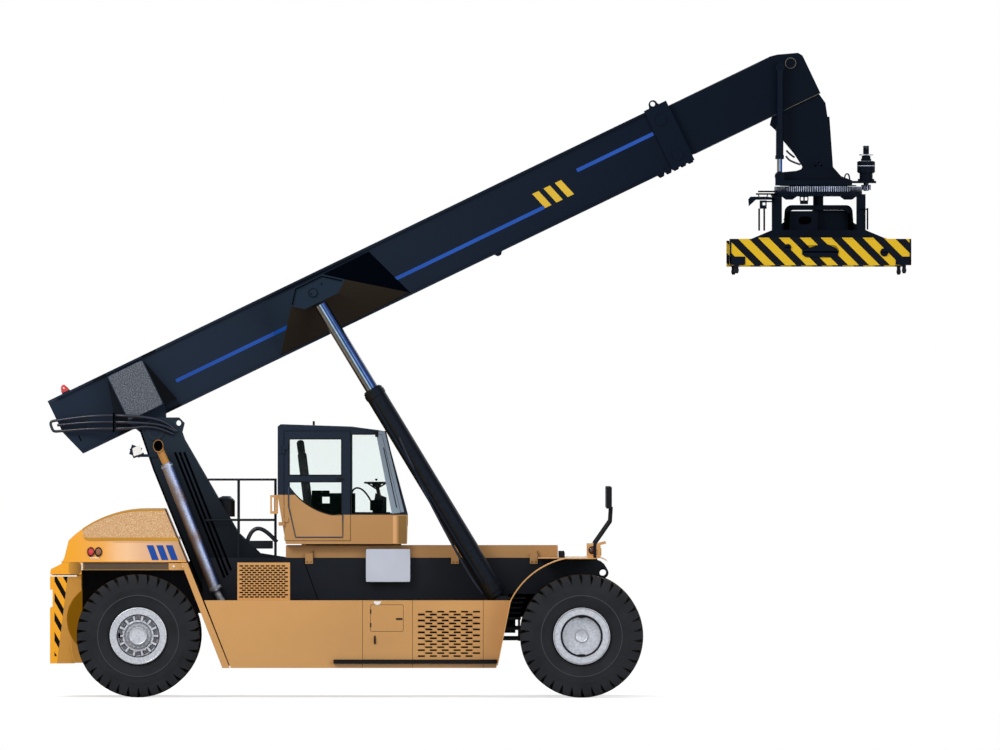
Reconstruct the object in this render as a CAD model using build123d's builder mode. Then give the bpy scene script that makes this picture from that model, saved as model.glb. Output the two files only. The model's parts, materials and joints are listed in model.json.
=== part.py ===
"""Reach stacker: a container handler with a telescopic lift boom and a turning spreader.

Frame: +X to the front of the machine, +Y to its left, +Z up, millimetres.
The origin is under the middle of the machine at ground level.
"""

import os
from math import acos, cos, degrees, hypot, pi, radians, sin

from build123d import *

# ---------------------------------------------------------------- running gear
WHEELBASE = 6000.0
FRONT_AXLE_X = 1395.0
REAR_AXLE_X = FRONT_AXLE_X - WHEELBASE
TYRE_RADIUS = 833.0
AXLE_Z = TYRE_RADIUS
TYRE_WIDTH = 490.0
TYRE_HALF = TYRE_WIDTH / 2
TYRE_LUGS = 34
LUG_DEPTH = 60.0
TREAD_HALF = 0.84 * TYRE_HALF
WALL_RADIUS = 541.0
SHOULDER_STEP = 12.0
SHOULDER_BEVEL_RADIUS = WALL_RADIUS + 60
RIM_SEAT_RADIUS = 320.0
RIM_SEAT_HALF = 0.69 * TYRE_HALF
RIM_FLANGE_RADIUS = 384.0
RIM_WALL = 28.0
TWIN_INNER_Y = 1240.0
TWIN_OUTER_Y = TWIN_INNER_Y + TYRE_WIDTH + 100
STEER_WHEEL_Y = 1400.0
KINGPIN_Y = 1100.0
KINGPIN_RADIUS = 55.0
SPINDLE_RADIUS = 120.0
BEARING_GAP = 0.5

# ---------------------------------------------------------------- chassis
GIRDER_OUT_Y = 740.0
GIRDER_IN_Y = 640.0
GIRDER_BOTTOM_Z = 1315.0
GIRDER_TOP_Z = 1885.0
CHASSIS_FRONT_X = FRONT_AXLE_X + 215
CHASSIS_REAR_X = REAR_AXLE_X + 865
BELLY_TOP_Z = 700.0
PLATE = 60.0
REAR_FRAME_Y = 440.0
RAIL_TOP_Z = 2050.0
RAIL_REAR_X = REAR_AXLE_X + 1993
RAIL_FRONT_X = FRONT_AXLE_X - 320
WEIGHT_REAR_X = REAR_AXLE_X - 1191
WEIGHT_FRONT_X = REAR_AXLE_X - 769
WEIGHT_BOTTOM_Z = 460.0
WEIGHT_TOP_Z = 1651.0
WEIGHT_Y = 1640.0
SWING_RADIUS = 1012.0
HOOD_GAP = 14.0
HOOD_Y = 1600.0
HOOD_BOTTOM_Z = WEIGHT_TOP_Z + HOOD_GAP
HOOD_BASE_Z = HOOD_BOTTOM_Z + 166
HOOD_TOP_Z = HOOD_BOTTOM_Z + 878
BODY_OUT_Y = 1680.0
BODY_IN_Y = 1290.0
BODY_TOP_Z = 1313.0
BODY_BOTTOM_Z = 399.0
BODY_REAR_TOP_X = REAR_AXLE_X + 896
BODY_REAR_BOTTOM_X = REAR_AXLE_X + 1254
BODY_FRONT_TOP_X = FRONT_AXLE_X - 970
BODY_FRONT_BOTTOM_X = FRONT_AXLE_X - 1155
FENDER_RADIUS = TYRE_RADIUS + 233
FENDER_THICKNESS = 14.0
FENDER_OUT_Y = 2095.0

# ---------------------------------------------------------------- tower and boom
PIVOT_X = REAR_AXLE_X + 218
PIVOT_Z = 3604.0
PIVOT_PIN_RADIUS = 64.0
TOWER_IN_Y = 500.0
TOWER_OUT_Y = 620.0
TOWER_LUG_X = PIVOT_X + 316
TOWER_LUG_Z = PIVOT_Z + 106
TOWER_LUG_RADIUS = 76.0
TOWER_LUG_HOLE_RADIUS = 38.0
BOOM_ANGLE = 25.8
BOOM_Y = 350.0
BOOM_WALL = 30.0
BOOM_LOW_V = 150.0
BOOM_HIGH_V = 1000.0
BOOM_TAIL_U = -1140.0
BOOM_MOUTH_U = 8190.0
COLLAR_LENGTH = 330.0
SLIDE_GAP = 20.0
INNER_Y = BOOM_Y - BOOM_WALL - SLIDE_GAP
INNER_LOW_V = BOOM_LOW_V + BOOM_WALL + SLIDE_GAP / 2
INNER_HIGH_V = BOOM_HIGH_V - BOOM_WALL - 26
INNER_TAIL_U = 250.0
INNER_END_U = 10126.0
TIP_PIN_U = INNER_END_U - 191
TIP_PIN_V = 741.0
TIP_PIN_RADIUS = 47.0
LIFT_PIN_U = 2750.0
LIFT_PIN_V = 752.0
LIFT_PIN_RADIUS = 57.0
LIFT_Y = 1110.0
LIFT_EYE_HALF = 100.0
LIFT_EYE_RADIUS = 118.0
LIFT_BARREL_RADIUS = 132.0
LIFT_BORE_RADIUS = 108.0
LIFT_ROD_RADIUS = 85.0
LIFT_BARREL_LENGTH = 3436.0
CHEEK_GAP = 10.0
CHEEK_IN = LIFT_BARREL_RADIUS + 10
CHEEK_PLATE = 36.0
CHEEK_BOSS_RADIUS = 95.0
FOOT_EAR_RADIUS = 150.0
FOOT_PIN_RADIUS = 75.0
LIFT_FOOT_X = FRONT_AXLE_X - 1055
LIFT_FOOT_Z = 1221.0

BOOM_SIDE = Plane(
    origin=(PIVOT_X, 0, PIVOT_Z),
    x_dir=(cos(radians(BOOM_ANGLE)), 0, sin(radians(BOOM_ANGLE))),
    z_dir=(0, -1, 0),
)


def boom_point(along, up):
    """Side-view place (x, z) of a point given along and above the boom's pivot line."""
    place = BOOM_SIDE.from_local_coords((along, up, 0))
    return place.X, place.Z


LIFT_PIN_X, LIFT_PIN_Z = boom_point(LIFT_PIN_U, LIFT_PIN_V)
TIP_X, TIP_Z = boom_point(TIP_PIN_U, TIP_PIN_V)

# ---------------------------------------------------------------- neck, rotator and spreader
HEAD_X = round(TIP_X)
HEAD_Z = round(TIP_Z)
NECK_IN_Y = 200.0
NECK_OUT_Y = 262.0
NECK_BASE_TOP_Z = HEAD_Z - 1589
NECK_BASE_BOTTOM_Z = NECK_BASE_TOP_Z - 69
NECK_BASE_REAR_X = HEAD_X - 204
NECK_BASE_FRONT_X = HEAD_X + 833
TILT_Y = 390.0
TILT_TOP_X = HEAD_X - 142
TILT_TOP_Z = HEAD_Z - 57
TILT_FOOT_X = HEAD_X - 148
TILT_FOOT_Z = NECK_BASE_TOP_Z + 59
TILT_BARREL_RADIUS = 48.0
TILT_ROD_RADIUS = 33.0
TILT_PIN_RADIUS = 25.0
TILT_EYE_HALF = 36.0
TILT_EYE_RADIUS = 52.0
ROTATOR_X = HEAD_X + 377
GEAR_MODULE = 10.0
RING_TEETH = 118
PINION_TEETH = 12
TOOTH_WIDTH = 1.3 * GEAR_MODULE
TOOTH_TIP = 0.7 * GEAR_MODULE
TOOTH_ROOT = 1.0 * GEAR_MODULE
TOOTH_SLOPE = 0.36
RING_RADIUS = GEAR_MODULE * RING_TEETH / 2
RING_BORE_RADIUS = 401.0
PINION_X = ROTATOR_X + GEAR_MODULE * (RING_TEETH + PINION_TEETH) / 2
PINION_SHAFT_RADIUS = 35.0
RING_TOP_Z = NECK_BASE_BOTTOM_Z - 16
RING_BOTTOM_Z = RING_TOP_Z - 70
HEAD_PLATE_BOTTOM_Z = RING_BOTTOM_Z - 62
SPREADER_TOP_Z = HEAD_PLATE_BOTTOM_Z - 590
SPREADER_BOTTOM_Z = SPREADER_TOP_Z - 356
SPREADER_WIDTH = 2451.0
SPREADER_LENGTH = 6100.0
SPREADER_HALF = SPREADER_LENGTH / 2
END_BEAM_DEPTH = 240.0
TWISTLOCK_PITCH_X = SPREADER_WIDTH - 192
TWISTLOCK_PITCH_Y = SPREADER_LENGTH - 247
TWISTLOCK_TIP_Z = SPREADER_BOTTOM_Z - 110
TWISTLOCK_SHANK_RADIUS = 26.0

# ---------------------------------------------------------------- cab
CAB_Y = 850.0
CAB_WALL = 50.0
CAB_REAR_X = RAIL_REAR_X - 111
CAB_FRONT_X = CAB_REAR_X + 1751
CAB_BOTTOM_Z = RAIL_TOP_Z + 22
CAB_BELT_Z = CAB_BOTTOM_Z + 395
CAB_FLOOR_Z = CAB_BOTTOM_Z + 90
DOOR_REAR_X = CAB_REAR_X + 91
DOOR_FRONT_X = CAB_REAR_X + 983
DOOR_BOTTOM_Z = CAB_BOTTOM_Z + 48
DOOR_TOP_Z = CAB_BOTTOM_Z + 1528
DOOR_GAP = 8.0
DOOR_FRAME = 65.0
GLASS = 8.0
GLASS_INSET = 10.0
HINGE_RADIUS = 14.0
HINGE_X = DOOR_REAR_X - DOOR_GAP
HINGE_Y = CAB_Y + 16

SIDES = (("right", -1), ("left", 1))


# ---------------------------------------------------------------- helpers
def slab(points, y_low, y_high, side=Plane.XZ):
    """Prism of a side-view outline between two stations across the machine."""
    with BuildPart() as prism:
        with BuildSketch(side.offset(-y_high)):
            with BuildLine():
                Polyline(*points, close=True)
            make_face()
        extrude(amount=y_high - y_low)
    return prism.part


def disc(x, z, radius, y_low, y_high, side=Plane.XZ):
    """Round bar across the machine between two stations."""
    with BuildPart() as bar:
        with BuildSketch(side.offset(-y_high)):
            with Locations((x, z)):
                Circle(radius)
        extrude(amount=y_high - y_low)
    return bar.part


def block(x_low, x_high, y_low, y_high, z_low, z_high):
    """Box given by its limits."""
    with BuildPart() as box:
        with Locations(((x_low + x_high) / 2, (y_low + y_high) / 2, (z_low + z_high) / 2)):
            Box(x_high - x_low, y_high - y_low, z_high - z_low)
    return box.part


def upright(x, y, radius, z_low, z_high):
    """Upright round bar."""
    with BuildPart() as bar:
        with BuildSketch(Plane.XY.offset(z_low)):
            with Locations((x, y)):
                Circle(radius)
        extrude(amount=z_high - z_low)
    return bar.part


def bar_between(start, end, radius, bore=0.0):
    """Round bar or tube from one point to another."""
    length = (Vector(*end) - Vector(*start)).length
    with BuildPart() as bar:
        with BuildSketch(Plane(origin=start, z_dir=Vector(*end) - Vector(*start))):
            Circle(radius)
            if bore:
                Circle(bore, mode=Mode.SUBTRACT)
        extrude(amount=length)
    return bar.part


def pipe_along(points, radius, bend):
    """Round tube carried along straight runs with rounded bends."""
    with BuildPart() as pipe:
        with BuildLine() as route:
            FilletPolyline(*points, radius=bend)
        with BuildSketch(Plane(origin=route.line @ 0, z_dir=route.line % 0)):
            Circle(radius)
        sweep(path=route.line, transition=Transition.ROUND)
    return pipe.part


def wheel_turning(profile, x):
    """Solid turned about a wheel axle from (distance across, radius) points."""
    with BuildPart() as turned:
        with BuildSketch(Plane(origin=(x, 0, AXLE_Z), x_dir=(0, 1, 0), z_dir=(-1, 0, 0))):
            with BuildLine():
                Polyline(*profile, close=True)
            make_face()
        revolve(axis=Axis((x, 0, AXLE_Z), (0, 1, 0)))
    return turned.part


def span(sign, low, high):
    """Limits across the machine of something between two distances on one side."""
    return (low, high) if sign > 0 else (-high, -low)


def save(piece, name):
    """Label a finished piece and write it as its own file."""
    piece.label = name
    export_step(piece, f"parts/{name}.step")


os.makedirs("parts", exist_ok=True)


# ---------------------------------------------------------------- main frame
REAR_PLATE_REAR_X = REAR_AXLE_X + 1105
REAR_PLATE_FRONT_X = FRONT_AXLE_X - 2295
OUTRIGGER_XS = (REAR_AXLE_X + 1505, FRONT_AXLE_X - 2895)
OUTRIGGER_LENGTH = 200.0
OUTRIGGER_DEPTH = 200.0
FRONT_FRAME_REAR_X = FRONT_AXLE_X - 445
AXLE_PAD_Z = AXLE_Z + 207
FOOT_BRACKET = (LIFT_FOOT_X - 220, LIFT_FOOT_X + 160)
FOOT_SHELF_TOP_Z = LIFT_FOOT_Z - FOOT_EAR_RADIUS - 10
FOOT_SHELF_BOTTOM_Z = FOOT_SHELF_TOP_Z - 190
FOOT_EAR_IN = LIFT_EYE_HALF + CHEEK_GAP
CROSS_MEMBER_XS = (FRONT_AXLE_X - 2195, FRONT_AXLE_X - 1095, CHASSIS_FRONT_X - 200)
CROSS_MEMBER_LENGTH = 200.0
TAIL_BEAM_IN_Y = REAR_FRAME_Y - 160
TAIL_BEAM_BOTTOM_Z = AXLE_Z + 300
AXLE_HANGER_XS = (REAR_AXLE_X - 420, REAR_AXLE_X + 340)
AXLE_HANGER_LENGTH = 80.0
TIE_LUG_X = CHASSIS_FRONT_X + 77
TIE_LUG_Z = 1680.0
TIE_LUG_RADIUS = 76.0
TIE_HOLE_RADIUS = 45.0
TIE_LUG_Y = 600.0
TIE_LUG_THICKNESS = 60.0

with BuildPart() as chassis_frame:
    for side_name, sign in SIDES:
        # (rear x, front x, inner y, outer y, low z, high z) of each length of frame
        for rear, front, inner, outer, low, high in (
            (CHASSIS_REAR_X, CHASSIS_FRONT_X, GIRDER_IN_Y, GIRDER_OUT_Y, GIRDER_BOTTOM_Z, GIRDER_TOP_Z),
            (FRONT_FRAME_REAR_X, CHASSIS_FRONT_X, GIRDER_IN_Y, GIRDER_OUT_Y, AXLE_PAD_Z, GIRDER_BOTTOM_Z),
            (REAR_PLATE_REAR_X, REAR_PLATE_FRONT_X, REAR_FRAME_Y, REAR_FRAME_Y + PLATE,
             BELLY_TOP_Z - PLATE, GIRDER_BOTTOM_Z),
            (*FOOT_BRACKET, GIRDER_IN_Y, BODY_IN_Y - 10, FOOT_SHELF_BOTTOM_Z, FOOT_SHELF_TOP_Z),
            (*FOOT_BRACKET, GIRDER_IN_Y, GIRDER_OUT_Y, FOOT_SHELF_BOTTOM_Z, GIRDER_BOTTOM_Z),
            (WEIGHT_FRONT_X, CHASSIS_REAR_X + 300, TAIL_BEAM_IN_Y, REAR_FRAME_Y, TAIL_BEAM_BOTTOM_Z,
             HOOD_BASE_Z),
        ):
            add(block(rear, front, *span(sign, inner, outer), low, high))
        for outrigger_x in OUTRIGGER_XS:
            add(block(outrigger_x, outrigger_x + OUTRIGGER_LENGTH, *span(sign, REAR_FRAME_Y, BODY_IN_Y),
                      GIRDER_BOTTOM_Z - OUTRIGGER_DEPTH, GIRDER_BOTTOM_Z))
        for ear_low in (LIFT_Y - FOOT_EAR_IN - PLATE, LIFT_Y + FOOT_EAR_IN):
            ear = span(sign, ear_low, ear_low + PLATE)
            add(block(LIFT_FOOT_X - FOOT_EAR_RADIUS, LIFT_FOOT_X + FOOT_EAR_RADIUS, *ear,
                      FOOT_SHELF_TOP_Z - 60, LIFT_FOOT_Z))
            add(disc(LIFT_FOOT_X, LIFT_FOOT_Z, FOOT_EAR_RADIUS, *ear))
        add(disc(LIFT_FOOT_X, LIFT_FOOT_Z, FOOT_PIN_RADIUS,
                 *span(sign, LIFT_Y - FOOT_EAR_IN - PLATE, LIFT_Y + FOOT_EAR_IN + PLATE)))
        lug = span(sign, TIE_LUG_Y - TIE_LUG_THICKNESS / 2, TIE_LUG_Y + TIE_LUG_THICKNESS / 2)
        add(disc(TIE_LUG_X, TIE_LUG_Z, TIE_LUG_RADIUS, *lug))
        add(block(CHASSIS_FRONT_X - 10, TIE_LUG_X, *lug, TIE_LUG_Z - TIE_LUG_RADIUS,
                  TIE_LUG_Z + TIE_LUG_RADIUS))
        add(disc(TIE_LUG_X, TIE_LUG_Z, TIE_HOLE_RADIUS, *lug), mode=Mode.SUBTRACT)
    add(block(REAR_PLATE_REAR_X, REAR_PLATE_FRONT_X, -REAR_FRAME_Y, REAR_FRAME_Y, BELLY_TOP_Z - PLATE,
              BELLY_TOP_Z))
    for cross_rear in CROSS_MEMBER_XS:
        add(block(cross_rear, cross_rear + CROSS_MEMBER_LENGTH, -GIRDER_IN_Y, GIRDER_IN_Y,
                  GIRDER_BOTTOM_Z, GIRDER_TOP_Z - 55))
    add(block(WEIGHT_FRONT_X, WEIGHT_FRONT_X + 100, -REAR_FRAME_Y, REAR_FRAME_Y, TAIL_BEAM_BOTTOM_Z,
              HOOD_BASE_Z))
    for hanger_x in AXLE_HANGER_XS:
        add(block(hanger_x, hanger_x + AXLE_HANGER_LENGTH, -REAR_FRAME_Y, REAR_FRAME_Y, AXLE_Z - 80,
                  HOOD_BASE_Z))
save(chassis_frame.part, "chassis_frame")


# ---------------------------------------------------------------- power pack between the girders
POWER_PACK_GAP = 20.0
with BuildPart() as powertrain:
    add(block(REAR_PLATE_REAR_X + 100, REAR_PLATE_FRONT_X - 200, -REAR_FRAME_Y + POWER_PACK_GAP,
              REAR_FRAME_Y - POWER_PACK_GAP, BELLY_TOP_Z, GIRDER_TOP_Z - 80))
save(powertrain.part, "powertrain")


# ---------------------------------------------------------------- valve chest beside the right girder
CHEST_FRONT_X = CAB_FRONT_X + 46
with BuildPart() as valve_chest:
    with BuildSketch(Plane.XZ.offset(GIRDER_OUT_Y)):
        with Locations((CHEST_FRONT_X - 300, GIRDER_TOP_Z - 104)):
            RectangleRounded(600, 446, 60)
    extrude(amount=110)
save(valve_chest.part, "valve_chest")


# ---------------------------------------------------------------- rear counterweight
RECESS_X = WEIGHT_FRONT_X + 305
RECESS_Z = AXLE_Z + 207
RECESS_RADIUS = 503.0
NOTCH_DEPTH = 34.0
BEVEL_TOP = 185.0
BEVEL_BOTTOM = 330.0
with BuildPart() as counterweight:
    add(block(WEIGHT_REAR_X, WEIGHT_FRONT_X, -WEIGHT_Y, WEIGHT_Y, WEIGHT_BOTTOM_Z, WEIGHT_TOP_Z))
    add(block(WEIGHT_REAR_X - 1, WEIGHT_REAR_X + NOTCH_DEPTH, -WEIGHT_Y, WEIGHT_Y, WEIGHT_TOP_Z - 437,
              WEIGHT_TOP_Z - 193), mode=Mode.SUBTRACT)
    for side_name, sign in SIDES:
        # front corner bevelled inwards, more at the foot than at the top
        with BuildSketch(Plane.XY.offset(WEIGHT_TOP_Z)):
            with BuildLine():
                Polyline((WEIGHT_FRONT_X - BEVEL_TOP, sign * WEIGHT_Y), (WEIGHT_FRONT_X, sign * WEIGHT_Y),
                         (WEIGHT_FRONT_X, sign * (WEIGHT_Y - 120)), close=True)
            make_face()
        with BuildSketch(Plane.XY.offset(WEIGHT_BOTTOM_Z)):
            with BuildLine():
                Polyline((WEIGHT_FRONT_X - BEVEL_BOTTOM, sign * WEIGHT_Y), (WEIGHT_FRONT_X, sign * WEIGHT_Y),
                         (WEIGHT_FRONT_X, sign * (WEIGHT_Y - 200)), close=True)
            make_face()
        loft(mode=Mode.SUBTRACT)
        # hollows that let the steered wheel swing
        add(disc(RECESS_X, RECESS_Z, RECESS_RADIUS, *span(sign, 1000, WEIGHT_Y + 1)), mode=Mode.SUBTRACT)
        with Locations((REAR_AXLE_X, sign * KINGPIN_Y, AXLE_Z)):
            Sphere(SWING_RADIUS, mode=Mode.SUBTRACT)
save(counterweight.part, "counterweight")


# ---------------------------------------------------------------- rear hood
LAMP_Z = HOOD_BASE_Z + 139
REAR_LAMP_XS = (WEIGHT_REAR_X + 552, WEIGHT_REAR_X + 655)
REAR_LAMP_RADIUS = 48.0
with BuildPart() as rear_hood:
    with BuildSketch(Plane.XZ.offset(-HOOD_Y)):
        with BuildLine():
            tail = Polyline((WEIGHT_REAR_X, HOOD_BOTTOM_Z), (WEIGHT_REAR_X + 8, HOOD_BOTTOM_Z + 71),
                            (WEIGHT_REAR_X + 151, HOOD_BOTTOM_Z + 143),
                            (WEIGHT_REAR_X + 193, HOOD_TOP_Z - 649),
                            (WEIGHT_REAR_X + 250, HOOD_TOP_Z - 421),
                            (WEIGHT_REAR_X + 307, HOOD_TOP_Z - 365))
            crown = ThreePointArc(tail @ 1, (WEIGHT_REAR_X + 721, HOOD_TOP_Z - 108),
                                  (WEIGHT_REAR_X + 1291, HOOD_TOP_Z))
            Polyline(crown @ 1, (WEIGHT_REAR_X + 1547, HOOD_TOP_Z), (WEIGHT_REAR_X + 1846, HOOD_BASE_Z),
                     (WEIGHT_FRONT_X, HOOD_BASE_Z), (WEIGHT_FRONT_X, HOOD_BOTTOM_Z), tail @ 0)
        make_face()
    extrude(amount=2 * HOOD_Y)
    add(block(WEIGHT_REAR_X + 60, WEIGHT_FRONT_X, -HOOD_Y + 300, HOOD_Y - 300, WEIGHT_TOP_Z,
              HOOD_BOTTOM_Z + 20))
    for side_name, sign in SIDES:
        add(block(WEIGHT_FRONT_X + 28, WEIGHT_FRONT_X + 1182, *span(sign, HOOD_Y - 100, HOOD_Y - 20),
                  HOOD_BASE_Z - 109, HOOD_BASE_Z))
        for lamp_x in REAR_LAMP_XS:
            add(disc(lamp_x, LAMP_Z, REAR_LAMP_RADIUS, *span(sign, HOOD_Y - 5, HOOD_Y + 12)))
save(rear_hood.part, "rear_hood")


# ---------------------------------------------------------------- tower plates
TOWER_OUTLINE = (
    (PIVOT_X + 680, GIRDER_BOTTOM_Z), (PIVOT_X - 191, PIVOT_Z - 51), (PIVOT_X - 209, PIVOT_Z + 17),
    (PIVOT_X - 153, PIVOT_Z + 96), (PIVOT_X - 53, TOWER_LUG_Z + TOWER_LUG_RADIUS),
    (TOWER_LUG_X, TOWER_LUG_Z + TOWER_LUG_RADIUS), (TOWER_LUG_X + TOWER_LUG_RADIUS, TOWER_LUG_Z),
    (TOWER_LUG_X + 46, TOWER_LUG_Z - 123), (TOWER_LUG_X + 82, TOWER_LUG_Z - 225),
    (PIVOT_X + 1125, GIRDER_TOP_Z + 344), (PIVOT_X + 1423, GIRDER_TOP_Z + 58),
    (PIVOT_X + 1786, GIRDER_TOP_Z), (PIVOT_X + 1786, GIRDER_TOP_Z - 400), (PIVOT_X + 1387, GIRDER_BOTTOM_Z),
)
BACK_PLATE = ((PIVOT_X + 477, HOOD_BASE_Z + 10), (PIVOT_X + 27, PIVOT_Z - 604),
              (PIVOT_X + 87, PIVOT_Z - 604), (PIVOT_X + 537, HOOD_BASE_Z + 10))
FRONT_PLATE = ((PIVOT_X + 1057, GIRDER_TOP_Z + 344), (PIVOT_X + 1387, GIRDER_TOP_Z + 58),
               (PIVOT_X + 1387, GIRDER_TOP_Z - 2), (PIVOT_X + 987, GIRDER_TOP_Z + 344))
with BuildPart() as tower:
    for side_name, sign in SIDES:
        web = span(sign, TOWER_IN_Y, TOWER_OUT_Y)
        add(slab(TOWER_OUTLINE, *web))
        add(disc(PIVOT_X, PIVOT_Z, PIVOT_PIN_RADIUS + 66, *span(sign, TOWER_OUT_Y - 5, TOWER_OUT_Y + 14)))
        add(disc(TOWER_LUG_X, TOWER_LUG_Z, TOWER_LUG_HOLE_RADIUS, *web), mode=Mode.SUBTRACT)
        add(disc(PIVOT_X, PIVOT_Z, PIVOT_PIN_RADIUS + BEARING_GAP,
                 *span(sign, TOWER_IN_Y, TOWER_OUT_Y + 14)), mode=Mode.SUBTRACT)
        add(block(PIVOT_X + 687, PIVOT_X + 1767, *span(sign, TOWER_OUT_Y - 5, GIRDER_IN_Y),
                  GIRDER_BOTTOM_Z + 50, GIRDER_TOP_Z - 50))
save(tower.part, "tower")

# plates welded between the two tower plates
with BuildPart() as tower_braces:
    for cross_plate in (BACK_PLATE, FRONT_PLATE):
        add(slab(cross_plate, -TOWER_IN_Y, TOWER_IN_Y))
save(tower_braces.part, "tower_braces")


# ---------------------------------------------------------------- side bodies: cabinet and tank
SEAM = 6.0
SEAM_DEPTH = 5.0
BODY_SEAM_XS = (BODY_FRONT_TOP_X - 1996, BODY_FRONT_TOP_X - 1320, BODY_FRONT_TOP_X - 363)
HATCH = (BODY_FRONT_TOP_X - 1889, BODY_FRONT_TOP_X - 1439, BODY_TOP_Z - 422, BODY_TOP_Z - 55)
LOUVRE_LENGTH = 87.0
LOUVRE_HEIGHT = 16.0
LOUVRE_PITCH = 162.0
LOUVRE_ROWS = 15
LOUVRE_COLUMNS = 5
LOUVRE_ROW_PITCH = 41.0
LOUVRE_DEPTH = 8.0
STEP_DEPTH = 60.0
SCREEN_REAR_X = PIVOT_X + 1122
SCREEN_LENGTH = 713.0
SCREEN_TOP_Z = BODY_TOP_Z + 511
SCREEN_THICKNESS = 24.0
SCREEN_ROWS = 15
SCREEN_COLUMNS = 9
SCREEN_SLOT = (40.0, 12.0)
for side_name, sign in SIDES:
    face = span(sign, BODY_OUT_Y - SEAM_DEPTH, BODY_OUT_Y + 1)
    with BuildPart() as side_body:
        add(slab(((BODY_REAR_BOTTOM_X, BODY_BOTTOM_Z), (BODY_FRONT_BOTTOM_X, BODY_BOTTOM_Z),
                  (BODY_FRONT_TOP_X, BODY_TOP_Z), (BODY_REAR_TOP_X, BODY_TOP_Z)),
                 *span(sign, BODY_IN_Y, BODY_OUT_Y)))
        for seam_x in BODY_SEAM_XS:
            add(block(seam_x, seam_x + SEAM, *face, BODY_BOTTOM_Z, BODY_TOP_Z), mode=Mode.SUBTRACT)
        # groove round the filler hatch
        with BuildSketch(Plane.XZ.offset(-sign * BODY_OUT_Y)):
            with Locations(((HATCH[0] + HATCH[1]) / 2, (HATCH[2] + HATCH[3]) / 2)):
                RectangleRounded(HATCH[1] - HATCH[0], HATCH[3] - HATCH[2], 40)
                RectangleRounded(HATCH[1] - HATCH[0] - 2 * SEAM, HATCH[3] - HATCH[2] - 2 * SEAM, 34,
                                 mode=Mode.SUBTRACT)
        extrude(amount=sign * SEAM_DEPTH, mode=Mode.SUBTRACT)
        # louvre slots, every second row shifted by half a pitch
        with BuildSketch(Plane.XZ.offset(-sign * BODY_OUT_Y)):
            for row in range(LOUVRE_ROWS):
                for column in range(LOUVRE_COLUMNS):
                    slot_x = BODY_SEAM_XS[1] + 120 + LOUVRE_PITCH * (column + row % 2 / 2)
                    with Locations((slot_x, BODY_BOTTOM_Z + 162 + LOUVRE_ROW_PITCH * row)):
                        Rectangle(LOUVRE_LENGTH, LOUVRE_HEIGHT)
        extrude(amount=sign * LOUVRE_DEPTH, mode=Mode.SUBTRACT)
        add(block(BODY_FRONT_BOTTOM_X - 2199, BODY_FRONT_BOTTOM_X + 9,
                  *span(sign, BODY_OUT_Y, BODY_OUT_Y + STEP_DEPTH), BODY_BOTTOM_Z + 60,
                  BODY_BOTTOM_Z + 113))
        # screen over the engine, pierced by staggered slots
        with BuildSketch(Plane.XZ.offset(-sign * (BODY_IN_Y + SCREEN_THICKNESS))):
            with Locations((SCREEN_REAR_X + SCREEN_LENGTH / 2, (BODY_TOP_Z - 20 + SCREEN_TOP_Z) / 2)):
                Rectangle(SCREEN_LENGTH, SCREEN_TOP_Z - BODY_TOP_Z + 20)
        extrude(amount=sign * SCREEN_THICKNESS)
        with BuildSketch(Plane.XZ.offset(-sign * (BODY_IN_Y + SCREEN_THICKNESS))):
            for row in range(SCREEN_ROWS):
                for column in range(SCREEN_COLUMNS):
                    pitch = SCREEN_LENGTH / (SCREEN_COLUMNS + 1)
                    slot_x = SCREEN_REAR_X + pitch * (column + 0.75 + row % 2 / 2)
                    with Locations((slot_x, BODY_TOP_Z + 45 + 30 * row)):
                        Rectangle(*SCREEN_SLOT)
        extrude(amount=sign * SCREEN_THICKNESS / 2, mode=Mode.SUBTRACT)
    save(side_body.part, f"side_body_{side_name}")


# ---------------------------------------------------------------- rails that carry the cab
RAIL_BRACKET_XS = (RAIL_REAR_X + 263, RAIL_FRONT_X - 1447, RAIL_FRONT_X - 378)
RAIL_BRACKET_LENGTH = 104.0
with BuildPart() as cab_rails:
    for side_name, sign in SIDES:
        add(block(RAIL_REAR_X, RAIL_FRONT_X, *span(sign, GIRDER_IN_Y, GIRDER_OUT_Y - 20),
                  GIRDER_TOP_Z, RAIL_TOP_Z))
        for bracket_x in RAIL_BRACKET_XS:
            add(block(bracket_x, bracket_x + RAIL_BRACKET_LENGTH,
                      *span(sign, GIRDER_OUT_Y, GIRDER_OUT_Y + 20), GIRDER_TOP_Z - 82, GIRDER_TOP_Z + 60))
            add(block(bracket_x, bracket_x + RAIL_BRACKET_LENGTH,
                      *span(sign, GIRDER_OUT_Y - 25, GIRDER_OUT_Y + 20), GIRDER_TOP_Z, GIRDER_TOP_Z + 60))
    add(block(RAIL_FRONT_X - 120, RAIL_FRONT_X, -GIRDER_IN_Y, GIRDER_IN_Y, GIRDER_TOP_Z, RAIL_TOP_Z - 60))
save(cab_rails.part, "cab_rails")


# ---------------------------------------------------------------- front fenders
FENDER_TOP_FRONT_X = FRONT_AXLE_X + 201
FENDER_FLAT_X = FRONT_AXLE_X - 220
FENDER_SKIRT_ANGLE = 154.0
FENDER_SKIRT_BOTTOM_Z = BODY_BOTTOM_Z + 37
BODY_FRONT_SLOPE = (BODY_FRONT_TOP_X - BODY_FRONT_BOTTOM_X) / (BODY_TOP_Z - BODY_BOTTOM_Z)
SKIRT_X = BODY_FRONT_BOTTOM_X + BODY_FRONT_SLOPE * (FENDER_SKIRT_BOTTOM_Z - BODY_BOTTOM_Z) + 2
FENDER_OUTER_RADIUS = FENDER_RADIUS + FENDER_THICKNESS
LAMP_BOX_X = (FRONT_AXLE_X + 77, FRONT_AXLE_X + 257)
LAMP_BOX_Y = (1350.0, 1650.0)
LAMP_BOX_HEIGHT = 185.0
LAMP_RADIUS = 52.0
flat_angle = degrees(acos((FENDER_FLAT_X - FRONT_AXLE_X) / FENDER_RADIUS))
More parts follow.
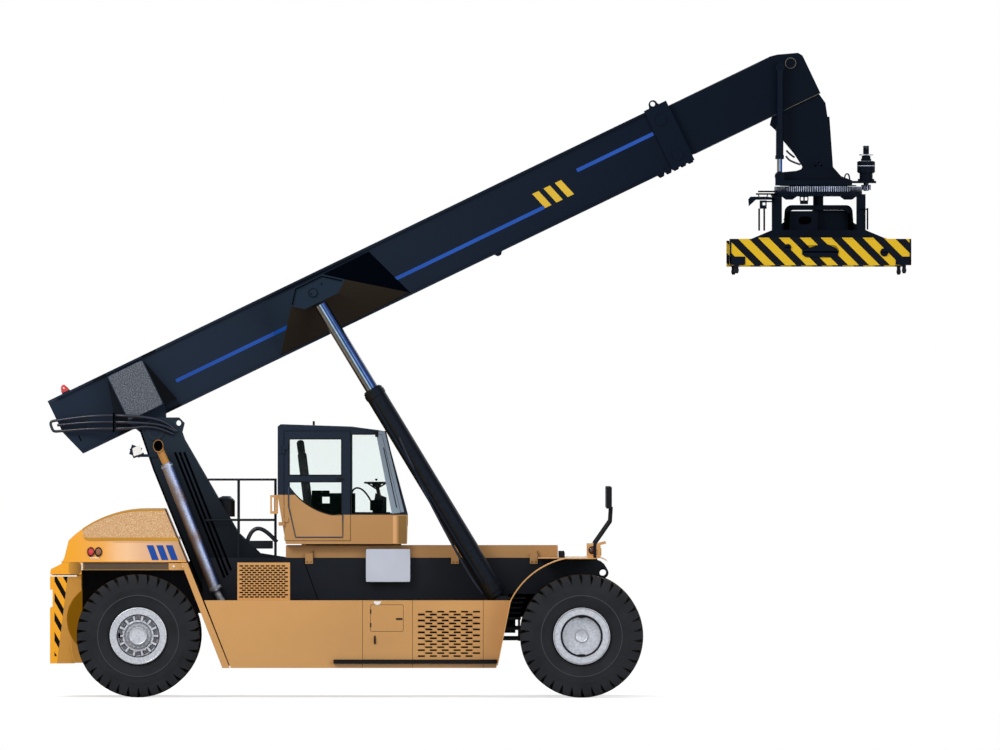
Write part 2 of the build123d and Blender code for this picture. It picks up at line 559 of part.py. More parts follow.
with BuildPart() as fenders:
    for side_name, sign in SIDES:
        with BuildSketch(Plane.XZ.offset(-span(sign, BODY_IN_Y, FENDER_OUT_Y)[1])):
            with BuildLine():
                inner_arc = CenterArc((FRONT_AXLE_X, AXLE_Z), FENDER_RADIUS, flat_angle,
                                      FENDER_SKIRT_ANGLE - flat_angle)
                outer_arc = CenterArc((FRONT_AXLE_X, AXLE_Z), FENDER_OUTER_RADIUS, flat_angle,
                                      FENDER_SKIRT_ANGLE - flat_angle)
                Polyline(inner_arc @ 0, (FENDER_TOP_FRONT_X, (inner_arc @ 0).Y),
                         (FENDER_TOP_FRONT_X, (outer_arc @ 0).Y), outer_arc @ 0)
                Polyline(inner_arc @ 1, (SKIRT_X + FENDER_THICKNESS, FENDER_SKIRT_BOTTOM_Z),
                         (SKIRT_X, FENDER_SKIRT_BOTTOM_Z), outer_arc @ 1)
            make_face()
        extrude(amount=FENDER_OUT_Y - BODY_IN_Y)
        fender_top = (outer_arc @ 0).Y
        add(block(FRONT_AXLE_X - 590, FENDER_TOP_FRONT_X, *span(sign, GIRDER_OUT_Y, BODY_IN_Y),
                  GIRDER_TOP_Z - 8, GIRDER_TOP_Z + 6))
        lamp_top = fender_top - 5 + LAMP_BOX_HEIGHT
        add(block(*LAMP_BOX_X, *span(sign, *LAMP_BOX_Y), fender_top - 5, lamp_top))
        with Locations((LAMP_BOX_X[1] - 5, sign * (LAMP_BOX_Y[0] + 95), fender_top + 80),
                       (LAMP_BOX_X[1] - 5, sign * (LAMP_BOX_Y[1] - 95), fender_top + 80)):
            Cylinder(LAMP_RADIUS, 30, rotation=(0, 90, 0))
        add(disc(LAMP_BOX_X[0] + 90, fender_top + 80, LAMP_RADIUS - 8,
                 *span(sign, LAMP_BOX_Y[1] - 5, LAMP_BOX_Y[1] + 12)))
save(fenders.part, "fenders")

MIRROR_Y = 1900.0
MIRROR_STEM = 22.0
MIRROR_X = FENDER_TOP_FRONT_X + 170
MIRROR_Z = fender_top + 812
with BuildPart() as mirrors:
    for side_name, sign in SIDES:
        stem_y = sign * MIRROR_Y
        add(pipe_along(((FENDER_TOP_FRONT_X - 22, stem_y, fender_top),
                        (FENDER_TOP_FRONT_X - 22, stem_y, fender_top + 190),
                        (MIRROR_X + 18, stem_y, MIRROR_Z - 320),
                        (MIRROR_X + 30, stem_y, MIRROR_Z - 120)), MIRROR_STEM, 40))
        with Locations((MIRROR_X, stem_y, MIRROR_Z)):
            Box(76, 220, 291)
save(mirrors.part, "mirrors")


# ---------------------------------------------------------------- axles
BOWL_RADIUS = 330.0
AXLE_TUBE_RADIUS = 180.0
AXLE_END_Y = 970.0
SPINDLE_END_Y = TWIN_OUTER_Y + 70
with BuildPart() as drive_axle:
    add(wheel_turning(((-SPINDLE_END_Y, 0), (-SPINDLE_END_Y, SPINDLE_RADIUS), (-AXLE_END_Y, SPINDLE_RADIUS),
                       (-AXLE_END_Y, AXLE_TUBE_RADIUS + 30), (-900, AXLE_TUBE_RADIUS),
                       (-420, AXLE_TUBE_RADIUS), (-230, BOWL_RADIUS), (230, BOWL_RADIUS),
                       (420, AXLE_TUBE_RADIUS), (900, AXLE_TUBE_RADIUS),
                       (AXLE_END_Y, AXLE_TUBE_RADIUS + 30), (AXLE_END_Y, SPINDLE_RADIUS),
                       (SPINDLE_END_Y, SPINDLE_RADIUS), (SPINDLE_END_Y, 0)), FRONT_AXLE_X))
    for side_name, sign in SIDES:
        add(block(FRONT_AXLE_X - 170, FRONT_AXLE_X + 170, *span(sign, GIRDER_IN_Y - 60, GIRDER_OUT_Y),
                  AXLE_Z, AXLE_PAD_Z))
save(drive_axle.part, "drive_axle")

STEER_BEAM_HALF = 130.0
STEER_BEAM_END_Y = 930.0
EAR_END_Y = KINGPIN_Y + 75
EAR_LOW = 160.0
EAR_HIGH = 220.0
with BuildPart() as steer_axle:
    add(block(REAR_AXLE_X - STEER_BEAM_HALF, REAR_AXLE_X + STEER_BEAM_HALF, -STEER_BEAM_END_Y,
              STEER_BEAM_END_Y, AXLE_Z - EAR_HIGH, AXLE_Z + EAR_HIGH))
    add(block(REAR_AXLE_X - 340, REAR_AXLE_X + 340, -160, 160, AXLE_Z - 60, AXLE_Z + 60))
    for side_name, sign in SIDES:
        for ear_low in (-EAR_HIGH, EAR_LOW):
            add(block(REAR_AXLE_X - 80, REAR_AXLE_X + 80, *span(sign, STEER_BEAM_END_Y - 30, EAR_END_Y),
                      AXLE_Z + ear_low, AXLE_Z + ear_low + EAR_HIGH - EAR_LOW))
        add(upright(REAR_AXLE_X, sign * KINGPIN_Y, KINGPIN_RADIUS + BEARING_GAP, AXLE_Z - EAR_HIGH - 10,
                    AXLE_Z + EAR_HIGH + 10), mode=Mode.SUBTRACT)
save(steer_axle.part, "steer_axle")

KNUCKLE_HALF = EAR_LOW - 10
KNUCKLE_END_Y = STEER_WHEEL_Y + 160
for side_name, sign in SIDES:
    with BuildPart() as knuckle:
        add(upright(REAR_AXLE_X, sign * KINGPIN_Y, KINGPIN_RADIUS, AXLE_Z - EAR_HIGH, AXLE_Z + EAR_HIGH))
        add(upright(REAR_AXLE_X, sign * KINGPIN_Y, KINGPIN_RADIUS + 40, AXLE_Z - KNUCKLE_HALF,
                    AXLE_Z + KNUCKLE_HALF))
        add(disc(REAR_AXLE_X, AXLE_Z, SPINDLE_RADIUS, *span(sign, KINGPIN_Y, KNUCKLE_END_Y)))
    save(knuckle.part, f"knuckle_{side_name}")


# ---------------------------------------------------------------- wheels and tyres
LUG_ANGLE = 2 * pi / TYRE_LUGS
LUG_TOP_SHARE = 0.64


def lug_outline():
    """Side outline of the tread: flat lug tops with a V groove between neighbours."""
    points = []
    for lug in range(TYRE_LUGS):
        for radius, turn in ((TYRE_RADIUS, -LUG_TOP_SHARE / 2), (TYRE_RADIUS, LUG_TOP_SHARE / 2),
                             (TYRE_RADIUS - LUG_DEPTH, 0.5)):
            angle = LUG_ANGLE * (lug + turn)
            points.append((radius * cos(angle), radius * sin(angle)))
    return points


def tyre(centre_y, x):
    """Tyre with lugs: a flat-sided band, bevelled at both shoulders and dished down to each bead."""
    shoulder = TYRE_RADIUS - LUG_DEPTH - SHOULDER_STEP
    with BuildPart() as body:
        with BuildSketch(Plane.XZ.offset(-(centre_y + TYRE_HALF))):
            with Locations((x, AXLE_Z)):
                RegularPolygon(shoulder, TYRE_LUGS, major_radius=False)
                RegularPolygon(RIM_SEAT_RADIUS, TYRE_LUGS, major_radius=False, mode=Mode.SUBTRACT)
        extrude(amount=TYRE_WIDTH)
        for end in (0, -1):
            side = body.faces().sort_by(Axis.Y)[end]
            chamfer(side.outer_wire().edges(), shoulder - SHOULDER_BEVEL_RADIUS, TYRE_HALF - TREAD_HALF,
                    reference=side)
            side = body.faces().sort_by(Axis.Y)[end]
            chamfer(side.inner_wires()[0].edges(), WALL_RADIUS - RIM_SEAT_RADIUS,
                    TYRE_HALF - RIM_SEAT_HALF, reference=side)
        with BuildSketch(Plane.XZ.offset(-(centre_y + TREAD_HALF))):
            with BuildLine():
                Polyline(*((x + a, AXLE_Z + b) for a, b in lug_outline()), close=True)
            make_face()
            with Locations((x, AXLE_Z)):
                RegularPolygon(shoulder - SHOULDER_STEP, TYRE_LUGS, major_radius=False, mode=Mode.SUBTRACT)
        extrude(amount=2 * TREAD_HALF)
    return body.part


def rim(centre_y, x):
    """Rim for one tyre: a hollow barrel with two flanges."""
    half = TYRE_HALF - 5
    edge = RIM_SEAT_RADIUS - RIM_WALL
    return wheel_turning(((centre_y - half, edge), (centre_y - half, RIM_FLANGE_RADIUS),
                          (centre_y - 0.93 * half, RIM_FLANGE_RADIUS),
                          (centre_y - RIM_SEAT_HALF, RIM_SEAT_RADIUS),
                          (centre_y + RIM_SEAT_HALF, RIM_SEAT_RADIUS),
                          (centre_y + 0.93 * half, RIM_FLANGE_RADIUS),
                          (centre_y + half, RIM_FLANGE_RADIUS), (centre_y + half, edge)), x)


RIM_EDGE = RIM_SEAT_RADIUS - RIM_WALL
TWIN_START = TWIN_INNER_Y - TYRE_HALF + 5
TWIN_END = TWIN_OUTER_Y + TYRE_HALF - 5
STEER_END = STEER_WHEEL_Y + TYRE_HALF - 5
HUB_BORE = SPINDLE_RADIUS + BEARING_GAP
for side_name, sign in SIDES:
    for place, centre_y in (("inner", TWIN_INNER_Y), ("outer", TWIN_OUTER_Y)):
        save(tyre(sign * centre_y, FRONT_AXLE_X), f"tyre_front_{side_name}_{place}")
    with BuildPart() as front_wheel:
        for centre_y in (TWIN_INNER_Y, TWIN_OUTER_Y):
            add(rim(sign * centre_y, FRONT_AXLE_X))
        # dished disc that closes the outer rim
        add(wheel_turning([(sign * y, r) for y, r in (
            (TWIN_START + 200, RIM_EDGE - 2), (TWIN_START + 200, RIM_EDGE + 10),
            (TWIN_END - 200, RIM_EDGE + 10), (TWIN_END - 120, RIM_EDGE - 35), (TWIN_END - 120, 0),
            (TWIN_END - 160, 0), (TWIN_END - 160, RIM_EDGE - 60), (TWIN_END - 240, RIM_EDGE - 30))],
            FRONT_AXLE_X))
        # hub that turns on the spindle
        add(wheel_turning([(sign * y, r) for y, r in (
            (TWIN_START + 200, HUB_BORE), (TWIN_START + 200, RIM_EDGE + 2),
            (TWIN_START + 240, RIM_EDGE + 2), (TWIN_START + 240, 200),
            (SPINDLE_END_Y, 200), (SPINDLE_END_Y, HUB_BORE))], FRONT_AXLE_X))
    save(front_wheel.part, f"wheel_front_{side_name}")

    save(tyre(sign * STEER_WHEEL_Y, REAR_AXLE_X), f"tyre_rear_{side_name}")
    with BuildPart() as rear_wheel:
        add(rim(sign * STEER_WHEEL_Y, REAR_AXLE_X))
        add(wheel_turning([(sign * y, r) for y, r in (
            (STEER_WHEEL_Y - 100, HUB_BORE), (STEER_WHEEL_Y - 100, 180), (STEER_WHEEL_Y + 80, 180),
            (STEER_WHEEL_Y + 80, RIM_EDGE + 2), (STEER_WHEEL_Y + 120, RIM_EDGE + 2),
            (STEER_WHEEL_Y + 120, 210), (STEER_END - 40, 190), (STEER_END - 30, 120),
            (STEER_END + 20, 120), (STEER_END + 20, 0), (KNUCKLE_END_Y + 20, 0),
            (KNUCKLE_END_Y + 20, HUB_BORE))], REAR_AXLE_X))
    save(rear_wheel.part, f"wheel_rear_{side_name}")


# ---------------------------------------------------------------- boom
COLLAR_FLANGE = 45.0
COLLAR_CAP_VS = (BOOM_LOW_V + 141, BOOM_LOW_V + 660)
COLLAR_CAP_RADIUS = 76.0
COLLAR_CAP_U = BOOM_MOUTH_U - 175
COLLAR_LUG_V = BOOM_HIGH_V + 49
COLLAR_LUG_RADIUS = 58.0
COLLAR_LUG_HOLE_RADIUS = 34.0
GUIDE_TEETH = 5
GUIDE_PITCH = 109.0
FLANGE_OUT = 30.0
HUB_HALF_LENGTH = 267.0
HUB_LOW_V = BOOM_LOW_V + 127
HUB_HIGH_V = BOOM_HIGH_V - 52
HUB_GUSSET_U = 454.0
SMALL_BRACKET_U = 5242.0
with BuildPart() as boom_outer:
    add(slab(((BOOM_TAIL_U, BOOM_HIGH_V), (BOOM_TAIL_U, BOOM_LOW_V + 378), (BOOM_TAIL_U + 125, BOOM_LOW_V),
              (BOOM_MOUTH_U, BOOM_LOW_V), (BOOM_MOUTH_U, BOOM_HIGH_V)), -BOOM_Y, BOOM_Y, BOOM_SIDE))
    for low, high in ((BOOM_LOW_V, BOOM_LOW_V + BOOM_WALL), (BOOM_HIGH_V - BOOM_WALL, BOOM_HIGH_V)):
        add(slab(((BOOM_TAIL_U + 125, low), (BOOM_MOUTH_U, low), (BOOM_MOUTH_U, high),
                  (BOOM_TAIL_U + 125, high)), -BOOM_Y - FLANGE_OUT, BOOM_Y + FLANGE_OUT, BOOM_SIDE))
    # collar at the mouth with its caps, lifting lug and the row of guides under it
    add(slab(((BOOM_MOUTH_U - COLLAR_LENGTH, BOOM_LOW_V - 20), (BOOM_MOUTH_U, BOOM_LOW_V - 20),
              (BOOM_MOUTH_U, BOOM_HIGH_V + 20), (BOOM_MOUTH_U - COLLAR_LENGTH, BOOM_HIGH_V + 20)),
             -BOOM_Y - COLLAR_FLANGE, BOOM_Y + COLLAR_FLANGE, BOOM_SIDE))
    for side_name, sign in SIDES:
        for cap_v in COLLAR_CAP_VS:
            add(disc(COLLAR_CAP_U, cap_v, COLLAR_CAP_RADIUS,
                     *span(sign, BOOM_Y + COLLAR_FLANGE - 5, BOOM_Y + COLLAR_FLANGE + 18), BOOM_SIDE))
        lug = span(sign, BOOM_Y - 60, BOOM_Y - 20)
        add(disc(COLLAR_CAP_U - 6, COLLAR_LUG_V, COLLAR_LUG_RADIUS, *lug, BOOM_SIDE))
        add(slab(((COLLAR_CAP_U - 90, BOOM_HIGH_V), (COLLAR_CAP_U + 78, BOOM_HIGH_V),
                  (COLLAR_CAP_U + 50, COLLAR_LUG_V), (COLLAR_CAP_U - 62, COLLAR_LUG_V)), *lug, BOOM_SIDE))
        add(disc(COLLAR_CAP_U - 6, COLLAR_LUG_V + 8, COLLAR_LUG_HOLE_RADIUS, *lug, BOOM_SIDE),
            mode=Mode.SUBTRACT)
        for tooth in range(GUIDE_TEETH):
            tooth_u = BOOM_MOUTH_U - GUIDE_PITCH * (tooth + 1)
            add(slab(((tooth_u, BOOM_LOW_V + 1), (tooth_u + 22, BOOM_LOW_V - 42),
                      (tooth_u + 80, BOOM_LOW_V - 42), (tooth_u + 101, BOOM_LOW_V + 1)),
                     *span(sign, BOOM_Y - 40, BOOM_Y + 10), BOOM_SIDE))
    # hub: side plates over the pivot, gusseted down to the boom's lower flange
    add(slab(((-HUB_HALF_LENGTH, HUB_LOW_V), (HUB_HALF_LENGTH, HUB_LOW_V), (HUB_HALF_LENGTH, HUB_HIGH_V),
              (-HUB_HALF_LENGTH, HUB_HIGH_V)), -TOWER_OUT_Y, TOWER_OUT_Y, BOOM_SIDE))
    add(slab(((-HUB_GUSSET_U, HUB_LOW_V - 12), (HUB_GUSSET_U, HUB_LOW_V - 12),
              (HUB_HALF_LENGTH, HUB_HIGH_V), (-HUB_HALF_LENGTH, HUB_HIGH_V)),
             -TOWER_OUT_Y + 40, TOWER_OUT_Y - 40, BOOM_SIDE))
    for side_name, sign in SIDES:
        lug_y = span(sign, TOWER_IN_Y - 110, TOWER_IN_Y - CHEEK_GAP)
        add(slab(((-150, -20), (150, -20), (300, 300), (-300, 300)), *lug_y, BOOM_SIDE))
        add(disc(0, 0, 150, *lug_y, BOOM_SIDE))
        add(disc(0, 0, PIVOT_PIN_RADIUS, *span(sign, TOWER_IN_Y - 110, TOWER_OUT_Y + 20), BOOM_SIDE))
        add(slab(((SMALL_BRACKET_U - 60, BOOM_LOW_V + 1), (SMALL_BRACKET_U + 60, BOOM_LOW_V + 1),
                  (SMALL_BRACKET_U + 24, BOOM_LOW_V - 40), (SMALL_BRACKET_U - 24, BOOM_LOW_V - 40)),
                 *span(sign, BOOM_Y - 20, BOOM_Y), BOOM_SIDE))
    add(slab(((BOOM_TAIL_U + 500, BOOM_LOW_V + BOOM_WALL), (BOOM_MOUTH_U + 10, BOOM_LOW_V + BOOM_WALL),
              (BOOM_MOUTH_U + 10, BOOM_HIGH_V - BOOM_WALL - 15),
              (BOOM_TAIL_U + 500, BOOM_HIGH_V - BOOM_WALL - 15)),
             -BOOM_Y + BOOM_WALL, BOOM_Y - BOOM_WALL, BOOM_SIDE), mode=Mode.SUBTRACT)
save(boom_outer.part, "boom_outer")

# outlines about the lift pin, as (along the boom, above the pivot line)
CHEEK_OUTLINE = (
    (LIFT_PIN_U - 351, LIFT_PIN_V - 36), (LIFT_PIN_U - 205, LIFT_PIN_V + 161),
    (LIFT_PIN_U + 223, LIFT_PIN_V + 169), (LIFT_PIN_U + 466, LIFT_PIN_V - 26),
    (LIFT_PIN_U + 300, LIFT_PIN_V - 152), (LIFT_PIN_U - 200, LIFT_PIN_V - 152),
)
WING_OUTLINE = (
    (LIFT_PIN_U - 784, BOOM_LOW_V + 20), (LIFT_PIN_U - 650, BOOM_HIGH_V - 80),
    (LIFT_PIN_U + 918, BOOM_HIGH_V - 70), (LIFT_PIN_U + 1185, BOOM_LOW_V + 30),
    (LIFT_PIN_U + 650, BOOM_LOW_V + 10), (LIFT_PIN_U - 350, BOOM_LOW_V + 10),
)
for side_name, sign in SIDES:
    with BuildPart() as lift_bracket:
        for outline, y in ((WING_OUTLINE, BOOM_Y), (CHEEK_OUTLINE, LIFT_Y - CHEEK_IN)):
            with BuildSketch(BOOM_SIDE.offset(-sign * y)):
                with BuildLine():
                    Polyline(*outline, close=True)
                make_face()
        loft()
        for low, high in ((BOOM_LOW_V, BOOM_LOW_V + BOOM_WALL), (BOOM_HIGH_V - BOOM_WALL, BOOM_HIGH_V)):
            add(slab(((LIFT_PIN_U - 1600, low - 1), (LIFT_PIN_U + 1600, low - 1),
                      (LIFT_PIN_U + 1600, high + 1), (LIFT_PIN_U - 1600, high + 1)),
                     *span(sign, BOOM_Y - 1, BOOM_Y + FLANGE_OUT), BOOM_SIDE), mode=Mode.SUBTRACT)
        add(slab(((LIFT_PIN_U - 351, LIFT_PIN_V - 36), (LIFT_PIN_U - 205, LIFT_PIN_V + 161),
                  (LIFT_PIN_U - 165, LIFT_PIN_V + 161), (LIFT_PIN_U - 311, LIFT_PIN_V - 36)),
                 *span(sign, LIFT_Y - CHEEK_IN - 5, LIFT_Y + CHEEK_IN + 5), BOOM_SIDE))
        add(slab(CHEEK_OUTLINE, *span(sign, LIFT_Y + CHEEK_IN, LIFT_Y + CHEEK_IN + CHEEK_PLATE), BOOM_SIDE))
        for low, high in ((LIFT_Y - CHEEK_IN - 5, LIFT_Y - LIFT_EYE_HALF - CHEEK_GAP),
                          (LIFT_Y + LIFT_EYE_HALF + CHEEK_GAP, LIFT_Y + CHEEK_IN + 5)):
            add(disc(LIFT_PIN_U, LIFT_PIN_V, CHEEK_BOSS_RADIUS, *span(sign, low, high), BOOM_SIDE))
        add(disc(LIFT_PIN_U, LIFT_PIN_V, LIFT_PIN_RADIUS,
                 *span(sign, LIFT_Y + CHEEK_IN + CHEEK_PLATE - 5, LIFT_Y + CHEEK_IN + CHEEK_PLATE + 14),
                 BOOM_SIDE))
    save(lift_bracket.part, f"lift_bracket_{side_name}")

HEAD_START_U = INNER_END_U - 1276
HEAD_SLOPE_START = (INNER_END_U - 400, INNER_HIGH_V)
HEAD_SLOPE_END = (INNER_END_U - 40, INNER_HIGH_V - 120)
with BuildPart() as boom_inner:
    add(slab(((INNER_TAIL_U, INNER_LOW_V), (INNER_END_U - 3, INNER_LOW_V + 14),
              (INNER_END_U, INNER_HIGH_V - 181), HEAD_SLOPE_END,
              (INNER_END_U - 305, INNER_HIGH_V - 19), HEAD_SLOPE_START,
              (INNER_TAIL_U, INNER_HIGH_V)), -INNER_Y, INNER_Y, BOOM_SIDE))
    add(slab(((INNER_TAIL_U - 10, INNER_LOW_V + BOOM_WALL), (HEAD_START_U, INNER_LOW_V + BOOM_WALL),
              (HEAD_START_U, INNER_LOW_V - 10), (INNER_END_U + 10, INNER_LOW_V - 10),
              (INNER_END_U + 10, TIP_PIN_V), (INNER_END_U - 305, INNER_HIGH_V - 19 - 1.5 * BOOM_WALL),
              (INNER_END_U - 400, INNER_HIGH_V - BOOM_WALL), (INNER_TAIL_U - 10, INNER_HIGH_V - BOOM_WALL)),
             -INNER_Y + BOOM_WALL, INNER_Y - BOOM_WALL, BOOM_SIDE), mode=Mode.SUBTRACT)
    add(disc(TIP_PIN_U, TIP_PIN_V, TIP_PIN_RADIUS, -INNER_Y - 12, INNER_Y + 12, BOOM_SIDE))
    for side_name, sign in SIDES:
        add(disc(TILT_TOP_X, TILT_TOP_Z, TILT_PIN_RADIUS, *span(sign, INNER_Y - BOOM_WALL, TILT_Y + 45)))
save(boom_inner.part, "boom_inner")


# ---------------------------------------------------------------- lift cylinders
ROD_TAIL = 1620.0
PISTON_LENGTH = 65.0
GLAND_LENGTH = 90.0
FOOT_EYE_RADIUS = FOOT_EAR_RADIUS - 12
LIFT_LENGTH = hypot(LIFT_PIN_X - LIFT_FOOT_X, LIFT_PIN_Z - LIFT_FOOT_Z)
LIFT_DIR = Vector((LIFT_PIN_X - LIFT_FOOT_X) / LIFT_LENGTH, 0, (LIFT_PIN_Z - LIFT_FOOT_Z) / LIFT_LENGTH)


def on_lift_axis(sign, distance):
    """Point on a lift cylinder's axis at a distance from its foot pin."""
    return (LIFT_FOOT_X + LIFT_DIR.X * distance, sign * LIFT_Y, LIFT_FOOT_Z + LIFT_DIR.Z * distance)


for side_name, sign in SIDES:
    eye = span(sign, LIFT_Y - LIFT_EYE_HALF, LIFT_Y + LIFT_EYE_HALF)
    with BuildPart() as lift_barrel:
        add(bar_between(on_lift_axis(sign, FOOT_EAR_RADIUS + 30), on_lift_axis(sign, LIFT_BARREL_LENGTH),
                        LIFT_BARREL_RADIUS))
        add(bar_between(on_lift_axis(sign, 60), on_lift_axis(sign, FOOT_EAR_RADIUS + 40),
                        LIFT_EYE_HALF - 4))
        add(disc(LIFT_FOOT_X, LIFT_FOOT_Z, FOOT_EYE_RADIUS, *eye))
        add(disc(LIFT_FOOT_X, LIFT_FOOT_Z, FOOT_PIN_RADIUS + BEARING_GAP, *eye), mode=Mode.SUBTRACT)
        add(bar_between(on_lift_axis(sign, FOOT_EAR_RADIUS + 60),
                        on_lift_axis(sign, LIFT_BARREL_LENGTH - GLAND_LENGTH), LIFT_BORE_RADIUS + 1),
            mode=Mode.SUBTRACT)
        add(bar_between(on_lift_axis(sign, LIFT_BARREL_LENGTH - GLAND_LENGTH - 10),
                        on_lift_axis(sign, LIFT_BARREL_LENGTH + 10), LIFT_ROD_RADIUS + BEARING_GAP),
            mode=Mode.SUBTRACT)
    save(lift_barrel.part, f"lift_barrel_{side_name}")
    with BuildPart() as lift_rod:
        add(bar_between(on_lift_axis(sign, ROD_TAIL), on_lift_axis(sign, LIFT_LENGTH - 60), LIFT_ROD_RADIUS))
        add(bar_between(on_lift_axis(sign, ROD_TAIL), on_lift_axis(sign, ROD_TAIL + PISTON_LENGTH),
                        LIFT_BORE_RADIUS))
        add(disc(LIFT_PIN_X, LIFT_PIN_Z, LIFT_EYE_RADIUS, *eye))
        add(disc(LIFT_PIN_X, LIFT_PIN_Z, LIFT_PIN_RADIUS, *eye), mode=Mode.SUBTRACT)
    save(lift_rod.part, f"lift_rod_{side_name}")


# ---------------------------------------------------------------- neck
# outline of a side plate as offsets (forward, up) from the boom's head pin
NECK_OUTLINE = (
    (-20, 68), (50, 52), (473, -539), (501, -726), (577, -1410), (687, -1534), (833, -1589),
    (-204, -1589), (-204, -1495), (-100, -1478), (79, -1461), (148, -1437), (163, -1402), (52, -1230),
    (-86, -1063), (-211, -898), (-280, -836), (-70, 20),
)
NECK_HOLES = ((379, -1347), (339, -1392), (419, -1392))
NECK_HOLE_RADIUS = 14.0
FRONT_SHEET = ((528, -726), (577, -1410), (545, -1410), (493, -726))
HEAD_BOSS_RADIUS = 72.0
EAR_PLATE = 20.0
EAR_GAP = 6.0
MOTOR_PLATE_TOP_Z = NECK_BASE_TOP_Z - 8
MOTOR_PLATE_BOTTOM_Z = NECK_BASE_TOP_Z - 39
MOTOR_PLATE_HALF = 150.0
RACE_RADIUS = RING_BORE_RADIUS - 1
with BuildPart() as neck_frame:
    add(block(NECK_BASE_REAR_X, NECK_BASE_FRONT_X, -TILT_Y - 70, TILT_Y + 70, NECK_BASE_BOTTOM_Z,
              NECK_BASE_TOP_Z))
    for side_name, sign in SIDES:
        plate = span(sign, NECK_IN_Y, NECK_OUT_Y)
        add(slab([(HEAD_X + x, HEAD_Z + z) for x, z in NECK_OUTLINE], *plate))
        for x, z in NECK_HOLES:
            add(disc(HEAD_X + x, HEAD_Z + z, NECK_HOLE_RADIUS, *plate), mode=Mode.SUBTRACT)
        add(block(NECK_BASE_REAR_X - 1, TILT_FOOT_X + 90,
                  *span(sign, TILT_Y - TILT_EYE_HALF - EAR_GAP, TILT_Y + TILT_EYE_HALF + EAR_GAP),
                  NECK_BASE_BOTTOM_Z - 1, NECK_BASE_TOP_Z + 1), mode=Mode.SUBTRACT)
        for ear_y in (TILT_Y - TILT_EYE_HALF - EAR_GAP - EAR_PLATE, TILT_Y + TILT_EYE_HALF + EAR_GAP):
            ear = span(sign, ear_y, ear_y + EAR_PLATE)
            add(disc(TILT_FOOT_X, TILT_FOOT_Z, 62, *ear))
            add(block(TILT_FOOT_X - 56, TILT_FOOT_X + 62, *ear, NECK_BASE_TOP_Z - 10, TILT_FOOT_Z))
    add(block(NECK_BASE_FRONT_X - 28, PINION_X + 136, -MOTOR_PLATE_HALF, MOTOR_PLATE_HALF,
              MOTOR_PLATE_BOTTOM_Z, MOTOR_PLATE_TOP_Z))
    add(slab([(HEAD_X + x, HEAD_Z + z) for x, z in FRONT_SHEET], -NECK_IN_Y, NECK_IN_Y))
    add(disc(TIP_X, TIP_Z, HEAD_BOSS_RADIUS, -NECK_OUT_Y, NECK_OUT_Y))
    add(disc(TIP_X, TIP_Z, TIP_PIN_RADIUS + BEARING_GAP, -NECK_OUT_Y, NECK_OUT_Y), mode=Mode.SUBTRACT)
    add(upright(PINION_X, 0, PINION_SHAFT_RADIUS + 1, NECK_BASE_BOTTOM_Z, NECK_BASE_TOP_Z),
        mode=Mode.SUBTRACT)
    add(upright(ROTATOR_X, 0, 520, RING_TOP_Z + 8, NECK_BASE_BOTTOM_Z + 5))
    add(upright(ROTATOR_X, 0, RACE_RADIUS, HEAD_PLATE_BOTTOM_Z + 20, RING_TOP_Z + 8))
save(neck_frame.part, "neck_frame")

# (low, high, radius) of each turned step, low and high above the neck's base plate
MOTOR_STEPS = ((-8, 20, 112), (20, 97, 90), (97, 109, 110), (109, 255, 122), (255, 294, 70),
               (294, 334, 60), (334, 469, 40))
with BuildPart() as slew_motor:
    for low, high, radius in MOTOR_STEPS:
        add(upright(PINION_X, 0, radius, NECK_BASE_TOP_Z + low, NECK_BASE_TOP_Z + high))
save(slew_motor.part, "slew_motor")


def gear_outline(teeth, phase):
    """Outline of a straight-toothed gear: two root corners and two tip corners for each tooth."""
    pitch_radius = GEAR_MODULE * teeth / 2
    root_half = TOOTH_WIDTH / 2 + TOOTH_SLOPE * TOOTH_ROOT
    tip_half = TOOTH_WIDTH / 2 - TOOTH_SLOPE * TOOTH_TIP
    points = []
    for tooth in range(teeth):
        middle = 2 * pi * tooth / teeth + phase
        for radius, half in ((pitch_radius - TOOTH_ROOT, -root_half), (pitch_radius + TOOTH_TIP, -tip_half),
                             (pitch_radius + TOOTH_TIP, tip_half), (pitch_radius - TOOTH_ROOT, root_half)):
            angle = middle + half / radius
            points.append((radius * cos(angle), radius * sin(angle)))
    return points


def gear(x, teeth, phase, bore, z_low, z_high):
    """Gear blank with its teeth cut and, where a bore is given, its middle open."""
    with BuildPart() as wheel:
        with BuildSketch(Plane((x, 0, z_low))):
            with BuildLine():
                Polyline(*gear_outline(teeth, phase), close=True)
            make_face()
            if bore:
                Circle(bore, mode=Mode.SUBTRACT)
        extrude(amount=z_high - z_low)
    return wheel.part


# a gap of the pinion faces a tooth of the ring
with BuildPart() as slew_pinion:
    add(gear(PINION_X, PINION_TEETH, pi / PINION_TEETH, 0, RING_TOP_Z - 46, RING_TOP_Z + 24))
    add(upright(PINION_X, 0, PINION_SHAFT_RADIUS, RING_TOP_Z - 59, NECK_BASE_TOP_Z - 8))
save(slew_pinion.part, "slew_pinion")


# ---------------------------------------------------------------- tilt cylinders
TILT_BARREL_START = 40.0
TILT_BARREL_LENGTH = 1243.0
TILT_ROD_TAIL = 800.0
TILT_LENGTH = hypot(TILT_TOP_X - TILT_FOOT_X, TILT_TOP_Z - TILT_FOOT_Z)


def on_tilt_axis(sign, distance):
    """Point on a tilt cylinder's axis at a distance below its top pin."""
    share = distance / TILT_LENGTH
    return (TILT_TOP_X + share * (TILT_FOOT_X - TILT_TOP_X), sign * TILT_Y,
            TILT_TOP_Z + share * (TILT_FOOT_Z - TILT_TOP_Z))


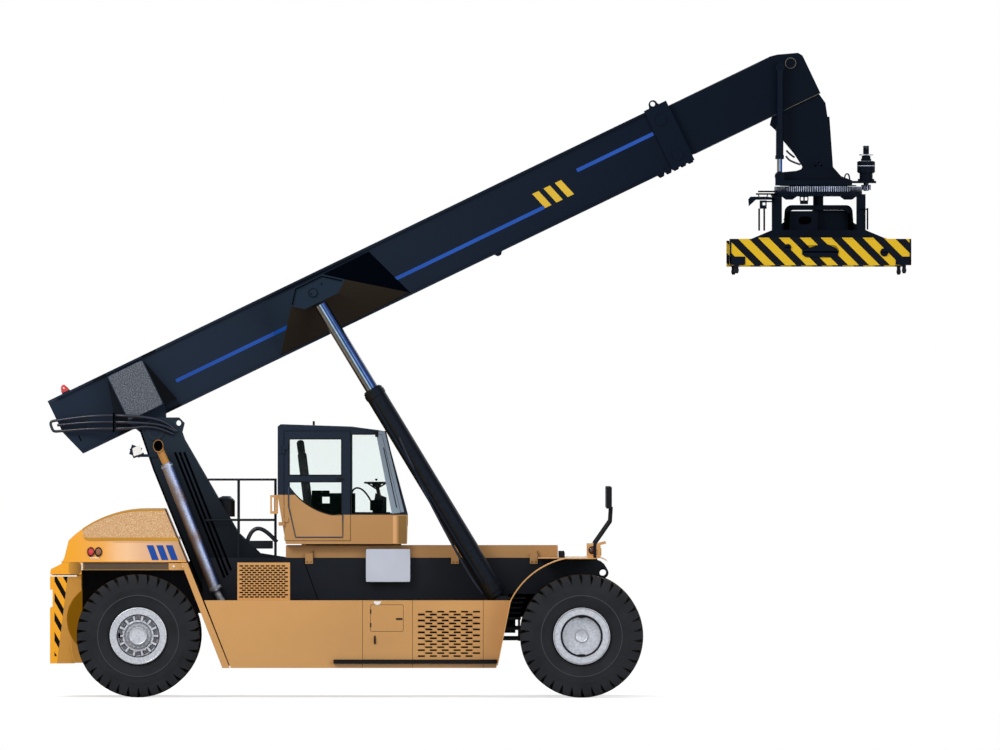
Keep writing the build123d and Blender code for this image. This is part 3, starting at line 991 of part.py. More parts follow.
for side_name, sign in SIDES:
    eye = span(sign, TILT_Y - TILT_EYE_HALF, TILT_Y + TILT_EYE_HALF)
    with BuildPart() as tilt_barrel:
        add(disc(TILT_TOP_X, TILT_TOP_Z, 60, *eye))
        add(bar_between(on_tilt_axis(sign, TILT_BARREL_START), on_tilt_axis(sign, TILT_BARREL_LENGTH),
                        TILT_BARREL_RADIUS))
        add(disc(TILT_TOP_X, TILT_TOP_Z, TILT_PIN_RADIUS + BEARING_GAP, *eye), mode=Mode.SUBTRACT)
        add(bar_between(on_tilt_axis(sign, 90), on_tilt_axis(sign, TILT_BARREL_LENGTH + 5),
                        TILT_ROD_RADIUS + BEARING_GAP), mode=Mode.SUBTRACT)
    save(tilt_barrel.part, f"tilt_barrel_{side_name}")
    with BuildPart() as tilt_rod:
        add(bar_between(on_tilt_axis(sign, TILT_ROD_TAIL), on_tilt_axis(sign, TILT_LENGTH - TILT_EYE_RADIUS + 4),
                        TILT_ROD_RADIUS))
        add(disc(TILT_FOOT_X, TILT_FOOT_Z, TILT_EYE_RADIUS, *eye))
        add(disc(TILT_FOOT_X, TILT_FOOT_Z, 22, *eye), mode=Mode.SUBTRACT)
    save(tilt_rod.part, f"tilt_rod_{side_name}")


# ---------------------------------------------------------------- rotator
with BuildPart() as slew_ring:
    add(gear(ROTATOR_X, RING_TEETH, 0, RING_BORE_RADIUS, RING_BOTTOM_Z, RING_TOP_Z))
save(slew_ring.part, "slew_ring")

UPRIGHT_Y = 300.0
UPRIGHT_THICKNESS = 120.0
SHOULDER_Z = SPREADER_TOP_Z + 131
FOOT_Z = SPREADER_TOP_Z + 7
ARCH_Y = 150.0
ARCH_THICKNESS = 90.0
ARCH_TOP_Z = SHOULDER_Z + 339
ARCH_TUBE = 66.0
with BuildPart() as rotator_frame:
    # (half length, half width, corner radius, low z, high z) of the two head plates
    for length, width, corner, low, high in (
        (591, 430, 150, RING_BOTTOM_Z - 34, RING_BOTTOM_Z),
        (641, 440, 180, HEAD_PLATE_BOTTOM_Z, RING_BOTTOM_Z - 34),
    ):
        with BuildSketch(Plane((ROTATOR_X, 0, low))):
            RectangleRounded(2 * length, 2 * width, corner)
            Circle(RING_RADIUS + TOOTH_TIP)
        extrude(amount=high - low)
    add(upright(ROTATOR_X, 0, RACE_RADIUS + 5, HEAD_PLATE_BOTTOM_Z + 14, RING_BOTTOM_Z + 10),
        mode=Mode.SUBTRACT)
    for side_name, sign in SIDES:
        wall = span(sign, UPRIGHT_Y, UPRIGHT_Y + UPRIGHT_THICKNESS)
        for low, high in ((-628, -496), (522, 639)):
            add(block(ROTATOR_X + low, ROTATOR_X + high, *wall, SHOULDER_Z, HEAD_PLATE_BOTTOM_Z))
        add(slab(((ROTATOR_X - 628, SHOULDER_Z), (ROTATOR_X - 924, FOOT_Z), (ROTATOR_X + 934, FOOT_Z),
                  (ROTATOR_X + 639, SHOULDER_Z)), *wall))
        # gussets under the head plate
        for low, high in ((-496, -286), (296, 522)):
            add(slab(((ROTATOR_X + low, HEAD_PLATE_BOTTOM_Z + 1),
                      (ROTATOR_X + high, HEAD_PLATE_BOTTOM_Z + 1),
                      (ROTATOR_X + high - 60, HEAD_PLATE_BOTTOM_Z - 44),
                      (ROTATOR_X + low + 60, HEAD_PLATE_BOTTOM_Z - 44)), *wall))
        # arched hoop between the uprights
        with BuildSketch(Plane.XZ.offset(-span(sign, ARCH_Y, ARCH_Y + ARCH_THICKNESS)[1])):
            with BuildLine():
                FilletPolyline((ROTATOR_X - 480, FOOT_Z + 20), (ROTATOR_X - 449, ARCH_TOP_Z),
                               (ROTATOR_X + 459, ARCH_TOP_Z), (ROTATOR_X + 490, FOOT_Z + 20), radius=90)
                Line((ROTATOR_X + 490, FOOT_Z + 20), (ROTATOR_X - 480, FOOT_Z + 20))
            make_face()
            with BuildLine():
                FilletPolyline((ROTATOR_X - 400, FOOT_Z + 60),
                               (ROTATOR_X - 449 + ARCH_TUBE, ARCH_TOP_Z - ARCH_TUBE),
                               (ROTATOR_X + 459 - ARCH_TUBE, ARCH_TOP_Z - ARCH_TUBE),
                               (ROTATOR_X + 410, FOOT_Z + 60), radius=50)
                Line((ROTATOR_X + 410, FOOT_Z + 60), (ROTATOR_X - 400, FOOT_Z + 60))
            make_face(mode=Mode.SUBTRACT)
        extrude(amount=ARCH_THICKNESS)
    add(block(ROTATOR_X - 462, ROTATOR_X + 468, -UPRIGHT_Y - 60, UPRIGHT_Y + 60, FOOT_Z, SHOULDER_Z))
    add(block(ROTATOR_X - 83, ROTATOR_X + 440, -130, 130, SHOULDER_Z - 10, SHOULDER_Z + 270))
    add(upright(ROTATOR_X, 0, 70, SHOULDER_Z - 10, HEAD_PLATE_BOTTOM_Z + 1))
save(rotator_frame.part, "rotator_frame")


# ---------------------------------------------------------------- spreader
FRAME_HALF_WIDTH = 480.0
FRAME_HALF_LENGTH = SPREADER_HALF - 350
TUBE_X = (30.0, 420.0)
BEAM_PLAY = 20.0
BEAM_TAIL_Y = FRAME_HALF_LENGTH - 100
LOCK_BOX_LENGTH = 215.0
LOCK_BOX_HEIGHT = 120.0
FACE_STEP = 8.0
with BuildPart() as spreader_frame:
    add(block(ROTATOR_X - FRAME_HALF_WIDTH, ROTATOR_X + FRAME_HALF_WIDTH, -FRAME_HALF_LENGTH,
              FRAME_HALF_LENGTH, SPREADER_BOTTOM_Z + 60, SPREADER_TOP_Z - 3))
    for low, high in ((-TUBE_X[1], -TUBE_X[0]), TUBE_X):
        add(block(ROTATOR_X + low, ROTATOR_X + high, -FRAME_HALF_LENGTH - 10, FRAME_HALF_LENGTH + 10,
                  SPREADER_BOTTOM_Z + 100, SPREADER_TOP_Z - 43), mode=Mode.SUBTRACT)
save(spreader_frame.part, "spreader_frame")

for side_name, sign in SIDES:
    x_low, x_high = span(sign, TUBE_X[0] + BEAM_PLAY, TUBE_X[1] - BEAM_PLAY)
    end_beam = span(sign, SPREADER_HALF - END_BEAM_DEPTH, SPREADER_HALF - FACE_STEP)
    end_face = span(sign, SPREADER_HALF - FACE_STEP - 1, SPREADER_HALF)
    with BuildPart() as spreader_beam:
        add(block(ROTATOR_X + x_low, ROTATOR_X + x_high,
                  *span(sign, -BEAM_TAIL_Y, SPREADER_HALF - END_BEAM_DEPTH + 20),
                  SPREADER_BOTTOM_Z + 100 + BEAM_PLAY, SPREADER_TOP_Z - 43 - BEAM_PLAY))
        add(block(ROTATOR_X - SPREADER_WIDTH / 2, ROTATOR_X + SPREADER_WIDTH / 2, *end_beam,
                  SPREADER_BOTTOM_Z, SPREADER_TOP_Z))
        # oval pocket and two round caps in the end face
        with BuildSketch(Plane.XZ.offset(-sign * (SPREADER_HALF - FACE_STEP))):
            with Locations((ROTATOR_X + 3, SPREADER_BOTTOM_Z + 187)):
                SlotOverall(494, 169)
        extrude(amount=sign * 30, mode=Mode.SUBTRACT)
        for cap_x, cap_z, cap_radius in ((-440, 239, 46), (868, 172, 54)):
            add(disc(ROTATOR_X + cap_x, SPREADER_BOTTOM_Z + cap_z, cap_radius, *end_face))
        for lock_sign in (-1, 1):
            lock_x = ROTATOR_X + lock_sign * TWISTLOCK_PITCH_X / 2
            add(block(*sorted((ROTATOR_X + lock_sign * SPREADER_WIDTH / 2,
                               ROTATOR_X + lock_sign * (SPREADER_WIDTH / 2 - LOCK_BOX_LENGTH))),
                      *end_face, SPREADER_BOTTOM_Z, SPREADER_BOTTOM_Z + LOCK_BOX_HEIGHT))
            add(upright(lock_x, sign * TWISTLOCK_PITCH_Y / 2, TWISTLOCK_SHANK_RADIUS + BEARING_GAP,
                        SPREADER_BOTTOM_Z - 5, SPREADER_BOTTOM_Z + 80), mode=Mode.SUBTRACT)
    save(spreader_beam.part, f"spreader_beam_{side_name}")
    for place, lock_x in (("rear", -TWISTLOCK_PITCH_X / 2), ("front", TWISTLOCK_PITCH_X / 2)):
        x, y = ROTATOR_X + lock_x, sign * TWISTLOCK_PITCH_Y / 2
        with BuildPart() as twistlock:
            add(upright(x, y, TWISTLOCK_SHANK_RADIUS, TWISTLOCK_TIP_Z + 30, SPREADER_BOTTOM_Z + 70))
            # head: straight block over a tapered nose
            add(block(x - 30, x + 30, y - 50, y + 50, TWISTLOCK_TIP_Z + 30, TWISTLOCK_TIP_Z + 60))
            with BuildSketch(Plane((x, y, TWISTLOCK_TIP_Z + 30))):
                Rectangle(60, 100)
            with BuildSketch(Plane((x, y, TWISTLOCK_TIP_Z))):
                Rectangle(36, 60)
            loft()
        save(twistlock.part, f"twistlock_{place}_{side_name}")


# ---------------------------------------------------------------- cab
def cab_points(*offsets):
    """Side-view places given as offsets from the cab's lower rear corner."""
    return [(CAB_REAR_X + x, CAB_BOTTOM_Z + z) for x, z in offsets]


WINDOW_REAR_X = DOOR_REAR_X + DOOR_FRAME
WINDOW_FRONT_X = DOOR_FRONT_X - 115
UPPER_WINDOW = (CAB_BOTTOM_Z + 932, CAB_BOTTOM_Z + 1425)
LOWER_WINDOW_TOP_Z = CAB_BOTTOM_Z + 842
REAR_WINDOW = (CAB_BOTTOM_Z + 778, CAB_BOTTOM_Z + 1478)
ROLLER_XS = (CAB_REAR_X + 323, CAB_REAR_X + 1473)
ROLLER_LENGTH = 200.0
CAB_OUTLINE = cab_points((0, 661), (111, 0), (1751, 0), (1762, 395), (1458, 1523), (1361, 1542),
                         (998, 1591), (40, 1623), (0, 1593))
CAB_ROOM = cab_points((50, 661), (163, 90), (1701, 90), (1712, 395), (1423, 1473), (998, 1531), (50, 1563))
WINDSCREEN_OPENING = cab_points((1623, 415), (1363, 1428), (1523, 1488), (1823, 415))
WINDSCREEN = cab_points((1623, 415), (1363, 1428), (1373, 1435), (1633, 415))
QUARTER_WINDOW = cab_points((998, 408), (1673, 408), (1413, 1488), (998, 1488))
with BuildPart() as cab_frame:
    add(slab(CAB_OUTLINE, -CAB_Y, CAB_Y))
    add(slab(CAB_ROOM, -CAB_Y + CAB_WALL, CAB_Y - CAB_WALL), mode=Mode.SUBTRACT)
    add(slab(WINDSCREEN_OPENING, -CAB_Y + 90, CAB_Y - 90), mode=Mode.SUBTRACT)
    add(block(CAB_REAR_X - 10, CAB_REAR_X + CAB_WALL + 10, -CAB_Y + 150, CAB_Y - 150, *REAR_WINDOW),
        mode=Mode.SUBTRACT)
    for side_name, sign in SIDES:
        wall = span(sign, CAB_Y - CAB_WALL - 5, CAB_Y + 5)
        add(slab(QUARTER_WINDOW, *wall), mode=Mode.SUBTRACT)
        if sign < 0:
            add(block(DOOR_REAR_X - DOOR_GAP, DOOR_FRONT_X + DOOR_GAP, *wall, DOOR_BOTTOM_Z - DOOR_GAP,
                      DOOR_TOP_Z + DOOR_GAP), mode=Mode.SUBTRACT)
        else:
            add(block(WINDOW_REAR_X, WINDOW_FRONT_X, *wall, CAB_BELT_Z + 93, UPPER_WINDOW[1]),
                mode=Mode.SUBTRACT)
        # feet that ride on the rails
        for roller_x in ROLLER_XS:
            add(block(roller_x, roller_x + ROLLER_LENGTH, *span(sign, GIRDER_IN_Y + 5, GIRDER_OUT_Y - 25),
                      RAIL_TOP_Z, CAB_BOTTOM_Z + 1))
    # fixed halves of the door hinges
    for hinge_z in (DOOR_BOTTOM_Z + 200, DOOR_TOP_Z - 300):
        add(upright(HINGE_X, -HINGE_Y, HINGE_RADIUS, hinge_z, hinge_z + 50))
        add(block(HINGE_X - 70, HINGE_X, -HINGE_Y, -CAB_Y + 1, hinge_z, hinge_z + 50))
save(cab_frame.part, "cab_frame")

with BuildPart() as cab_glass:
    add(slab(WINDSCREEN, -CAB_Y + 90, CAB_Y - 90))
    for side_name, sign in SIDES:
        pane = span(sign, CAB_Y - GLASS_INSET - GLASS, CAB_Y - GLASS_INSET)
        add(slab(QUARTER_WINDOW, *pane))
    add(block(WINDOW_REAR_X, WINDOW_FRONT_X, CAB_Y - GLASS_INSET - GLASS, CAB_Y - GLASS_INSET,
              CAB_BELT_Z + 93, UPPER_WINDOW[1]))
    add(block(CAB_REAR_X + 20, CAB_REAR_X + 20 + GLASS, -CAB_Y + 150, CAB_Y - 150, *REAR_WINDOW))
save(cab_glass.part, "cab_glass")


def lower_door_window(y_low, y_high):
    """Lower door opening: straight top and sides over a sill that sweeps down to the front."""
    with BuildPart() as window:
        with BuildSketch(Plane.XZ.offset(-y_high)):
            with BuildLine():
                sill = ThreePointArc((WINDOW_REAR_X, CAB_BELT_Z + 383), (CAB_REAR_X + 413, CAB_BELT_Z + 131),
                                     (WINDOW_FRONT_X - 129, CAB_BELT_Z))
                Polyline(sill @ 1, (WINDOW_FRONT_X, CAB_BELT_Z), (WINDOW_FRONT_X, LOWER_WINDOW_TOP_Z),
                         (WINDOW_REAR_X, LOWER_WINDOW_TOP_Z), sill @ 0)
            make_face()
        extrude(amount=y_high - y_low)
    return window.part


with BuildPart() as cab_door:
    add(block(DOOR_REAR_X, DOOR_FRONT_X, -CAB_Y, -CAB_Y + CAB_WALL - 5, DOOR_BOTTOM_Z, DOOR_TOP_Z))
    add(block(WINDOW_REAR_X, WINDOW_FRONT_X, -CAB_Y - 5, -CAB_Y + CAB_WALL, *UPPER_WINDOW),
        mode=Mode.SUBTRACT)
    add(lower_door_window(-CAB_Y - 5, -CAB_Y + CAB_WALL), mode=Mode.SUBTRACT)
    # swinging halves of the hinges
    for hinge_z in (DOOR_BOTTOM_Z + 253, DOOR_TOP_Z - 247):
        add(upright(HINGE_X, -HINGE_Y, HINGE_RADIUS, hinge_z, hinge_z + 60))
        add(block(HINGE_X, HINGE_X + 60, -HINGE_Y - 4, -HINGE_Y + 4, hinge_z, hinge_z + 60))
        add(block(HINGE_X + 40, HINGE_X + 60, -HINGE_Y - 4, -CAB_Y + 1, hinge_z, hinge_z + 60))
save(cab_door.part, "cab_door")

with BuildPart() as door_glass:
    add(block(WINDOW_REAR_X, WINDOW_FRONT_X, -CAB_Y + GLASS_INSET, -CAB_Y + GLASS_INSET + GLASS,
              *UPPER_WINDOW))
    add(lower_door_window(-CAB_Y + GLASS_INSET, -CAB_Y + GLASS_INSET + GLASS))
save(door_glass.part, "door_glass")

SEAT_X = CAB_REAR_X + 573
SEAT_Y = 260.0
CUSHION_Z = CAB_FLOOR_Z + 388
with BuildPart() as operator_seat:
    add(block(SEAT_X - 200, SEAT_X + 200, -200, 200, CAB_FLOOR_Z, CAB_FLOOR_Z + 330))
    with BuildSketch(Plane.XZ.offset(-SEAT_Y)):
        with Locations((SEAT_X + 5, CUSHION_Z)):
            RectangleRounded(510, 140, 55)
        with Locations(Location((SEAT_X - 205, CUSHION_Z + 390, 0), 7)):
            RectangleRounded(120, 760, 50)
        with Locations(Location((SEAT_X - 262, CUSHION_Z + 830, 0), 7)):
            RectangleRounded(100, 200, 45)
    extrude(amount=2 * SEAT_Y)
save(operator_seat.part, "operator_seat")

COLUMN_X = CAB_REAR_X + 1383
WHEEL_RIM_Z = CAB_BOTTOM_Z + 828
STEERING_RADIUS = 158.0
with BuildPart() as cab_console:
    add(slab(((COLUMN_X - 160, CAB_FLOOR_Z), (COLUMN_X + 90, CAB_FLOOR_Z),
              (COLUMN_X + 90, CAB_FLOOR_Z + 538),
              (COLUMN_X - 60, CAB_FLOOR_Z + 598)), -150, 150))
    add(bar_between((COLUMN_X, 0, CAB_FLOOR_Z + 518), (COLUMN_X - 45, 0, WHEEL_RIM_Z - 10), 25))
    add(bar_between((COLUMN_X - 42, 0, WHEEL_RIM_Z - 60), (COLUMN_X - 45, 0, WHEEL_RIM_Z), 60))
    for turn in range(3):
        angle = radians(90 + 120 * turn)
        add(bar_between((COLUMN_X - 45, 0, WHEEL_RIM_Z - 20),
                        (COLUMN_X - 45 + STEERING_RADIUS * cos(angle), STEERING_RADIUS * sin(angle),
                         WHEEL_RIM_Z), 9))
    with Locations((COLUMN_X - 45, 0, WHEEL_RIM_Z)):
        Torus(STEERING_RADIUS, 14)
save(cab_console.part, "cab_console")


# ---------------------------------------------------------------- outfit on the chassis
EXHAUST_Y = 830.0
PIPE_RADIUS = 52.0
SHIELD_RADIUS = 78.0
with BuildPart() as exhaust:
    add(bar_between((PIVOT_X + 45, -EXHAUST_Y, PIVOT_Z - 204), (PIVOT_X + 162, -EXHAUST_Y, PIVOT_Z - 464),
                    PIPE_RADIUS, PIPE_RADIUS - 6))
    add(bar_between((PIVOT_X + 153, -EXHAUST_Y, PIVOT_Z - 443), (PIVOT_X + 827, -EXHAUST_Y, PIVOT_Z - 2164),
                    SHIELD_RADIUS))
    add(block(PIVOT_X + 587, PIVOT_X + 687, -EXHAUST_Y, -TOWER_OUT_Y, GIRDER_TOP_Z + 5, GIRDER_TOP_Z + 75))
save(exhaust.part, "exhaust")

RAILING_Y = 700.0
RAILING_RADIUS = 13.0
RAILING_ZS = (GIRDER_TOP_Z + 510, GIRDER_TOP_Z + 1058)
with BuildPart() as guard_rail:
    for side_name, sign in SIDES:
        for post_x in (PIVOT_X + 1129, PIVOT_X + 1629):
            add(upright(post_x, sign * RAILING_Y, RAILING_RADIUS, GIRDER_TOP_Z, RAILING_ZS[1]))
        for rail_z in RAILING_ZS:
            add(bar_between((PIVOT_X + 711, sign * RAILING_Y, rail_z),
                            (PIVOT_X + 1642, sign * RAILING_Y, rail_z), RAILING_RADIUS))
        add(block(PIVOT_X + 687, PIVOT_X + 727, *span(sign, TOWER_OUT_Y, RAILING_Y + RAILING_RADIUS),
                  RAILING_ZS[0] - 15, RAILING_ZS[0] + 15))
save(guard_rail.part, "guard_rail")

CLEANER_X = PIVOT_X + 964
CLEANER_Y = -(TAIL_BEAM_IN_Y + REAR_FRAME_Y) / 2
CLEANER_RADIUS = 118.0
CLEANER_Z = (GIRDER_TOP_Z + 555, GIRDER_TOP_Z + 834)
with BuildPart() as air_cleaner:
    add(upright(CLEANER_X, CLEANER_Y, CLEANER_RADIUS, CLEANER_Z[0], CLEANER_Z[1] - 60))
    with BuildSketch(Plane((CLEANER_X, CLEANER_Y, CLEANER_Z[1] - 60))):
        Circle(CLEANER_RADIUS)
    with BuildSketch(Plane((CLEANER_X, CLEANER_Y, CLEANER_Z[1]))):
        Circle(CLEANER_RADIUS - 60)
    loft()
    add(upright(CLEANER_X - 77, CLEANER_Y, 60, HOOD_BASE_Z, CLEANER_Z[0] + 10))
save(air_cleaner.part, "air_cleaner")

with BuildPart() as floodlight:
    add(slab(((PIVOT_X - 352, PIVOT_Z - 314), (PIVOT_X - 313, PIVOT_Z - 184), (PIVOT_X - 173, PIVOT_Z - 234),
              (PIVOT_X - 213, PIVOT_Z - 364)), -TOWER_OUT_Y - 20, -TOWER_IN_Y))
    add(block(PIVOT_X - 253, PIVOT_X + 27, -TOWER_OUT_Y - 20, -TOWER_OUT_Y, PIVOT_Z - 354, PIVOT_Z - 314))
save(floodlight.part, "floodlight")
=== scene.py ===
"""Reach stacker: enamel, rubber, glass and small fittings on the machine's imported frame."""

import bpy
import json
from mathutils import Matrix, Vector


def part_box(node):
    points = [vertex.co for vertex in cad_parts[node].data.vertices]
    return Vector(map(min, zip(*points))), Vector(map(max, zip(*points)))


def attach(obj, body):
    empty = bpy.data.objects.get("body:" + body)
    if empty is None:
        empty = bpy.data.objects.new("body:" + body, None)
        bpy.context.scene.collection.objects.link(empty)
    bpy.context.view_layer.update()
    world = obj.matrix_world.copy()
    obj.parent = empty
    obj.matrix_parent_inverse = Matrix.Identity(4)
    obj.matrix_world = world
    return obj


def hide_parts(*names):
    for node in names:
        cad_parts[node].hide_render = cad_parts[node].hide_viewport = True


bl_info = {
    "name": "Reach stacker",
    "version": (1, 0, 0),
    "blender": (4, 5, 0),
    "location": "View3D > Sidebar > Reach stacker",
    "description": "Finishes and small fittings of a container handler, built on its packed frame",
    "category": "Add Mesh",
}

import json
import math

import bmesh
import bpy
import numpy as np
from mathutils import Vector

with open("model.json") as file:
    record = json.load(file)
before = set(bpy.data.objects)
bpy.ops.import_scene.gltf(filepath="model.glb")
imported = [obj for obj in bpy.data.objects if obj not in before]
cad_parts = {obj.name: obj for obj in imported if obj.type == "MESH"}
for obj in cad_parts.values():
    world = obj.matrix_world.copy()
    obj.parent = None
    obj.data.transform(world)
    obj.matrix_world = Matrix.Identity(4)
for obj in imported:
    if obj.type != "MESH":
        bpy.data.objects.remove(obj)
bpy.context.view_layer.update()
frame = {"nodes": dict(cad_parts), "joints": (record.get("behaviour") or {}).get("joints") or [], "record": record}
NODES = frame["nodes"]
JOINTS = {joint["name"]: joint for joint in frame["joints"]}
SIDES = (("right", -1), ("left", 1))
MM = 0.001


def joint_place(name):
    """Place of a joint in millimetres."""
    return np.array(JOINTS[name]["pos_m"]) / MM


PIVOT = joint_place("boom_lift")
TIP = joint_place("neck_level")
ALONG = np.array(JOINTS["boom_extend"]["axis"])
UP = np.array([-ALONG[2], 0.0, ALONG[0]])
ACROSS = np.array([0.0, 1.0, 0.0])
FRONT_AXLE = joint_place("front_wheel_right_roll")
REAR_AXLE = joint_place("rear_wheel_right_roll")
TURN_AXIS = joint_place("spreader_turn")
LIFT_AXIS = np.array(JOINTS["lift_stroke_right"]["axis"])
LIFT_SKY = np.cross((0.0, 1.0, 0.0), LIFT_AXIS) * (1, 0, 1) / math.hypot(LIFT_AXIS[0], LIFT_AXIS[2])


def box_mm(node):
    """Lowest and highest corner of a frame node in millimetres."""
    low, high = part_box(node)
    return np.array(low) / MM, np.array(high) / MM


WEIGHT_LOW, WEIGHT_HIGH = box_mm("counterweight")
HOOD_LOW, HOOD_HIGH = box_mm("rear_hood")
BODY_LOW, BODY_HIGH = box_mm("side_body_left")
RAIL_LOW, RAIL_HIGH = box_mm("cab_rails")
CAB_LOW, CAB_HIGH = box_mm("cab_frame")
DOOR_LOW, DOOR_HIGH = box_mm("cab_door")
TOWER_LOW, TOWER_HIGH = box_mm("tower")
CHASSIS_LOW, CHASSIS_HIGH = box_mm("chassis_frame")
CHEST_LOW, CHEST_HIGH = box_mm("valve_chest")
MIRROR_LOW, MIRROR_HIGH = box_mm("mirrors")
BEAM_LOW, BEAM_HIGH = box_mm("spreader_beam_left")
RING_LOW, RING_HIGH = box_mm("slew_ring")
CAB_SIDE = 850.0
BODY_SIDE = 1680.0
GIRDER_SIDE = 740.0
GIRDER_TOP = 1885.0
TOWER_SIDE = 620.0
HOOD_SIDE = 1600.0
WEIGHT_SIDE = WEIGHT_HIGH[1]


# ------------------------------------------------------------------ shells
def in_row(along, across, up):
    """Points of the machine's own frame: (x, y, z) as given."""
    return np.stack(np.broadcast_arrays(along, across, up), axis=-1).astype(float)


def on_boom(along, across, up):
    """Points on the boom: pivot + along times the boom's direction + up times its normal."""
    along, across, up = (np.asarray(value, float)[..., None] for value in (along, across, up))
    return PIVOT * (1, 0, 1) + along * ALONG + across * ACROSS + up * UP


def in_plan(x, z, y):
    """Points for an outline seen from above: (x, y) carried up the height z."""
    return in_row(x, y, z)


def in_front(y, x, z):
    """Points for an outline seen from the front: (y, z) carried along x."""
    return in_row(x, y, z)


def woven(points, wrap_rows=False, wrap_columns=False):
    """Four-sided faces over a grid of points; a wrap joins the last line to the first."""
    number = np.arange(points.shape[0] * points.shape[1]).reshape(points.shape[:2])
    if wrap_rows:
        number = np.concatenate([number, number[:1]])
    if wrap_columns:
        number = np.concatenate([number, number[:, :1]], axis=1)
    quads = np.stack([number[:-1, :-1], number[:-1, 1:], number[1:, 1:], number[1:, :-1]], axis=-1)
    return points.reshape(-1, 3), [quads.reshape(-1, 4)]


def joined(*shells):
    """One shell from several: points stacked, face numbers moved on by the points before."""
    starts = np.cumsum([0] + [len(points) for points, _ in shells[:-1]])
    faces = [block + start for (_, blocks), start in zip(shells, starts) for block in blocks]
    return np.concatenate([points for points, _ in shells]), faces


def mirrored(shell):
    """The same shell on the machine's other side: y changes sign."""
    points, faces = shell
    return points * (1, -1, 1), [block[:, ::-1] for block in faces]


def both(shell):
    """A shell and its mirror image across the machine."""
    return joined(shell, mirrored(shell))


def repeated(shell, offsets):
    """Copies of a shell: each point plus each offset."""
    points, faces = shell
    offsets = np.asarray(offsets, float)
    steps = np.arange(len(offsets)) * len(points)
    copies = (points[None] + offsets[:, None]).reshape(-1, 3)
    return copies, [(block[None] + steps[:, None, None]).reshape(-1, block.shape[1]) for block in faces]


def spread_round(shell, centre, axis, count, first=0.0):
    """Copies of a shell turned about an axis through a centre by equal steps of a full turn."""
    points, faces = shell
    axis, one, two = square_to(axis)
    local = points - centre
    along, a, b = local @ axis, local @ one, local @ two
    turn = first + np.arange(count)[:, None] * 2 * math.pi / count
    turned_a = a * np.cos(turn) - b * np.sin(turn)
    turned_b = a * np.sin(turn) + b * np.cos(turn)
    copies = centre + along[None, :, None] * axis + turned_a[..., None] * one + turned_b[..., None] * two
    steps = np.arange(count) * len(points)
    return (copies.reshape(-1, 3),
            [(block[None] + steps[:, None, None]).reshape(-1, block.shape[1]) for block in faces])


def square_to(direction):
    """A direction at length one, and two more at right angles to it and to each other."""
    direction = np.asarray(direction, float) / np.linalg.norm(direction)
    one = np.cross(np.eye(3)[np.argmin(np.abs(direction))], direction)
    one /= np.linalg.norm(one)
    return direction, one, np.cross(direction, one)


def turned(profile, start, direction, steps=40):
    """Surface of revolution: start + along·direction + radius·(one cos t + two sin t)."""
    profile = np.asarray(profile, float)
    direction, one, two = square_to(direction)
    turn = np.linspace(0, 2 * math.pi, steps, endpoint=False)[None, :, None]
    spoke = one * np.cos(turn) + two * np.sin(turn)
    points = np.asarray(start, float) + profile[:, None, :1] * direction + profile[:, None, 1:] * spoke
    return woven(points, wrap_columns=True)


def swept(path, radius, side=(0, 1, 0), sides=10):
    """Tube along a path: path + radius·(spoke cos t + second sin t), spoke square to side and path."""
    path = np.asarray(path, float)
    ahead = np.gradient(path, axis=0)
    ahead /= np.linalg.norm(ahead, axis=1, keepdims=True)
    spoke = np.cross(side, ahead)
    spoke /= np.linalg.norm(spoke, axis=1, keepdims=True)
    second = np.cross(ahead, spoke)
    turn = np.linspace(0, 2 * math.pi, sides, endpoint=False)[None, :, None]
    reach = np.broadcast_to(np.asarray(radius, float), len(path))[:, None, None]
    rings = path[:, None] + reach * (np.cos(turn) * spoke[:, None] + np.sin(turn) * second[:, None])
    points, faces = woven(rings, wrap_columns=True)
    caps = np.stack([np.arange(sides)[::-1], len(points) - sides + np.arange(sides)])
    return points, faces + [caps]


def eased(points, steps=8):
    """Curve through the middles of a path's runs: (1-t)²·a + 2t(1-t)·corner + t²·b at each corner."""
    points = np.asarray(points, float)
    middles = (points[:-1] + points[1:]) / 2
    starts = np.concatenate([points[:1], middles[1:-1], middles[-1:]])[:len(points) - 2]
    ends = np.concatenate([middles[1:-1], points[-1:]])
    corners = points[1:-1]
    t = np.linspace(0, 1, steps)[None, :, None]
    curve = (1 - t) ** 2 * starts[:, None] + 2 * t * (1 - t) * corners[:, None] + t**2 * ends[:, None]
    flat = curve.reshape(-1, points.shape[1])
    keep = np.concatenate([[True], np.linalg.norm(np.diff(flat, axis=0), axis=1) > 1e-6])
    return flat[keep]


def rounded(outline, reach, steps=5):
    """Outline with eased corners: a quadratic curve from reach before each corner to reach after it."""
    outline = np.asarray(outline, float)
    back, on = np.roll(outline, 1, axis=0) - outline, np.roll(outline, -1, axis=0) - outline
    back_length = np.linalg.norm(back, axis=1, keepdims=True)
    on_length = np.linalg.norm(on, axis=1, keepdims=True)
    start = outline + back / back_length * np.minimum(reach, back_length / 2.01)
    end = outline + on / on_length * np.minimum(reach, on_length / 2.01)
    t = np.linspace(0, 1, steps)[None, :, None]
    curve = (1 - t) ** 2 * start[:, None] + 2 * t * (1 - t) * outline[:, None] + t**2 * end[:, None]
    return curve.reshape(-1, 2)


def prism(outline, low, high, place=in_row):
    """Prism: the outline at the low station and at the high one, walls between them, both ends closed."""
    outline = np.asarray(outline, float)
    ends = [place(outline[:, 0], station, outline[:, 1]) for station in (low, high)]
    points, faces = woven(np.stack(ends), wrap_columns=True)
    count = len(outline)
    caps = np.stack([np.arange(count)[::-1], count + np.arange(count)])
    return points, faces + [caps]


def slab(x_low, x_high, y_low, y_high, z_low, z_high, round_by=0.0, place=in_row):
    """Prism with a four-cornered outline; round_by eases its corners."""
    outline = ((x_low, z_low), (x_high, z_low), (x_high, z_high), (x_low, z_high))
    return prism(rounded(outline, round_by) if round_by else outline, y_low, y_high, place)


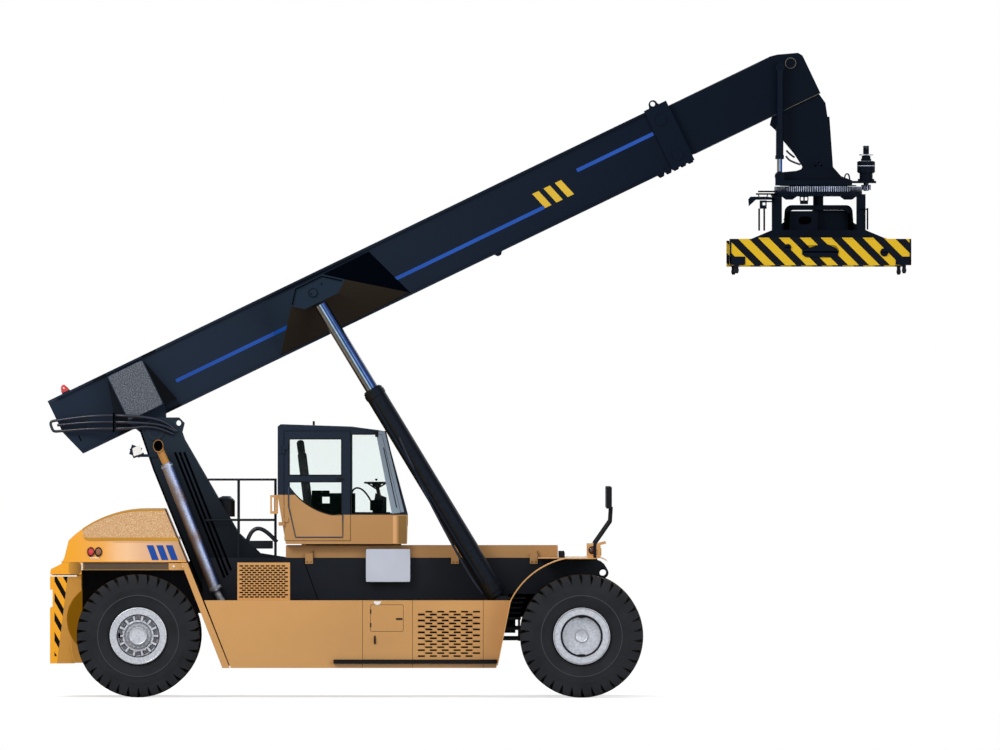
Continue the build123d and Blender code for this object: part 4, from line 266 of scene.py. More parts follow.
def rod(start, end, radius, steps=16):
    """Closed round bar between two points."""
    start, end = np.asarray(start, float), np.asarray(end, float)
    length = np.linalg.norm(end - start)
    return turned(((0, 0), (0, radius), (length, radius), (length, 0)), start, end - start, steps)


def stretched(shell, centre, factors):
    """A shell drawn out from a centre: centre + factors times the point's offset."""
    points, faces = shell
    return (points - centre) * factors + centre, faces


def circle_through(first, second, third):
    """Centre and radius of the circle through three points, which are all as far from its centre."""
    points = np.array((first, second, third), float)
    squares = (points**2).sum(axis=1)
    centre = np.linalg.solve(2 * (points[1:] - points[0]), squares[1:] - squares[0])
    return centre, np.linalg.norm(points[0] - centre)


def looped(outline, y, radius, reach=0.0, sides=8):
    """Bead laid round an outline on a side face: a tube of the given radius on the eased outline."""
    outline = rounded(outline, reach) if reach else np.asarray(outline, float)
    closed = np.concatenate([outline, outline[:1]])
    return swept(in_row(closed[:, 0], y, closed[:, 1]), radius, sides=sides)


def bolt_heads(places, y, radius, height, out):
    """Six-sided bolt heads at (x, z) places on a side face."""
    head = turned(((0, 0), (0, radius), (height, radius), (height * 1.2, radius * 0.8), (height * 1.2, 0)),
                  (0, 0, 0), (0, out, 0), 6)
    places = np.asarray(places, float)
    return repeated(head, in_row(places[:, 0], y, places[:, 1]))


def put(name, shell, body, material, bevel=0.0, smooth=35.0, replaces=()):
    """Makes a shell a piece in metres, with merged points, outward faces and creases kept sharp."""
    points, faces = shell
    mesh = bpy.data.meshes.new(name)
    mesh.from_pydata(points * MM, [], [face for block in faces for face in block.tolist()])
    work = bmesh.new()
    work.from_mesh(mesh)
    bmesh.ops.remove_doubles(work, verts=work.verts, dist=2e-5)
    bmesh.ops.recalc_face_normals(work, faces=work.faces)
    work.to_mesh(mesh)
    work.free()
    mesh.shade_smooth()
    mesh.set_sharp_from_angle(angle=math.radians(smooth))
    mesh.materials.append(material)
    piece = bpy.data.objects.new(name, mesh)
    bpy.context.scene.collection.objects.link(piece)
    if bevel:
        edge = piece.modifiers.new("eased edges", "BEVEL")
        edge.width = bevel * MM
        edge.segments = 2
        edge.limit_method = "ANGLE"
        edge.angle_limit = math.radians(40)
    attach(piece, body)
    if replaces:
        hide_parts(*replaces)
    return piece


# ------------------------------------------------------------------ materials
def linear(code):
    """Linear colour of an sRGB hex value such as 'cb9655'."""
    share = np.array([int(code[k:k + 2], 16) for k in (0, 2, 4)]) / 255
    value = np.where(share <= 0.04045, share / 12.92, ((share + 0.055) / 1.055) ** 2.4)
    return (*value.tolist(), 1.0)


def node(tree, kind, inputs=None, **settings):
    """Adds a node, sets its properties, and sets or links its inputs."""
    made = tree.nodes.new(kind)
    for key, value in settings.items():
        setattr(made, key, value)
    for key, value in (inputs or {}).items():
        if isinstance(value, bpy.types.NodeSocket):
            tree.links.new(value, made.inputs[key])
        else:
            made.inputs[key].default_value = value
    return made


def new_material(name, **shader):
    """A material with its Principled shader set, and the tree and the Object coordinates to build on."""
    material = bpy.data.materials.new(name)
    material.use_nodes = True
    tree = material.node_tree
    principled = tree.nodes["Principled BSDF"]
    for key, value in shader.items():
        principled.inputs[key.replace("_", " ").title().replace("Ior", "IOR")].default_value = value
    where = node(tree, "ShaderNodeTexCoord").outputs["Object"]
    return material, tree, principled, where


def mix_of(tree, share, first, second, blend="MIX"):
    """Colour between two, by a share."""
    mixed = node(tree, "ShaderNodeMix", {0: share}, data_type="RGBA", blend_type=blend)
    for key, value in ((6, first), (7, second)):
        if isinstance(value, bpy.types.NodeSocket):
            tree.links.new(value, mixed.inputs[key])
        else:
            mixed.inputs[key].default_value = value
    return mixed.outputs[2]


def calc(tree, operation, *values, clamp=False):
    """Result of one sum on numbers or sockets."""
    return node(tree, "ShaderNodeMath", dict(enumerate(values)), operation=operation, use_clamp=clamp).outputs[0]


def drift(tree, where, scale, low, high, first, second, detail=3.0):
    """Colour drifting between two with a noise whose waves are 1/scale metres long."""
    noise = node(tree, "ShaderNodeTexNoise", {"Vector": where, "Scale": scale, "Detail": detail})
    share = node(tree, "ShaderNodeMapRange",
                 {"Value": noise.outputs["Fac"], "From Min": low, "From Max": high}).outputs["Result"]
    return mix_of(tree, share, first, second)


def pebble(tree, where, principled, scale, strength, distance):
    """Fine relief from a noise, as sprayed or moulded surfaces have."""
    noise = node(tree, "ShaderNodeTexNoise", {"Vector": where, "Scale": scale, "Detail": 2.0})
    bump = node(tree, "ShaderNodeBump",
                {"Height": noise.outputs["Fac"], "Strength": strength, "Distance": distance})
    tree.links.new(bump.outputs["Normal"], principled.inputs["Normal"])


def low_dust(tree, where, colour, dust, top, amount):
    """Colour with road dust that thins out up to a height and lies in patches 0.4 m wide."""
    height = node(tree, "ShaderNodeSeparateXYZ", {"Vector": where}).outputs["Z"]
    share = node(tree, "ShaderNodeMapRange",
                 {"Value": height, "From Min": top, "From Max": 0.0}).outputs["Result"]
    patch = node(tree, "ShaderNodeTexNoise", {"Vector": where, "Scale": 2.5, "Detail": 4.0}).outputs["Fac"]
    return mix_of(tree, calc(tree, "MULTIPLY", calc(tree, "MULTIPLY", share, patch), amount), colour, dust)


def sprayed_enamel(name, colour, shade, roughness=0.38, coat=0.25, dust_top=1.2, dust=0.25, shine=0.5):
    """Two-pack enamel sprayed on steel plate: an even satin shine with faint orange peel.
    Peel is 2 mm across on the machine and is drawn 20 mm across so that it can show."""
    material, tree, principled, where = new_material(
        name, roughness=roughness, coat_weight=coat, coat_roughness=0.2, specular_ior_level=shine)
    tone = drift(tree, where, 0.9, 0.35, 0.65, linear(colour), linear(shade))
    tone = low_dust(tree, where, tone, linear("8a7a62"), dust_top, dust)
    tree.links.new(tone, principled.inputs["Base Color"])
    pebble(tree, where, principled, 50.0, 0.05, 0.002)
    return material


def distance_of(tree, *pairs):
    """Straight distance: the root of the sum of each coordinate's squared difference."""
    total = 0.0
    for value, middle in pairs:
        step = calc(tree, "SUBTRACT", value, middle)
        total = calc(tree, "ADD", calc(tree, "MULTIPLY", step, step), total)
    return calc(tree, "SQRT", total)


def graded_enamel(name, axis, stops, roughness=0.42, shine=0.3, throats=()):
    """Enamel whose tone runs along one axis of the machine: stops holds (place in metres, colour).
    throats holds (low, high, colour) runs along the boom where the hub's slanted gussets lie in shade."""
    material, tree, principled, where = new_material(name, roughness=roughness, specular_ior_level=shine)
    parts = node(tree, "ShaderNodeSeparateXYZ", {"Vector": where}).outputs
    first, last = stops[0][0], stops[-1][0]
    share = node(tree, "ShaderNodeMapRange",
                 {"Value": parts[axis], "From Min": first, "From Max": last}).outputs["Result"]
    ramp = node(tree, "ShaderNodeValToRGB", {0: share})
    marks = ramp.color_ramp.elements
    marks[0].color, marks[1].color = linear(stops[0][1]), linear(stops[-1][1])
    for place, colour in stops[1:-1]:
        marks.new((place - first) / (last - first)).color = linear(colour)
    tone = ramp.outputs["Color"]
    if throats:
        run = calc(tree, "ADD", calc(tree, "MULTIPLY", calc(tree, "SUBTRACT", parts["X"], PIVOT[0] * MM), ALONG[0]),
                   calc(tree, "MULTIPLY", calc(tree, "SUBTRACT", parts["Z"], PIVOT[2] * MM), ALONG[2]))
        side = calc(tree, "ABSOLUTE", parts["Y"])
        for low, high, colour in throats:
            within = calc(tree, "MULTIPLY", calc(tree, "GREATER_THAN", run, low), calc(tree, "LESS_THAN", run, high))
            within = calc(tree, "MULTIPLY", within, calc(tree, "MULTIPLY", calc(tree, "GREATER_THAN", side, 0.354),
                                                         calc(tree, "LESS_THAN", side, 0.618)))
            tone = mix_of(tree, within, tone, linear(colour))
    tree.links.new(tone, principled.inputs["Base Color"])
    pebble(tree, where, principled, 50.0, 0.05, 0.002)
    return material


def striped_enamel(name, first, second, pitch, share, start, slope, bands, roughness=0.4, hollows=()):
    """Enamel with slanting warning stripes: the second colour where x·slope + z wraps round a pitch.
    bands holds (axis, low, high) limits in metres outside which the first colour is plain."""
    material, tree, principled, where = new_material(name, roughness=roughness, specular_ior_level=0.05)
    parts = node(tree, "ShaderNodeSeparateXYZ", {"Vector": where}).outputs
    run = calc(tree, "ADD", calc(tree, "MULTIPLY", parts["X"], slope), parts["Z"])
    wrapped = calc(tree, "FRACT", calc(tree, "DIVIDE", calc(tree, "SUBTRACT", run, start), pitch))
    inside = calc(tree, "GREATER_THAN", wrapped, share)
    for axis, low, high in bands:
        place = calc(tree, "ABSOLUTE", parts[axis]) if axis == "Y" else parts[axis]
        inside = calc(tree, "MULTIPLY", inside, calc(tree, "GREATER_THAN", place, low))
        inside = calc(tree, "MULTIPLY", inside, calc(tree, "LESS_THAN", place, high))
    tone = mix_of(tree, inside, linear(first), linear(second))
    patch = node(tree, "ShaderNodeTexNoise", {"Vector": where, "Scale": 6.0, "Detail": 5.0}).outputs["Fac"]
    tone = mix_of(tree, calc(tree, "MULTIPLY", patch, 0.008), tone, linear("a08a60"))
    if hollows:
        # painted light and shade: the shaded bowl (x, |y|, z, radius) and the face behind a round cut (x, z, radius,
        # |y|) get a painted brown and a painted glow for light thrown back from the ground, darker in the disc (x, z,
        # radius) where the bowl is deepest
        side = calc(tree, "ABSOLUTE", parts["Y"])
        bowl_x, bowl_y, bowl_z, bowl_radius, cut_x, cut_z, cut_radius, cut_y = hollows[:8]
        bowl = calc(tree, "LESS_THAN", distance_of(tree, (parts["X"], bowl_x), (side, bowl_y),
                                                   (parts["Z"], bowl_z)), bowl_radius)
        cut = calc(tree, "MULTIPLY",
                   calc(tree, "LESS_THAN", distance_of(tree, (parts["X"], cut_x), (parts["Z"], cut_z)), cut_radius),
                   calc(tree, "LESS_THAN", side, cut_y))
        round_x, round_z, round_radius = hollows[8:]
        disc = calc(tree, "LESS_THAN", distance_of(tree, (parts["X"], round_x), (parts["Z"], round_z)), round_radius)
        inner = mix_of(tree, disc, linear("b5823c"), linear("84590c"))
        hollow = calc(tree, "MAXIMUM", bowl, cut)
        tone = mix_of(tree, hollow, tone, inner)
        tree.links.new(inner, principled.inputs["Emission Color"])
        tree.links.new(calc(tree, "MULTIPLY", hollow, 0.75), principled.inputs["Emission Strength"])
        # painted shade: the chamfer between the flat side and the round cut is painted a duller tan
        bevel = calc(tree, "MULTIPLY", calc(tree, "LESS_THAN", side, cut_y),
                     calc(tree, "GREATER_THAN", side, cut_y - 0.25))
        bevel = calc(tree, "MULTIPLY", bevel, calc(tree, "SUBTRACT", 1.0, calc(tree, "MAXIMUM", bowl, cut)))
        tone = mix_of(tree, calc(tree, "MULTIPLY", bevel, 0.8), tone, linear("c9924a"))
    tree.links.new(tone, principled.inputs["Base Color"])
    pebble(tree, where, principled, 50.0, 0.05, 0.002)
    return material


def two_tone_enamel(name, upper, lower):
    """Cab enamel in two colours that meet along the belt: level in front, rising as a parabola behind."""
    material, tree, principled, where = new_material(name, roughness=0.45, specular_ior_level=0.06)
    parts = node(tree, "ShaderNodeSeparateXYZ", {"Vector": where}).outputs
    behind = calc(tree, "MAXIMUM", calc(tree, "SUBTRACT", -1.95, parts["X"]), 0.0)
    rise = calc(tree, "MULTIPLY", calc(tree, "MULTIPLY", behind, behind), 1.009)
    line = calc(tree, "MINIMUM", calc(tree, "ADD", rise, 2.468), 2.738)
    share = calc(tree, "LESS_THAN", parts["Z"], line)
    light = drift(tree, where, 1.2, 0.35, 0.65, linear(lower), linear("b38858"))
    dark = drift(tree, where, 1.2, 0.35, 0.65, linear(upper), linear("222b39"))
    tree.links.new(mix_of(tree, share, dark, light), principled.inputs["Base Color"])
    pebble(tree, where, principled, 50.0, 0.05, 0.002)
    return material


def vulcanised_rubber(name, colour="191b1f", shade="212429"):
    """Tyre rubber cured in a mould: matt charcoal, brown road film on the tread, painted shade in dark brown in the
    grooves found by ambient occlusion, and a painted highlight on a thin ring of the sidewall.
    """
    material, tree, principled, where = new_material(name, roughness=0.75, specular_ior_level=0.2)
    tone = drift(tree, where, 3.0, 0.35, 0.65, linear(colour), linear(shade), detail=6.0)
    parts = node(tree, "ShaderNodeSeparateXYZ", {"Vector": where}).outputs
    reach = calc(tree, "MINIMUM", *(
        distance_of(tree, (parts["X"], axle[0] * MM), (parts["Z"], axle[2] * MM)) for axle in (FRONT_AXLE, REAR_AXLE)))
    tone = mix_of(tree, calc(tree, "MULTIPLY", calc(tree, "GREATER_THAN", reach, 0.822), 0.7), tone, linear("33261d"))
    # painted highlight: a lighter thin ring on the sidewall 548 mm from the axle
    ring = calc(tree, "LESS_THAN", calc(tree, "ABSOLUTE", calc(tree, "SUBTRACT", reach, 0.548)), 0.005)
    tone = mix_of(tree, calc(tree, "MULTIPLY", ring, 0.6), tone, linear("4a4d53"))
    # painted shade: ambient occlusion darkens the grooves to a dark brown
    open_share = node(tree, "ShaderNodeAmbientOcclusion", {"Distance": 0.07}, samples=6).outputs["AO"]
    hidden = node(tree, "ShaderNodeMapRange", {"Value": open_share, "From Min": 0.85, "From Max": 0.4}).outputs["Result"]
    tone = mix_of(tree, hidden, tone, linear("140e09"))
    tree.links.new(tone, principled.inputs["Base Color"])
    pebble(tree, where, principled, 110.0, 0.25, 0.003)
    return material


def silver_enamel(name, colour="cdd1da", shade="b3b7c1"):
    """Silver wheel paint: aluminium flake under clear coat, with patches 30 mm wide, and painted shade in grey where
    parts meet, found by ambient occlusion.
    """
    material, tree, principled, where = new_material(name, metallic=0.3, roughness=0.4, coat_weight=0.2)
    tone = drift(tree, where, 34.0, 0.35, 0.65, linear(colour), linear(shade), detail=5.0)
    # painted shade: ambient occlusion greys the paint where parts meet
    open_share = node(tree, "ShaderNodeAmbientOcclusion", {"Distance": 0.05}, samples=6).outputs["AO"]
    hidden = node(tree, "ShaderNodeMapRange", {"Value": open_share, "From Min": 0.9, "From Max": 0.3}).outputs["Result"]
    tree.links.new(mix_of(tree, hidden, tone, linear("5d5c63")), principled.inputs["Base Color"])
    pebble(tree, where, principled, 45.0, 0.3, 0.004)
    return material


def facing_enamel(name, directions, stops, metallic=0.0, roughness=0.42, shine=0.06):
    """Finish with painted light, shade and reflection set by the face's direction, for parts that take the sky on one
    side
    and the ground on the other: stops holds (share, colour) along (n·direction + 1) / 2 for the face's outward
    direction n."""
    material, tree, principled, where = new_material(
        name, metallic=metallic, roughness=roughness, specular_ior_level=shine)
    facing = tree.nodes["Texture Coordinate"].outputs["Normal"]
    share = node(tree, "ShaderNodeVectorMath", {0: facing, 1: directions}, operation="DOT_PRODUCT").outputs["Value"]
    share = calc(tree, "MULTIPLY", calc(tree, "ADD", share, 1.0), 0.5)
    ramp = node(tree, "ShaderNodeValToRGB", {0: share})
    marks = ramp.color_ramp.elements
    marks[0].color, marks[1].color = linear(stops[0][1]), linear(stops[-1][1])
    for place, colour in stops[1:-1]:
        marks.new(place).color = linear(colour)
    tone = ramp.outputs["Color"]
    speck = drift(tree, where, 18.0, 0.35, 0.65, linear("ffffff"), linear("e2e2e2"), detail=4.0)
    tree.links.new(mix_of(tree, 1.0, tone, speck, blend="MULTIPLY"), principled.inputs["Base Color"])
    return material


def bracket_enamel(name, hub, under, front):
    """Navy enamel of the lift brackets: the hub's face by the sky, its underside browned by light from the
    ground, the gusset towards the load in shade; the boom's tape runs on over the rear gusset. n is the face's outward
    direction, and the tape lies where |height over the pivot - 0.487 m| is under half its width."""
    material, tree, principled, where = new_material(name, roughness=0.6, specular_ior_level=0.0)
    facing = tree.nodes["Texture Coordinate"].outputs["Normal"]
    along, up = (node(tree, "ShaderNodeVectorMath", {0: facing, 1: tuple(direction)},
                      operation="DOT_PRODUCT").outputs["Value"] for direction in (ALONG, UP))
    tone = mix_of(tree, calc(tree, "GREATER_THAN", along, 0.12), linear(hub), linear(front))
    offset = node(tree, "ShaderNodeVectorMath", {0: where, 1: tuple(PIVOT * MM)}, operation="SUBTRACT").outputs[0]
    height = node(tree, "ShaderNodeVectorMath", {0: offset, 1: tuple(UP)}, operation="DOT_PRODUCT").outputs["Value"]
    tape = calc(tree, "LESS_THAN", calc(tree, "ABSOLUTE", calc(tree, "SUBTRACT", height, 0.487)), 0.025)
    tape = calc(tree, "MULTIPLY", tape, calc(tree, "LESS_THAN", along, -0.12))
    tone = mix_of(tree, tape, tone, linear("1a4a9c"))
    tone = mix_of(tree, calc(tree, "LESS_THAN", up, -0.12), tone, linear(under))
    tree.links.new(tone, principled.inputs["Base Color"])
    pebble(tree, where, principled, 50.0, 0.05, 0.002)
    return material


def machined_steel(name, colour="c3cbe0", shade="7f8aa6"):
    """Cut gear steel: grey-blue, greasy, with tool marks 15 mm apart so that they can show, and painted shade in dark
    blue in gaps and corners, found by ambient occlusion.
    """
    material, tree, principled, where = new_material(name, metallic=0.6, roughness=0.45)
    tone = drift(tree, where, 20.0, 0.35, 0.65, linear(colour), linear(shade), detail=5.0)
    # painted shade: ambient occlusion darkens gaps and corners to dark blue
    open_share = node(tree, "ShaderNodeAmbientOcclusion", {"Distance": 0.06}, samples=6).outputs["AO"]
    hidden = node(tree, "ShaderNodeMapRange", {"Value": open_share, "From Min": 1.0, "From Max": 0.6}).outputs["Result"]
    tree.links.new(mix_of(tree, hidden, tone, linear("0c1220")), principled.inputs["Base Color"])
    marks = node(tree, "ShaderNodeTexWave", {"Vector": where, "Scale": 22.0, "Distortion": 1.5})
    bump = node(tree, "ShaderNodeBump", {"Height": marks.outputs["Fac"], "Strength": 0.1, "Distance": 0.002})
    tree.links.new(bump.outputs["Normal"], principled.inputs["Normal"])
    return material


def tempered_glass(name, colour="2a5a50", alpha=0.016, through=0.0):
    """Tempered float glass with a green tint, or a film on it; through sets a painted glow in the tint's colour that
    stands in for daylight from behind.
    """
    material, tree, principled, where = new_material(
        name, roughness=0.04, alpha=alpha, specular_ior_level=0.1, base_color=linear(colour),
        emission_color=linear(colour), emission_strength=through)
    haze = node(tree, "ShaderNodeTexNoise", {"Vector": where, "Scale": 3.0, "Detail": 3.0}).outputs["Fac"]
    tree.links.new(node(tree, "ShaderNodeMapRange", {"Value": haze, "To Min": 0.03, "To Max": 0.09}).outputs["Result"],
                   principled.inputs["Roughness"])
    material.surface_render_method = "BLENDED"
    return material


def gritted_coating(name, colour, speck, base_roughness=0.85, scale=34.0):
    """Anti-slip coating: grit rolled into paint, light specks 15 mm apart standing out of it."""
    material, tree, principled, where = new_material(name, roughness=base_roughness)
    grit = node(tree, "ShaderNodeTexNoise", {"Vector": where, "Scale": scale, "Detail": 6.0, "Roughness": 0.7})
    share = node(tree, "ShaderNodeMapRange",
                 {"Value": grit.outputs["Fac"], "From Min": 0.47, "From Max": 0.62}).outputs["Result"]
    tree.links.new(mix_of(tree, share, linear(colour), linear(speck)), principled.inputs["Base Color"])
    bump = node(tree, "ShaderNodeBump", {"Height": grit.outputs["Fac"], "Strength": 0.5, "Distance": 0.006})
    tree.links.new(bump.outputs["Normal"], principled.inputs["Normal"])
    return material


def embossed_shield(name):
    """Shield over the hot exhaust: aluminium-coated sheet embossed with dimples 14 mm apart, its colour a painted
    reflection set by the face's direction, brown, then pale blue, then deep blue as the face turns forward and up, with
    brown patches where it ran hot.
    """
    material, tree, principled, where = new_material(name, metallic=0.5, roughness=0.35)
    dimples = node(tree, "ShaderNodeTexVoronoi", {"Vector": where, "Scale": 70.0})
    share = node(tree, "ShaderNodeMapRange",
                 {"Value": dimples.outputs["Distance"], "From Min": 0.15, "From Max": 0.6}).outputs["Result"]
    facing = tree.nodes["Texture Coordinate"].outputs["Normal"]
    sky = node(tree, "ShaderNodeVectorMath", {0: facing, 1: (0.931, 0.0, 0.365)}, operation="DOT_PRODUCT")
    ramp = node(tree, "ShaderNodeValToRGB", {0: calc(tree, "MULTIPLY", calc(tree, "ADD", sky.outputs["Value"], 1.0), 0.5)})
    marks = ramp.color_ramp.elements
    marks[0].color, marks[1].color = linear("6b5238"), linear("27345a")
    for place, colour in ((0.16, "a3876a"), (0.36, "a7a9b8"), (0.56, "cddaf8"), (0.7, "a9bbe8"), (0.86, "51659c")):
        marks.new(place).color = linear(colour)
    # painted reflection: the ramp by the face's direction, with brown patches mixed in where the shield ran hot
    reflection_and_heat_tint = drift(tree, where, 1.9, 0.5, 0.66, ramp.outputs["Color"], linear("8a6f5c"))
    tree.links.new(mix_of(tree, calc(tree, "MULTIPLY", share, 0.45), reflection_and_heat_tint, linear("3d4250")),
                   principled.inputs["Base Color"])
    bump = node(tree, "ShaderNodeBump",
                {"Height": dimples.outputs["Distance"], "Strength": 0.5, "Distance": 0.004})
    tree.links.new(bump.outputs["Normal"], principled.inputs["Normal"])
    return material


def woven_cloth(name, colour, shade):
    """Seat cloth: a plain weave, its threads drawn 8 mm apart so that they can show."""
    material, tree, principled, where = new_material(name, roughness=0.9, sheen_weight=0.3)
    weave = node(tree, "ShaderNodeTexChecker", {"Vector": where, "Scale": 125.0})
    tree.links.new(mix_of(tree, weave.outputs["Fac"], linear(colour), linear(shade)),
                   principled.inputs["Base Color"])
    pebble(tree, where, principled, 90.0, 0.3, 0.003)
    return material


def moulded_plastic(name, colour="16181c", shade="24272c", roughness=0.55, shine=0.15):
    """Moulded ABS or hose rubber: near black, satin, with a fine spark-eroded grain."""
    material, tree, principled, where = new_material(name, roughness=roughness, specular_ior_level=shine)
    tone = drift(tree, where, 6.0, 0.35, 0.65, linear(colour), linear(shade))
    tree.links.new(tone, principled.inputs["Base Color"])
    pebble(tree, where, principled, 120.0, 0.15, 0.002)
    return material


def lamp_lens(name, colour, glow):
    """Acrylic lamp lens over a reflector: saturated, glossy, brighter in moulded ribs 12 mm apart."""
    material, tree, principled, where = new_material(
        name, roughness=0.1, coat_weight=0.8, emission_strength=glow, emission_color=linear(colour))
    ribs = node(tree, "ShaderNodeTexWave", {"Vector": where, "Scale": 26.0}, bands_direction="Z").outputs["Fac"]
    dark = mix_of(tree, 0.45, linear(colour), linear("200808"))
    tree.links.new(mix_of(tree, ribs, dark, linear(colour)), principled.inputs["Base Color"])
    return material


FINISHES = {}


def make_finishes():
    """Makes every finish once."""
    look = bpy.context.scene.stacker_colours
    body = hex_of(look.body)
    FINISHES.update(
        tan=sprayed_enamel("tan_enamel", body, "c18e50"),
        orange=sprayed_enamel("orange_enamel", "f0a62c", "e39b27"),
        # painted shade: the navy darkens from the boom colour at x = -4.4 m to near black at x = 3.2 m towards the
        # front; the boom's throats are painted shade too
        navy=graded_enamel("navy_enamel", "X", ((-4.4, hex_of(look.boom)), (3.2, "030d1d")), shine=0.06),
        boom=graded_enamel("boom_navy_enamel", "X", ((-4.4, hex_of(look.boom)), (3.2, "030d1d")), shine=0.06,
                           throats=((0.271, 0.47, "030408"), (-0.47, -0.271, "0c1117"))),
        # painted shade: a darker copy of the navy for the inner boom, neck, rotator and spreader
        deep=graded_enamel("deep_navy_enamel", "X", ((2.0, "0d1724"), (5.0, "0a111c")), shine=0.03),
        # painted shade: the tower's navy is darker towards the bottom and lighter towards the top
        tower=graded_enamel("tower_navy_enamel", "Z", ((1.7, "0b1016"), (2.4, "121920"), (3.5, "202a35")), shine=0.08),
        # partly the paint's orange at the rear, partly painted light: a pale painted highlight near x = -4.8 m and
        # painted shade darkening the tan towards the front
        hood=graded_enamel("faded_hood_enamel", "X", (
            (-5.56, "efa52a"), (-5.40, "f0a63a"), (-5.07, "efac58"), (-4.90, "f4bf8a"), (-4.75, "f3c598"),
            (-4.55, "e4b58e"), (-4.2, "d3a983"), (-4.0, "c39a72")), roughness=0.45, shine=0.2),
        frame=sprayed_enamel("black_chassis_enamel", "10141b", "171c24", roughness=0.5, coat=0.0,
                             dust=0.1, shine=0.12),
        cab=two_tone_enamel("cab_two_tone_enamel", "202936", hex_of(np.array(look.body) * (0.907, 0.945, 1.13))),
        dun=sprayed_enamel("dun_rail_enamel", "b08758", "a67d50", roughness=0.5, coat=0.0, shine=0.2),
        hazard=striped_enamel("end_beam_warning_enamel", "060c17", hex_of(look.warning), 0.2822, 0.486,
                              9.8461, 1.0, (("Y", 2.805, 3.2),)),
        weight=striped_enamel(
            "counterweight_warning_enamel", "f0a62c", "07080b", 0.2665, 0.55, -8.9975, 1.77,
            (("X", -5.736, -5.5), ("Y", 1.636, 1.7), ("Z", 0.558, 1.641)),
            hollows=(REAR_AXLE[0] * MM, 1.1, REAR_AXLE[2] * MM, 1.018,
                     (WEIGHT_HIGH[0] + 305) * MM, REAR_AXLE[2] * MM + 0.207, 0.508, 1.6385,
                     *(WEIGHT_HIGH[0] * MM + 0.33, REAR_AXLE[2] * MM + 0.215, 0.53))),
        rubber=vulcanised_rubber("vulcanised_tyre_rubber"),
        silver=silver_enamel("silver_wheel_enamel"),
        # painted reflection: the chrome's colour follows the face's direction, brown towards the ground, pale blue and
        # deep blue towards the sky
        chrome=facing_enamel("hard_chrome_rod", tuple(LIFT_SKY), (
            (0.0, "645f55"), (0.09, "6a645a"), (0.2, "998f7d"), (0.32, "64656a"), (0.38, "74797e"),
            (0.43, "b9dcf5"), (0.47, "a3c7e6"), (0.53, "334667"), (0.58, "384c70"), (0.68, "445d94"),
            (0.8, "2b4172"), (1.0, "1c2a4c")), metallic=1.0, roughness=0.15, shine=0.5),
        # painted light and shade: the cylinders' navy turns brown on faces towards the ground and stays navy towards
        # the sky
        barrel=facing_enamel("cylinder_navy_enamel", tuple(LIFT_SKY), (
            (0.0, "14110d"), (0.23, "211e19"), (0.44, "1d1f22"), (0.52, "171f2a"), (0.7, "0f1622"),
            (0.85, "0b101a"), (1.0, "0e1624"))),
        bracket=bracket_enamel("bracket_navy_enamel", "212c39", "322c25", "03060d"),
        gear=machined_steel("machined_gear_steel"),
        steel=machined_steel("bare_bright_steel", "b9bdc6", "7d828c"),
        glass=tempered_glass("tempered_green_glass"),
        grit=gritted_coating("anti_slip_grit_coating", "c39463", "e6c9a2", scale=60.0),
        grey_grit=gritted_coating("grey_grit_coating", "343a44", "7d838f", scale=80.0),
        shield=embossed_shield("embossed_heat_shield"),
        cloth=woven_cloth("woven_seat_cloth", "141519", "22242a"),
        plastic=moulded_plastic("moulded_black_plastic", "07080a", "0d0f13"),
        hose=moulded_plastic("braided_hose_rubber", "091120", "111b2f", roughness=0.3, shine=0.45),
        red=lamp_lens("red_lamp_lens", "e01c22", 0.06),
        amber=lamp_lens("amber_lamp_lens", "9a5a2a", 0.0),
        ruby=lamp_lens("ruby_lamp_lens", "4a1010", 0.0),
        line=moulded_plastic("rim_joint_grey", "6b6f78", "5c6068", roughness=0.6),
        primer=sprayed_enamel("weathered_primer", "5d4c3e", "4c3f35", roughness=0.7, coat=0.0, shine=0.2),
        gilt=sprayed_enamel("dark_gold_enamel", "8a6526", "765420", roughness=0.5, coat=0.0),
        screen=tempered_glass("laminated_screen_edge", "8c9bab", 0.9),
        # painted light: the sun film glows faintly in its mint colour
        film=tempered_glass("mint_sun_film", "40ffe8", 0.07, 0.3),
        blue=sprayed_enamel("blue_vinyl_tape", "174496", "1c4fa8", roughness=0.5, coat=0.0, shine=0.2),
        yellow=sprayed_enamel("yellow_vinyl_tape", "d9b437", "caa52d", roughness=0.5, coat=0.0, shine=0.2),
        pale=sprayed_enamel("pale_grey_enamel", "c3cbdb", "b5bdce", roughness=0.45),
        white=sprayed_enamel("white_enamel", "f4f4f2", "e6e6e4", roughness=0.5, dust=0.05),
        recess=graded_enamel("shaded_hood_corner", "X", ((-5.55, "c98f3a"), (-5.38, "7e5a2a")), shine=0.1),
        # painted highlight: a light tan for lit bends of the hood and the cab
        faded=sprayed_enamel("sun_faded_tan_enamel", "dba873", "d39d66", roughness=0.5, coat=0.0),
        # pale warm-grey lines round the tip pin caps and along the tip plate edge
        dull=sprayed_enamel("weathered_seam_sealer", "8d8371", "6f6658", roughness=0.6, coat=0.0),
        # painted highlight: grey lines along the boom's flange edges
        worn=sprayed_enamel("worn_edge_grey", "4b5058", "41464e", roughness=0.6, coat=0.0, shine=0.1),
        sky=sprayed_enamel("sky_lit_flange_edge", "2f4573", "283c66", roughness=0.5, coat=0.0, shine=0.1),
        slate=sprayed_enamel("slate_panel_line", "3d4d60", "364557", roughness=0.5, coat=0.0, shine=0.1),
        gold=sprayed_enamel("gold_enamel", "c48d22", "b88018", roughness=0.5, coat=0.0),
        pipe=sprayed_enamel("heat_browned_pipe", "b07c35", "8a5c22", roughness=0.5, coat=0.0),
        seam=moulded_plastic("shut_line_rubber", "3b342a", "4a4133", roughness=0.7),
        void=moulded_plastic("unlit_inside_black", "020203", "040405", roughness=0.9, shine=0.0),
    )


